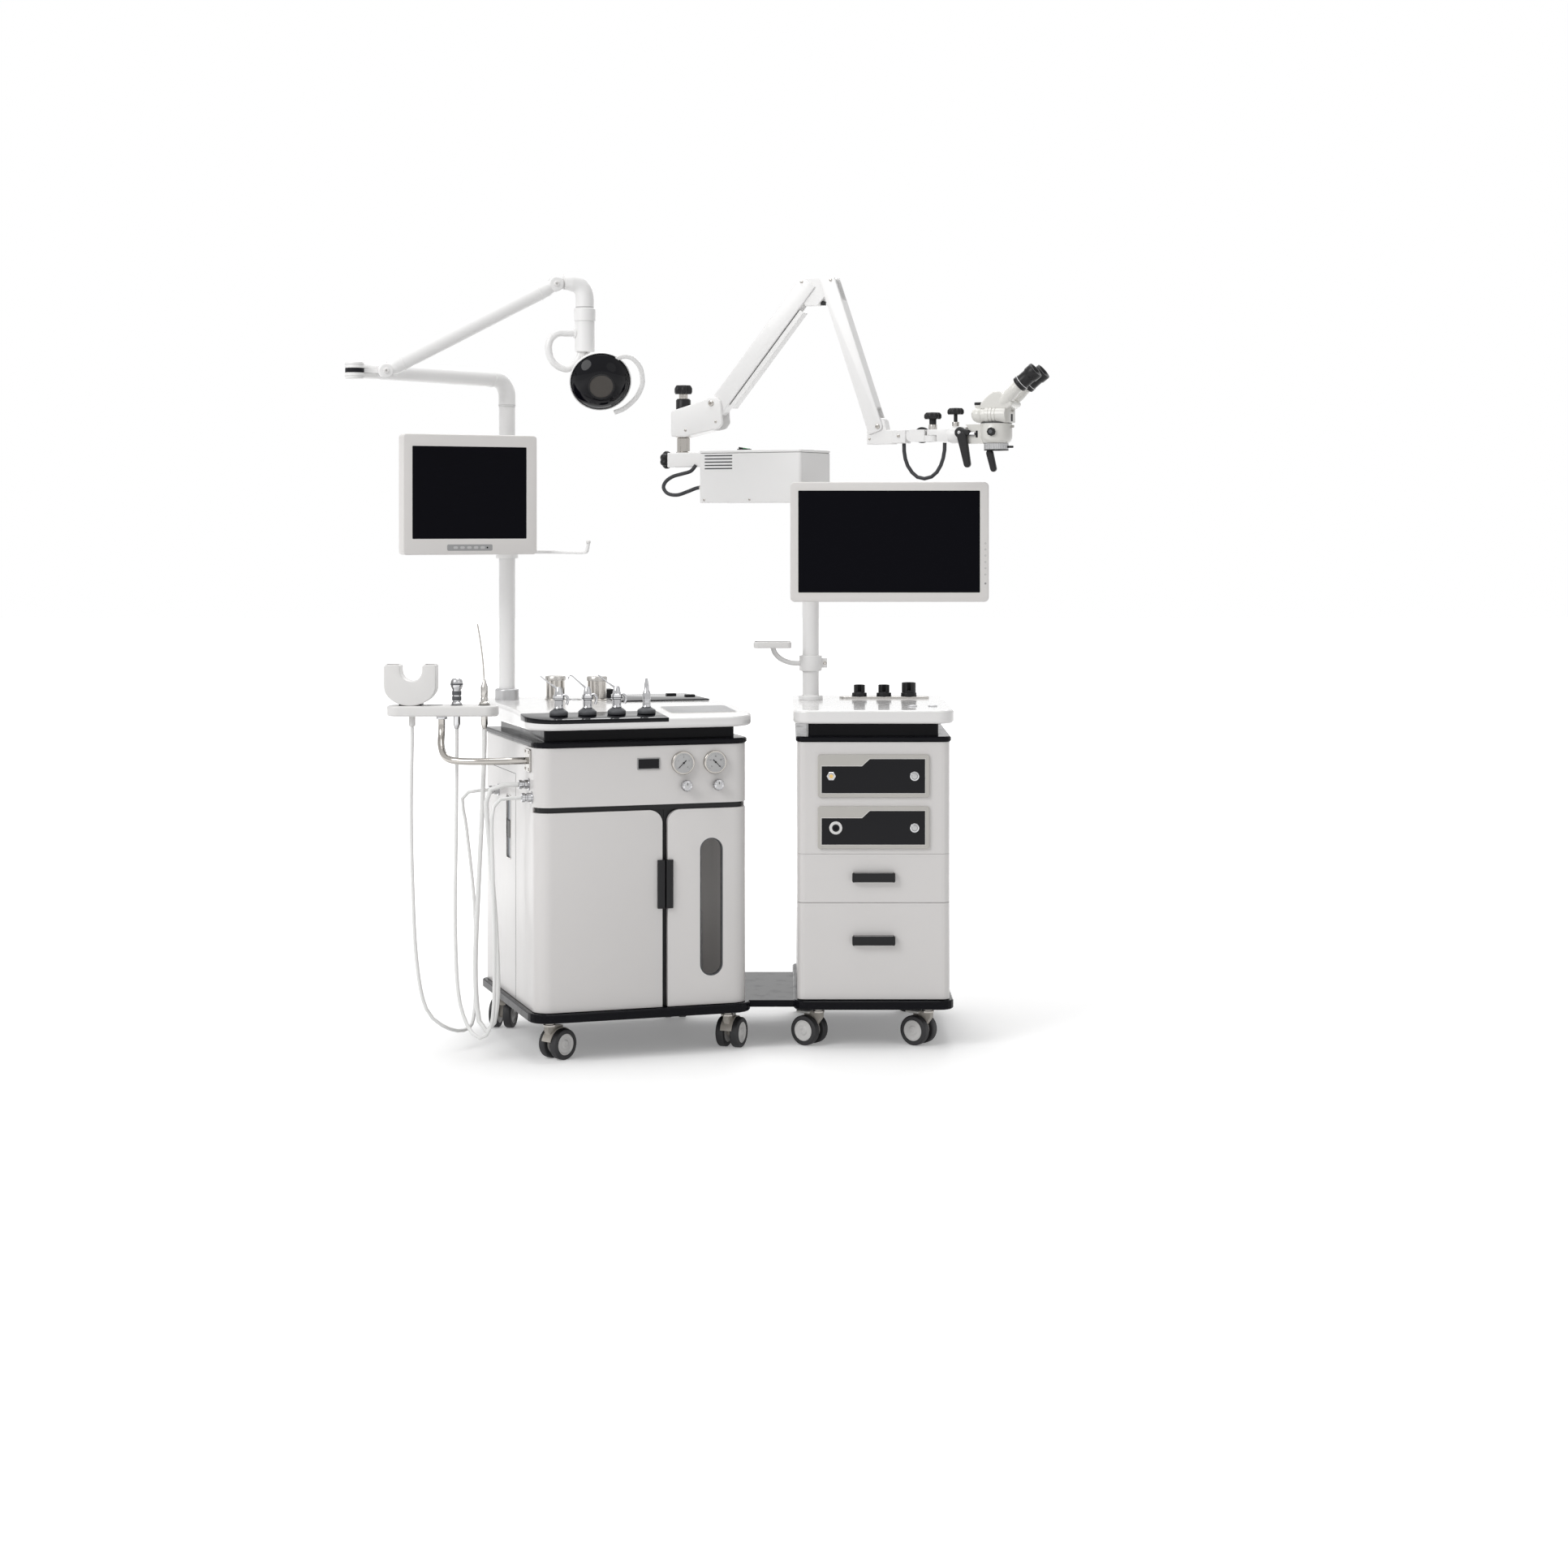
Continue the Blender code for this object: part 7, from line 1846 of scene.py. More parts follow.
        for number, (x, y) in enumerate(((488, 492), (522, 432)), 1):
            switch = self.raised(prism(rounded((x - 13, x + 13, y - 9, y + 9), 3, 3, 5), 843.6, 850.8))
            bench.add(f"rear_switch_{number}", switch, BLACK_PLASTIC, 1.6, 3)
        bench.add("jar_gap_ring", ring(19.0, 21.0, 841.0, 843.2, 0.5), CHROME,
                  at=Facing.UP.at(214, 448, self.rise))
        for number, (x, y) in enumerate(((170, 470), (268, 420)), 1):
            spot = Facing.UP.at(x, y, TOP + self.rise)
            shape = [(0, -1), (27.0, -1), (27.6, 0.6), (27.0, 2.4), (24.6, 3.4), (24.6, 50), (0, 50)]
            bench.add(f"jar_{number}", lathe(shape, 64), POLISHED, at=spot, smooth=50)
            lid = [(0, 49.6), (26.2, 49.6), (27, 50.6), (27, 58.4), (25.6, 61), (20, 62), (0, 62)]
            bench.add(f"jar_lid_{number}", lathe(lid, 64), STEEL, at=spot, smooth=30)
        self.tools()

    def sloped(self, form: Form) -> Form:
        """Bends a worktop piece to the top's slope.

        Args:
            form: The piece.

        Returns:
            The form.
        """
        return crowned(form, TOP - 30.0, TOP, list(self.crown))

    def raised(self, form: Form) -> Form:
        """Lifts a piece that stands on the worktop's rear part.

        Args:
            form: The piece.

        Returns:
            The form.
        """
        return moved(form, Matrix.Translation((0.0, 0.0, self.rise)))

    def tools(self) -> None:
        """Three spray guns and the air nozzle in the deck's holders."""
        for number, x in enumerate(self.tool_x[:3]):
            body = f"spray_gun_{number + 1}"
            bench = Bench(self.frame, body, body)
            spot = Facing.UP.at(x, self.tool_y, TOP)
            holder = lathe([(9.6, -5.2), (21.6, -5.2), (22.6, -4.2), (22.6, 3.4), (21.2, 5), (15, 10),
                            (9.6, 12.8)], 64, closed=True)
            bench.add(body + "_holder", holder, GREY_RUBBER, at=spot, smooth=50)
            shape = [(0, -18), (8.7, -18), (8.7, 10), (12.6, 13), (11, 16), (11, 31), (13.8, 33.4),
                     (13.8, 43.6), (10.4, 46), (9.8, 50), (8, 60), (6, 64), (0, 64.6)]
            bench.add(body + "_shell", lathe(shape, 48), CHROME, at=spot, stands_for=[body], smooth=40)
            bench.add(body + "_band", ring(11.0, 14.3, 35.6, 37.4, 0.4), GREY_RUBBER, at=spot)
            lever = smooth_route(((3, -2, 41), (13, -7, 45.5), (19.5, -11, 39), (19.4, -12, 31),
                                  (17, -11, 22)), 1.6)
            radii = [1.8 + 1.5 * min(1.0, i / 8) for i in range(len(lever))]
            bench.add(body + "_lever", tube(lever, radii, 20), CHROME, at=spot, smooth=60)
            tip = [(0, 0, 54), (-4, 1, 60), (-12, 3, 66.5), (-24, 6.5, 75), (-44, 10, 92)]
            if number == 1:
                tip = [(0, 0, 54), (-5, 1, 62), (-16, 4, 72), (-30, 7, 85), (-39, 9, 92), (-44, 10, 89),
                       (-45, 10, 83)]
            points = smooth_route(tip, 1.6)
            radii = [3.4 - 1.6 * min(1.0, i / (len(points) * 0.45)) for i in range(len(points))]
            bench.add(body + "_tip", tube(points, radii, 20), CHROME, at=spot, smooth=60)
        bench = Bench(self.frame, "air_nozzle", "air_nozzle")
        spot = Facing.UP.at(self.tool_x[3], self.tool_y, TOP)
        holder = lathe([(9.6, -5.2), (21.6, -5.2), (22.6, -4.2), (22.6, 3.4), (21.2, 5), (14, 9),
                        (9.6, 12.0)], 64, closed=True)
        bench.add("air_nozzle_holder", holder, GREY_RUBBER, at=spot, smooth=50)
        shape = [(0, -18), (8.7, -18), (8.7, 9), (11.6, 12), (10, 15), (10, 24), (9.2, 24.8), (9.2, 26.4),
                 (10, 27.2), (10, 45), (8.6, 49), (6.2, 53), (6, 66), (4.6, 72), (3.2, 82), (0, 82.4)]
        bench.add("air_nozzle_shell", lathe(shape, 48), CHROME, at=spot, stands_for=["air_nozzle"],
                  smooth=40)

    def back(self) -> None:
        """Rear service panel with vents and screws."""
        bench = Bench(self.frame, "cabinets", "treatment_shell")
        bench.add("treatment_back_panel", plate(rounded((60, 500, 200, 720), 8, 8), 574.2, 576.4),
                  WHITE_LACQUER, 0.8)
        bench.vents("treatment_vent", 10, 13, (180, 380, 560, 565), (2.4, 8), (575.8, 576.8))
        corners = [(x, 576.4, z) for z in (210, 710) for x in (70, 490)]
        bench.screws("treatment_back_screw", Facing.BACK, corners, 4.0)


@dataclass
class Lamp:
    """Examination lamp: pole, lower arm, spring arm, drop tube and the lamp head."""

    layout: Layout
    radius: float = 21.0
    arm_z: float = 1679.0
    spring: tuple[Pair, Pair] = ((74.0, 1677.0), (498.0, 1900.0))
    drop_x: float = 573.6
    tilt_z: float = 1724.0
    centre: Triple = (599.0, -58.0, 1658.0)

    def build(self) -> None:
        """Makes the lamp from its foot to its head."""
        foot = self.layout.lamp_pole()
        bench = Bench(foot, "cabinets", "lamp_pole")
        bench.add("lamp_foot", lathe([(0, 846), (31, 846), (31, 873.4)] + arc(26, 873.4, 5, 0, 90, 5)
                                     + [(21.4, 878.4), (0, 878.4)], 64), SILVER, smooth=50)
        bench.add("lamp_mast", lathe([(0, 860), (21, 860), (21, 1607.4), (20.4, 1608), (0, 1608)], 64),
                  WHITE_COAT, stands_for=["lamp_pole"])
        self.lower(foot)
        self.frame = self.layout.turned(*self.layout.lamp)
        self.knuckle()
        self.spring_arm()
        self.drop()
        self.head()

    def lower(self, foot: Matrix) -> None:
        """Lower arm that turns on the pole's top and ends in the knuckle's fork.

        Args:
            foot: Frame of the lamp pole.
        """
        start = foot @ Vector((0, 0, 0))
        way = self.layout.turned(*self.layout.lamp[:2]) @ Vector((0, 0, 0)) - start
        long = way.length
        place = Matrix.Translation(start) @ Matrix.Rotation(math.atan2(way.y, way.x), 4, "Z")
        bench = Bench(place, "lamp_lower_arm", "lamp_lower_arm")
        z = self.arm_z
        rise = [(0, 0, 1608.3), (0, 0, 1620)] + [(px, 0, pz) for px, pz in arc(46, z - 46, 46, 180, 90, 14)]
        points = rise + [(long * s, 0, z) for s in (0.5, 0.72, 0.76, 0.8, 0.9)] + [(long - 12, 0, z)]
        radii = [22.0] * len(rise) + [21.3, 20.8, 20.6, 20.4, 20.2, 20.0]
        tube_form = tube(points, radii, 48)
        head = moved(drum(23.7, 1656.6, 1699, 4.0, 64), Facing.UP.at(long, 0, 0))
        slot = moved(drum(44, 1671, 1683, 0, 64), Facing.UP.at(long, 0, 0))
        bench.add("lamp_lower_tube", cut(fused(tube_form, head), slot), WHITE_COAT,
                  stands_for=["lamp_lower_arm"], smooth=35)
        bench.add("lamp_arm_collar", ring(20.0, 22.8, -1.5, 1.5, 0.8, 64), WHITE_COAT,
                  at=Facing.RIGHT.at(62, 0, z))
        bench.add("lamp_mast_seam", ring(20.0, 22.4, 1611.6, 1612.6, 0.2, 64), SOFT_SEAM)
        bench.add("knuckle_rivet", drum(5, 1668, 1686, 0.3, 32), POLISHED, at=Facing.UP.at(long, 0, 0))
        for number, level in enumerate((1663.0, 1691.0), 1):
            bench.add(f"knuckle_line_{number}", ring(22.0, 23.86, -0.5, 0.5, 0.2, 64), SOFT_SEAM,
                      at=Facing.UP.at(long, 0, level))

    def knuckle(self) -> None:
        """Knuckle between the two arms."""
        bench = Bench(self.frame, "lamp_knuckle", "lamp_knuckle")
        ax, az = self.spring[0]
        form = fused(drum(22, 1671.3, 1682.7, 0, 64), box(0, ax - 6, -6, 6, 1671.6, 1682.4),
                     across(17, -6.5, 6.5, ax, az))
        bench.add("knuckle", cut(bevelled(form, 0.8, 2, 50), drum(PIN_BORE, 1600, 1800, 0, 32)), WHITE_COAT,
                  stands_for=["lamp_knuckle"])
        # Dark ring that fills the slot: painted shade inside the slot of the lower arm's drum.
        bench.add("knuckle_core", ring(5.6, 23.0, 1671.8, 1682.2, 0.4, 64), INK_AND_SLOT_SHADE)

    def spring_arm(self) -> None:
        """Upper arm with its forked end caps."""
        bench = Bench(self.frame, "lamp_spring_arm", "lamp_spring_arm")
        a, b = (Vector((x, 0, z)) for x, z in self.spring)
        way = (b - a).normalized()
        bar = tube([a + way * s for s in (4, 14, 24, 32)] + [b - way * s for s in (32, 24, 14, 4)],
                   [13, 17, 19.4, 20, 20, 19.4, 17, 13], 48)
        ends = [across(18.6, -18, 18, p.x, p.z, 4) for p in (a, b)]
        slots = [across(21, -6.8, 6.8, p.x, p.z) for p in (a, b)]
        bench.add("spring_arm", cut(fused(bar, *ends), *slots), WHITE_COAT, stands_for=["lamp_spring_arm"],
                  smooth=35)
        turn = way.to_track_quat("Z", "Y").to_matrix().to_4x4()
        for number, spot in enumerate((a + way * 46, b - way * 46), 1):
            bench.add(f"spring_arm_ring_{number}", ring(18, 20.9, -1.2, 1.2, 0.6, 64), WHITE_COAT,
                      at=Matrix.Translation(spot) @ turn)
        for number, spot in enumerate((a, b), 1):
            for label, facing, y in (("front", Facing.FRONT, -18.0), ("back", Facing.BACK, 18.0)):
                bench.screw(f"spring_pin_{number}_{label}", facing.at(spot.x, y, spot.z), 7.0,
                            WHITE_PLASTIC)
            bench.add(f"spring_pin_{number}", across(5, -12, 12, spot.x, spot.z, 0.3, 32), POLISHED)

    def drop(self) -> None:
        """Elbow and drop tube with its finger loop."""
        bench = Bench(self.frame, "lamp_elbow", "lamp_elbow")
        route = ((520, 1906), (540, 1906), (558, 1900), (570, 1886), (573.6, 1868), (573.6, 1842.3))
        points = smooth_route([(x, 0, z) for x, z in route], 3.0)
        bend = tube(points, [19.0 + 3.5 * min(1.0, i / 6) for i in range(len(points))], 48)
        bx, bz = self.spring[1]
        eye = fused(across(15.5, -6.5, 6.5, bx, bz), box(bx, 528, -6.5, 6.5, 1889, 1914))
        bench.add("lamp_elbow", fused(bend, bevelled(eye, 0.8, 2, 50)), WHITE_COAT,
                  stands_for=["lamp_elbow"], smooth=35)
        bench.add("elbow_ring", ring(21.0, 22.8, -1.0, 1.0, 0.3, 64), SOFT_SEAM,
                  at=Facing.UP.at(self.drop_x, 0, 1844.4))
        bench = Bench(self.frame, "lamp_drop_tube", "lamp_drop_tube")
        shape = [(0, 1733), (23.4, 1733), (24.6, 1734.4), (24.6, 1808.4), (23.8, 1809.2), (23.8, 1810),
                 (26, 1810.4), (26.7, 1811.6), (26.7, 1840.4), (25.6, 1841.7), (0, 1841.7)]
        spot = Facing.UP.at(self.drop_x, 0, 0)
        bench.add("drop_tube", lathe(shape, 64), WHITE_COAT, at=spot, stands_for=["lamp_drop_tube"],
                  smooth=30)
        bench.add("drop_tube_boss", ring(8.0, 12.0, 22.0, 28.0, 1.4, 48), WHITE_COAT,
                  at=Facing.LEFT.at(self.drop_x, 0, 1779))
        loop = smooth_route(
            [(x, 0, z) for x, z in ((560, 1779), (530, 1779), (505, 1778), (487, 1764), (481, 1740),
                                    (488, 1714), (505, 1697), (528, 1690), (546, 1700), (558, 1716),
                                    (566, 1738), (573, 1748))], 4.0)
        bench.add("finger_loop", tube(loop, 9.0, 28), WHITE_COAT, smooth=60)
        for number, (near, far) in enumerate(((-10.8, -3.8), (3.8, 10.8)), 1):
            ear = fused(moved(drum(12, near, far, 0, 48), Facing.RIGHT.at(self.drop_x, 0, self.tilt_z)),
                        box(self.drop_x + near, self.drop_x + far, -11, 11, self.tilt_z, 1742))
            bench.add(f"tilt_ear_{number}", bevelled(ear, 0.8, 2, 50), WHITE_COAT)
        bench.screw("tilt_screw", Facing.RIGHT.at(self.drop_x + 10.8, 0, self.tilt_z), 5.0)

    def head(self) -> None:
        """Lamp bowl with its mirror, lens and handle."""
        bench = Bench(self.frame, "lamp_head", "lamp_head")
        aim = (Matrix.Translation(self.centre) @ spin(8 - 18.1) @ spin(24, "X") @ spin(-90, "X"))
        bowl = [(0, 52), (12, 51.4), (22, 50), (35, 46.6), (46, 42), (57, 34), (66, 24), (72, 14.4),
                (76, 6), (77, 0), (77, -2.6), (76.2, -4), (74.6, -4), (74, -3), (73.6, 2), (0, 30)]
        bench.add("lamp_bowl", lathe(bowl, 96), WHITE_COAT, at=aim, stands_for=["lamp_head"], smooth=40)
        dome = [(0, -36), (33.5, -35), (42, -31.4), (50, -26.8), (58, -20.6), (65, -13.2), (70.4, -6.4),
                (73, -2.4), (73, 6), (0, 6)]
        bench.add("lamp_dome", lathe(dome, 96), BLACK_GLASS, at=aim, smooth=50)
        bench.add("lamp_lens_ring", ring(29.4, 32.6, -38.2, -33.0, 0.9, 64), BLACK_PLASTIC, at=aim)
        bench.add("lamp_lens", lathe([(0, -37.2), (28.8, -37.2), (29.5, -36.6), (29.5, -30), (0, -30)], 64),
                  LENS, at=aim, smooth=30)
        for number in range(6):
            angle = 30 + number * 18
            fin = box(50, 64, -1.2, 1.2, 24, 37.6)
            # Dark fins: painted shade inside the vent openings of the bowl.
            bench.add(f"lamp_vent_{number + 1}", moved(fin, spin(angle)), PAINTED_GAP_SHADE, at=aim)
        neck = fused(moved(drum(12, -3.5, 3.5, 0, 48), Facing.RIGHT.at(self.drop_x, 0, self.tilt_z)),
                     box(self.drop_x - 3.5, self.drop_x + 3.5, -30, 10, 1688, self.tilt_z))
        bench.add("lamp_neck", bevelled(neck, 0.8, 2, 50), WHITE_PLASTIC)
        turns = ((58, 70), (52, 83), (44, 94), (35, 100), (20, 104), (0, 104.5), (-15, 102), (-30, 98.5),
                 (-50, 94.5), (-66, 91))
        spots = [(r * math.cos(math.radians(a)), -r * math.sin(math.radians(a)), 0.0) for a, r in turns]
        route = smooth_route(spots, 3.5)
        levels = []
        for before, here, after in zip([route[0]] + route, route, route[1:] + [route[-1]]):
            side = (after - before).normalized().cross(Vector((0, 0, 1)))
            levels.append(
                [tuple(here + side * u + Vector((0, 0, w)))
                 for u, w in rounded((-6, 6, -4.5, 4.5), 3, 3, 4)])
        bench.add("lamp_handle", rings(levels), WHITE_COAT, at=aim, smooth=50)


@dataclass
class PatientMonitor:
    """Screen on the lamp pole that faces the patient."""

    layout: Layout
    place: Quad = (-795.0, 100.0, 28.0, 1378.0)
    half: Triple = (179.5, 151.0, 17.0)
    screen: Quad = (-155.5, 151.0, -111.0, 121.0)
    hook_z: float = 1232.0
    rings: Pair = (1215.0, 1400.0)

    def build(self) -> None:
        """Makes the screen, its clamp and the hook rod."""
        face = self.layout.turned(*self.place)
        bench = Bench(face, "patient_monitor", "patient_monitor")
        wide, high, deep = self.half
        x0, x1, z0, z1 = self.screen
        body = bevelled(plate(rounded((-wide, wide, -high, high), 10, 10, 8), -deep + 0.4, deep), 3.0, 4)
        hole = plate(rounded((x0, x1, z0, z1), 2, 2, 4), -deep - 5, -deep + 3.2)
        bench.add("patient_screen_frame", cut(body, hole), WARM_BEZEL, stands_for=["patient_monitor"])
        bench.add("patient_screen_panel",
                  plate(rounded((x0, x1, z0, z1), 2, 2, 4), -deep + 1.6, -deep + 3.6), SCREEN)
        bench.add("patient_key_strip",
                  plate(rounded((-63.6, 58, -141, -125), 4, 4), -deep + 0.1, -deep + 1.4), GREY_PANEL, 0.4)
        for number, x in enumerate((-41.0, -23.0, -4.5, 13.5, 31.4), 1):
            key = plate(rounded((x - 6, x + 6, -136.4, -129.6), 3, 3, 6), -deep - 0.5, -deep + 1.0)
            bench.add(f"patient_key_{number}", key, GREY_KEY, 0.4, 2)
        bench.add("patient_key_lamp", drum(2.2, 0, 0.6, 0.2, 24), INK_AND_SLOT_SHADE,
                  at=Facing.FRONT.at(44, -deep + 0.2, -133))
        back = plate(rounded((-100, 100, -80, 80), 12, 12), deep - 1, deep + 24)
        bench.add("patient_screen_boss", back, WARM_BEZEL, 4.0, 4)
        depth = (deep + 23.6, deep + 24.3)
        bench.vents("patient_screen_vent", 8, 6, (-78, 78, 20, 22.6), (1.2, 3), depth)
        pole = self.layout.lamp_pole()
        target = pole.inverted() @ (face @ Vector((0, deep + 22, 0)))
        reach = math.hypot(target.x, target.y)
        turn = Matrix.Rotation(math.atan2(target.y, target.x), 4, "Z")
        clamp = Bench(pole, "patient_monitor", "patient_monitor")
        z = self.place[3]
        arm = bevelled(box(10, reach, -15, 15, z - 30, z + 30), 3.0, 3)
        arm = cut(arm, drum(21.6, 1000, 1800, 0, 64))
        clamp.add("patient_screen_arm", arm, WHITE_COAT, at=turn)
        clamp.add("patient_screen_ring", ring(21.3, 29.0, *self.rings, 2.5, 64), WHITE_COAT, smooth=50)
        for number, level in enumerate((1250.0, 1300.0), 1):
            spot = spin(200) @ Facing.RIGHT.at(29.0, 0, level)
            clamp.screw(f"patient_ring_screw_{number}", spot, 4.4)
        route = smooth_route(
            [(px, py, self.hook_z + pz) for px, py, pz in ((0, -24, 0), (20, -30, 0), (60, -60, 0),
                    (128, -128, 0), (166, -160, 0), (172, -166, 8), (174, -168, 28))], 4.0)
        clamp.add("hook_rod", tube(route, 4.5, 20), WHITE_COAT, smooth=60)
        clamp.add("hook_rod_end", lathe([(0, -6)] + arc(0, 0, 6.0, -60, 90, 8)[1:-1] + [(0, 6)], 24),
                  WHITE_PLASTIC, at=Matrix.Translation(route[-1]) @ Matrix.Translation((0, 0, -2)))


@dataclass
class ToolRack:
    """Bar at the cabinet's left side with the ear cup, irrigator and suction handpiece."""

    layout: Layout
    bar: Quad = (-977.0, -703.0, -88.0, -20.0)
    levels: Pair = (832.0, 858.0)
    cup: Pair = (-916.0, -54.0)
    holes: Pair = (-806.0, -738.0)
    hole_y: float = -54.0
    post: Pair = (-843.0, -54.0)

    def build(self) -> None:
        """Makes the rack, its support and both handpieces."""
        frame_here = self.layout.turned(0.0, 0.0)
        bench = Bench(frame_here, "cabinets", "tool_rack")
        low, high = self.levels
        slab = bevelled(prism(rounded(self.bar, 30, 30, 12), low, high), 5.0, 4)
        tools = [moved(drum(9.0, 700, 900, 0, 40), Facing.UP.at(x, self.hole_y, 0)) for x in self.holes]
        bench.add("rack_bar", cut(slab, *tools), WHITE_PLASTIC, stands_for=["tool_rack"])
        for number, x in enumerate(self.holes, 1):
            bench.add(f"rack_ring_{number}", ring(9.2, 15.0, high - 0.8, high + 0.9, 0.4), BLACK_PLASTIC,
                      at=Facing.UP.at(x, self.hole_y, 0))
        bench.add("rack_slot", prism(rounded((-880, -840, -66, -42), 11, 11, 8), high - 0.6, high + 0.5),
                  BLACK_PLASTIC, 0.3)
        points = smooth_route(((-624, -116, 727), (-700, -140, 727), (-790, -132, 727), (-826, -110, 735),
                               (-841, -80, 760), (-843, -56, 795), (*self.post, 840)), 6.0)
        bench.add("rack_tube", tube(points, 8.5, 32), POLISHED, smooth=60)
        bench.add("rack_tube_collar", ring(8.0, 14.0, 824.0, 832.4, 1.4), CHROME,
                  at=Facing.UP.at(*self.post, 0))
        side = Bench(self.layout.turned(*self.layout.treat), "cabinets", "tool_rack")
        side.add("rack_bracket", side_plate(rounded((66, 116, 700, 756), 4, 4), 6.7, 11.7), STEEL, 0.9)
        corners = [(6.7, y, z) for z in (707, 749) for y in (73, 109)]
        side.screws("rack_bolt", Facing.LEFT, corners, 3.6)
        self.ear_cup(bench)
        self.irrigator(frame_here)
        self.suction(frame_here)

    def ear_cup(self, bench: Bench) -> None:
        """Open white cup with two raised sides, on a dark clip.

        Args:
            bench: Bench that makes it.
        """
        x, y = self.cup
        outer = [(-2 + 64 * px, 906 + 48 * pz) for px, pz in arc(0, 0, 1, 180, 360, 20)]
        outer += [(62, 955), (58, 959), (32, 959), (28, 955)] + arc(1, 945, 27, 0, -180, 14) + [(-26, 955),
            (-30, 959), (-62, 959), (-66, 955)]
        inner = [(-2 + 60 * px, 907 + 44 * pz) for px, pz in arc(0, 0, 1, 180, 360, 20)]
        inner += [(58, 975), (33, 975)] + arc(1, 945, 31, 0, -180, 14) + [(-31, 975), (-62, 975)]
        solid = bevelled(plate(outer, -30, 30), 3.0, 4, 60)
        hollow = plate(inner, -27, 27)
        bench.add("ear_cup", cut(solid, hollow), WHITE_PLASTIC, at=Matrix.Translation((x, y, 0)), smooth=45)
        bench.add("ear_cup_clip", prism(rounded((-30, 26, -24, 24), 6, 6, 6), 856.5, 866), BLACK_PLASTIC,
                  1.6, 3, at=Matrix.Translation((x, y, 0)))
        bench.add("ear_cup_spout", lathe([(0, 806), (6, 806), (8, 808), (8, 832.4), (0, 832.4)], 32),
                  WHITE_PLASTIC, at=Matrix.Translation((x, y, 0)))

    def irrigator(self, place: Matrix) -> None:
        """Chrome and grey handpiece with grip rings and a collar.

        Args:
            place: Frame of the rack.
        """
        bench = Bench(place, "irrigator_handpiece", "irrigator_handpiece")
        spot = Facing.UP.at(self.holes[0], self.hole_y, 0)
        shape = [(0, 800), (5, 800), (6, 803), (8.5, 812), (8.5, 858.2), (12.4, 858.8), (13, 860),
                 (13, 864.6), (11.6, 866), (10, 868), (10.4, 880), (11, 896), (12.6, 899), (15, 905),
                 (15, 916), (13, 921), (10, 924), (0, 924)]
        bench.add("irrigator_shell", lathe(shape, 48), CHROME, at=spot, stands_for=["irrigator_handpiece"],
                  smooth=40)
        for number, (near, far) in enumerate(((870, 880), (883, 893)), 1):
            bench.add(f"irrigator_grip_{number}", ring(10.0, 11.6, near, far, 0.6), GREY_RUBBER, at=spot)
        bench.add("irrigator_collar", ring(14.0, 15.5, 908, 912, 0.5), GREY_RUBBER, at=spot)

    def suction(self, place: Matrix) -> None:
        """Tapered steel handle with its long bent tube.

        Args:
            place: Frame of the rack.
        """
        bench = Bench(place, "suction_handpiece", "suction_handpiece")
        spot = Facing.UP.at(self.holes[1], self.hole_y, 0)
        shape = [(0, 800), (5, 800), (6, 803), (8.5, 812), (8.5, 858.2), (12.4, 858.8), (13, 860),
                 (13, 864.6), (11.6, 866), (9, 868), (9, 876), (8.4, 877), (8.4, 879), (9, 880), (9, 903),
                 (7.4, 907), (5, 914), (3, 922), (0, 922)]
        bench.add("suction_shell", lathe(shape, 48), STEEL, at=spot, stands_for=["suction_handpiece"],
                  smooth=40)
        route = smooth_route(((0, 0, 908), (-3, 0, 960), (-9, 0, 1010), (-17, 0, 1058)), 5.0)
        bench.add("suction_tip", tube(route, 1.9, 16), POLISHED, at=spot, smooth=60)


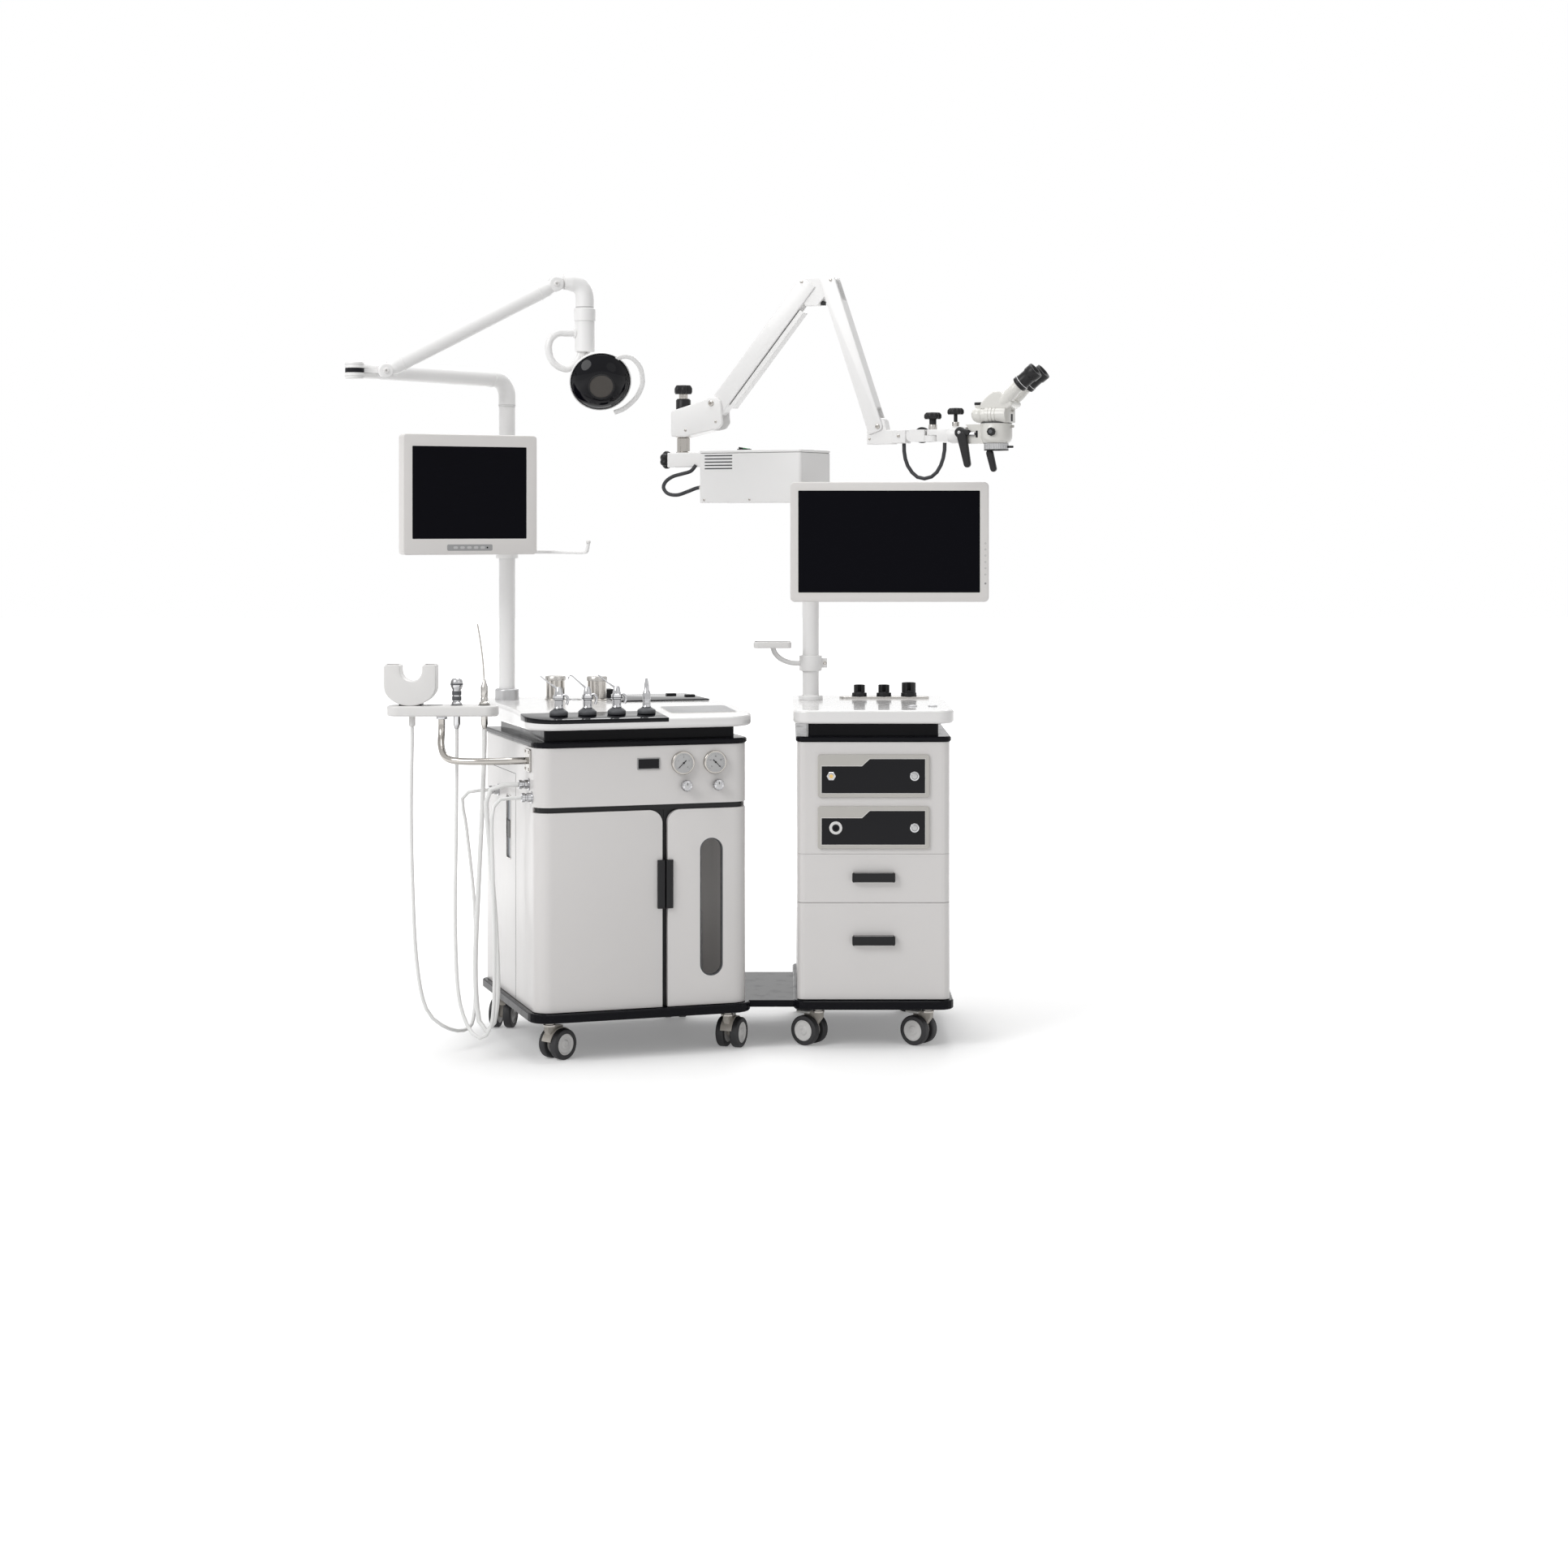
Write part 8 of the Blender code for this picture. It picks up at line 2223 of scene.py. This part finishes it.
@dataclass
class Casters:
    """Twin-wheel casters under both cabinets."""

    layout: Layout
    inset: float = 55.0
    trail: float = 27.0
    radius: float = 37.5
    top: float = 96.7
    treat_base: Pair = (563.0, 587.5)
    scope_base: Pair = (400.0, 575.0)
    scope_step: float = 8.0
    headings: tuple[tuple[str, tuple[float, ...]], ...] = (("treatment", (-60.0, -40.0, 150.0, 170.0)),
        ("scope", (55.0, 55.0, 120.0, 60.0)))

    def build(self) -> None:
        """Makes all eight casters."""
        treat = self.layout.turned(*self.layout.treat)
        scope = self.layout.turned(self.layout.scope_x, 0.0)
        near = self.inset
        wide, deep = (size - near for size in self.treat_base)
        half = self.scope_base[0] / 2 - near - self.scope_step
        rear = self.scope_base[1] - near
        spots = (((near, near), (wide, near), (near, deep), (wide, deep)),
                 ((-half, near), (half, near), (-half, rear), (half, rear)))
        for (prefix, headings), places, base in zip(self.headings, spots, (treat, scope)):
            for number, ((px, py), heading) in enumerate(zip(places, headings)):
                place = base @ Matrix.Translation((px, py, 0)) @ spin(heading)
                self.caster(prefix, number + 1, place, prefix == "scope" and number < 2)

    def caster(self, prefix: str, number: int, place: Matrix, brake: bool) -> None:
        """One caster.

        Args:
            prefix: Cabinet that it carries.
            number: Its number there.
            place: Frame of its swivel axis.
            brake: True where it has a brake lever.
        """
        wheels = f"{prefix}_caster_wheels_{number}"
        fork = f"{prefix}_caster_fork_{number}"
        bench = Bench(place, wheels, wheels)
        axle = Matrix.Translation((0, self.trail, self.radius)) @ spin(90, "Y")
        for side, (near, far) in (("left", (-29.5, -8.5)), ("right", (8.5, 29.5))):
            tread = [(26, near), (33.5, near)] + arc(33.5, near + 4, 4, 270, 360, 5)[1:]
            tread += arc(33.5, far - 4, 4, 0, 90, 5) + [(26, far)]
            bench.add(f"{wheels}_tyre_{side}", lathe(tread, 64, closed=True), TYRE, at=axle, smooth=50,
                      stands_for=[wheels] if side == "left" else ())
            sign = 1.0 if side == "right" else -1.0
            face = far if sign > 0 else -near
            inner = near if sign > 0 else -far
            turn = Matrix() if sign > 0 else Matrix.Rotation(math.pi, 4, "X")
            disc = [(0, inner), (26.2, inner), (26.2, face - 1.0), (24.0, face - 0.2), (21.0, face - 3.2),
                    (12.0, face - 3.2), (10.0, face - 0.8), (8.6, face - 0.2), (5.0, face - 0.2),
                    (4.4, face - 1.6), (0, face - 1.6)]
            bench.add(f"{wheels}_hub_{side}", lathe(disc, 64), HUB, at=axle @ turn, smooth=35)
        bench.add(wheels + "_axle", drum(5.0, -12, 12, 0.3, 32), POLISHED, at=axle)
        bench = Bench(place, fork, fork)
        top = self.top - 13.0
        lug = arc(self.trail, self.radius, 12.0, -162, 18, 16)
        outline = (lug + [(self.trail + 12, top - 2), (self.trail / 2, top + 2), (-12, top + 2),
                          (-12, top - 13)])
        web = bevelled(side_plate(outline, -7.5, 7.5), 1.4, 3, 40)
        hole = moved(drum(PIN_BORE, -30, 30, 0, 32), axle)
        bench.add(fork + "_web", cut(web, hole), BEIGE, stands_for=[fork])
        if not brake:
            hood = (arc(self.trail, self.radius, 41, 168, 39.2, 14)
                    + arc(self.trail, self.radius, 38.8, 39.2, 168, 14))
            hood = [(py, min(pz, self.top - 14.5)) for py, pz in hood]
            bench.add(fork + "_hood", side_plate(hood, -15, 15), BEIGE, 0.4, 2)
        bench.add(fork + "_stem",
                  lathe([(0, top - 1), (16, top - 1), (16, top + 3), (13, top + 4.4), (13, self.top),
                         (0, self.top)], 48), POLISHED)
        if brake:
            low = self.radius * 2 + 3.0
            lever = prism(rounded((-15, 15, self.trail - 7.5, self.trail + 34), 3, 9, 8), low, low + 6)
            bench.add(fork + "_lever", lever, PALE_RIM, 1.8, 4)
            for row in range(3):
                rib = prism(rounded((-11, 11, self.trail + 16 + row * 5, self.trail + 18 + row * 5), 0.9,
                                    0.9, 3), low + 5.6, low + 6.6)
                bench.add(f"{fork}_lever_rib_{row + 1}", rib, PALE_RIM)


@dataclass(frozen=True)
class Route:
    """Free cord: the places that its middle line passes, in metres, and how thick it is."""

    name: str
    body: str
    points: tuple[Triple, ...]
    radius: float
    spacing: float
    finish: Finish
    stiffness: str


class Hoses:
    """Three pale hoses at the cabinet's left side and the black cable at the microscope."""

    def __init__(self, layout: Layout) -> None:
        """Works out where each cord starts and ends.

        Args:
            layout: Frames of the sub-assemblies.
        """
        self.treat = layout.turned(*layout.treat)
        self.arm = layout.turned(*layout.arm)
        self.flat = layout.turned(0.0, 0.0)

    def hose(self, name: str, top: Point, fitting: Point, middle: Sequence[Point], radius: float) -> Route:
        """Route of one hose from a handpiece down and up to its fitting.

        Args:
            name: Its node.
            top: Its upper end, in metres.
            fitting: Place of its fitting.
            middle: Places between, in metres.
            radius: Its radius, in metres.

        Returns:
            The route.
        """
        x, y, z = top
        ends = [(x, y, z - 0.0003), (x, y, z - 0.0403)]
        out = 12.0 - 26.0 - GAP
        last = [self.treat @ Vector((out - 20.0, *fitting)), self.treat @ Vector((out, *fitting))]
        world = [self.flat @ (Vector(p) / MM) for p in (*ends, *middle)] + last
        return Route(name, "cabinets", tuple(tuple(p * MM) for p in world), radius, radius * 6, HOSE,
                     "medium")

    def routes(self) -> list[Route]:
        """Every cord of the unit.

        Returns:
            The routes.
        """
        ear = ((-0.918, -0.056, 0.600), (-0.914, -0.058, 0.420), (-0.904, -0.060, 0.230),
               (-0.880, -0.058, 0.110), (-0.830, -0.040, 0.060), (-0.790, 0.020, 0.046),
               (-0.780, 0.090, 0.070), (-0.782, 0.140, 0.170), (-0.790, 0.180, 0.340),
               (-0.812, 0.205, 0.520), (-0.822, 0.205, 0.606))
        water = ((-0.806, -0.064, 0.560), (-0.806, -0.084, 0.330), (-0.796, -0.106, 0.160),
                 (-0.768, -0.130, 0.078), (-0.732, -0.156, 0.058), (-0.704, -0.180, 0.110),
                 (-0.698, -0.192, 0.280), (-0.702, -0.196, 0.470), (-0.704, -0.190, 0.600),
                 (-0.690, -0.172, 0.636))
        suction = ((-0.742, -0.060, 0.620), (-0.750, -0.072, 0.420), (-0.756, -0.090, 0.220),
                   (-0.744, -0.112, 0.090), (-0.712, -0.134, 0.074), (-0.696, -0.140, 0.160),
                   (-0.700, -0.142, 0.320), (-0.716, -0.140, 0.520), (-0.724, -0.138, 0.630),
                   (-0.706, -0.135, 0.664))
        fibre = ((0.640, 1.5147), (0.640, 1.496), (0.648, 1.460), (0.671, 1.430), (0.698, 1.422),
                 (0.725, 1.432), (0.744, 1.460), (0.752, 1.492), (0.753, 1.5147))
        cable = tuple(tuple((self.arm @ Vector((x / MM, 0.0, z / MM))) * MM) for x, z in fibre)
        return [self.hose("ear_cup_hose", (-0.916, -0.054, 0.806), (434.0, 623.5), ear, 0.0045),
                self.hose("irrigator_hose", (-0.806, -0.054, 0.800), (60.0, 640.0), water, 0.0045),
                self.hose("suction_hose", (-0.738, -0.054, 0.800), (92.0, 669.0), suction, 0.006),
                Route("front_fibre_cable", "microscope_end_bracket", cable, 0.005, 0.02, BLACK_SHEATH,
                      "stiff")]

    def build(self) -> None:
        """Makes every cord as a tube along its route and hides the cord's solid."""
        for route in self.routes():
            path = smooth_route(route.points, route.spacing)
            lead = (Vector(route.points[1]) - Vector(route.points[0])).normalized() * route.radius
            tail = (Vector(route.points[-2]) - Vector(route.points[-1])).normalized() * route.radius
            path = [path[0], path[0] + lead] + path[1:-1] + [path[-1] + tail, path[-1]]
            curve = bpy.data.curves.new(route.name + "_looks", "CURVE")
            curve.dimensions = "3D"
            curve.bevel_depth = route.radius
            curve.bevel_resolution = 5
            curve.use_fill_caps = True
            line = curve.splines.new("POLY")
            line.points.add(len(path) - 1)
            for spot, point in zip(line.points, path):
                spot.co = (*point, 1.0)
            line.use_smooth = True
            piece = shown(route.name + "_looks", curve)
            curve.materials.append(route.finish.material())
            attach(piece, route.body)
            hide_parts(route.name)


@dataclass
class Studio:
    """Camera, light and pale floor."""

    layout: Layout
    camera: Triple = (0.0, -6650.0, 1305.0)
    lens: float = 61.49
    shift: float = -0.166
    ambient: float = 0.43
    paint: Triple = (0.86, 0.86, 0.86)
    clear: Pair = (1.2, 3.2)
    shade: float = 0.22
    lamps: tuple[Source, ...] = (("key", (-3.2, -3.2, 3.8), 1.2, 2.8, 122.0),
                                 ("fill", (3.2, -3.6, 3.4), 1.2, 3.0, 11.0),
                                 ("rim", (0.4, 3.0, 3.4), 1.2, 2.6, 50.0),
                                 ("overhead", (0.0, 0.2, 4.6), 1.0, 3.0, 70.0))

    def build(self) -> None:
        """Sets the view, the lights and the floor."""
        scene = bpy.context.scene
        data = bpy.data.cameras.new("camera")
        data.lens = self.lens
        data.sensor_width = 36.0
        data.shift_y = self.shift
        data.clip_end = 100.0
        view = shown("camera", data)
        view.location = (self.layout.world() @ Vector(self.camera)) * MM
        view.rotation_euler = (math.radians(90), 0.0, 0.0)
        scene.camera = view
        scene.view_settings.view_transform = "Standard"
        self.sky(scene)
        for lamp in self.lamps:
            self.lamp(*lamp)
        self.floor()

    def lamp(self, name: str, at: Point, aim: float, size: float, power: float) -> None:
        """Adds one large soft light that points at the unit.

        Args:
            name: Name of the light.
            at: Its place, in metres.
            aim: Height that it points at.
            size: Its diameter.
            power: Its power, in watts.
        """
        data = bpy.data.lights.new(name, "AREA")
        data.shape = "DISK"
        data.size = size
        data.energy = power
        item = shown(name, data)
        item.location = at
        item.rotation_euler = (Vector((0.0, 0.0, aim)) - Vector(at)).to_track_quat("-Z", "Y").to_euler()

    def sky(self, scene: bpy.types.Scene) -> None:
        """Even pale surroundings that look white to the camera.

        Args:
            scene: Scene that gets them.
        """
        world = bpy.data.worlds.new("surroundings")
        scene.world = world
        world.use_nodes = True
        tree = world.node_tree
        shade = tree.nodes["Background"]
        shade.inputs["Color"].default_value = (1.0, 1.0, 1.0, 1.0)
        level = maths(tree, "ADD", maths(tree, "MULTIPLY", seen(tree), 1.0 - self.ambient), self.ambient)
        tree.links.new(level, shade.inputs["Strength"])

    def floor(self) -> None:
        """Near-white floor that keeps the shadow."""
        mesh = bpy.data.meshes.new("floor")
        half = 30.0
        mesh.from_pydata([(-half, -half, 0), (half, -half, 0), (half, half, 0), (-half, half, 0)], [],
                         [(0, 1, 2, 3)])
        made = bpy.data.materials.new("floor_paint")
        made.use_nodes = True
        tree = made.node_tree
        shader = tree.nodes["Principled BSDF"]
        tone = placed(tree, tone_group(), Color=(*self.paint, 1.0), Roughness=0.7, Amount=0.004)
        tree.links.new(tone.outputs["Color"], shader.inputs["Base Color"])
        tree.links.new(tone.outputs["Roughness"], shader.inputs["Roughness"])
        spot = tree.nodes.new("ShaderNodeTexCoord")
        length = tree.nodes.new("ShaderNodeVectorMath")
        length.operation = "LENGTH"
        tree.links.new(spot.outputs["Object"], length.inputs[0])
        ramp = tree.nodes.new("ShaderNodeMapRange")
        ramp.interpolation_type = "SMOOTHSTEP"
        near, far = self.clear
        for label, value in (("From Min", near), ("From Max", far), ("To Min", self.shade),
                             ("To Max", 1.0)):
            ramp.inputs[label].default_value = value
        tree.links.new(length.outputs["Value"], ramp.inputs["Value"])
        glow = maths(tree, "MULTIPLY", seen(tree), ramp.outputs["Result"])
        shader.inputs["Emission Color"].default_value = (1.0, 1.0, 1.0, 1.0)
        tree.links.new(glow, shader.inputs["Emission Strength"])
        shader.inputs["Specular IOR Level"].default_value = 0.2
        mesh.materials.append(made)
        item = shown("floor", mesh)


def main() -> None:
    """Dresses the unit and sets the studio."""
    logging.basicConfig(level=logging.INFO, format="%(message)s")
    layout = Layout()
    for part in (ScopeCabinet(layout), PoleGear(layout), LightBox(layout), MicroscopeArm(layout),
                 Microscope(layout), TreatmentCabinet(layout), Lamp(layout), PatientMonitor(layout),
                 ToolRack(layout), Casters(layout), Hoses(layout), Studio(layout)):
        LOG.info("building %s", type(part).__name__)
        part.build()
    bpy.context.view_layer.update()


if __name__ == "__main__":
    main()
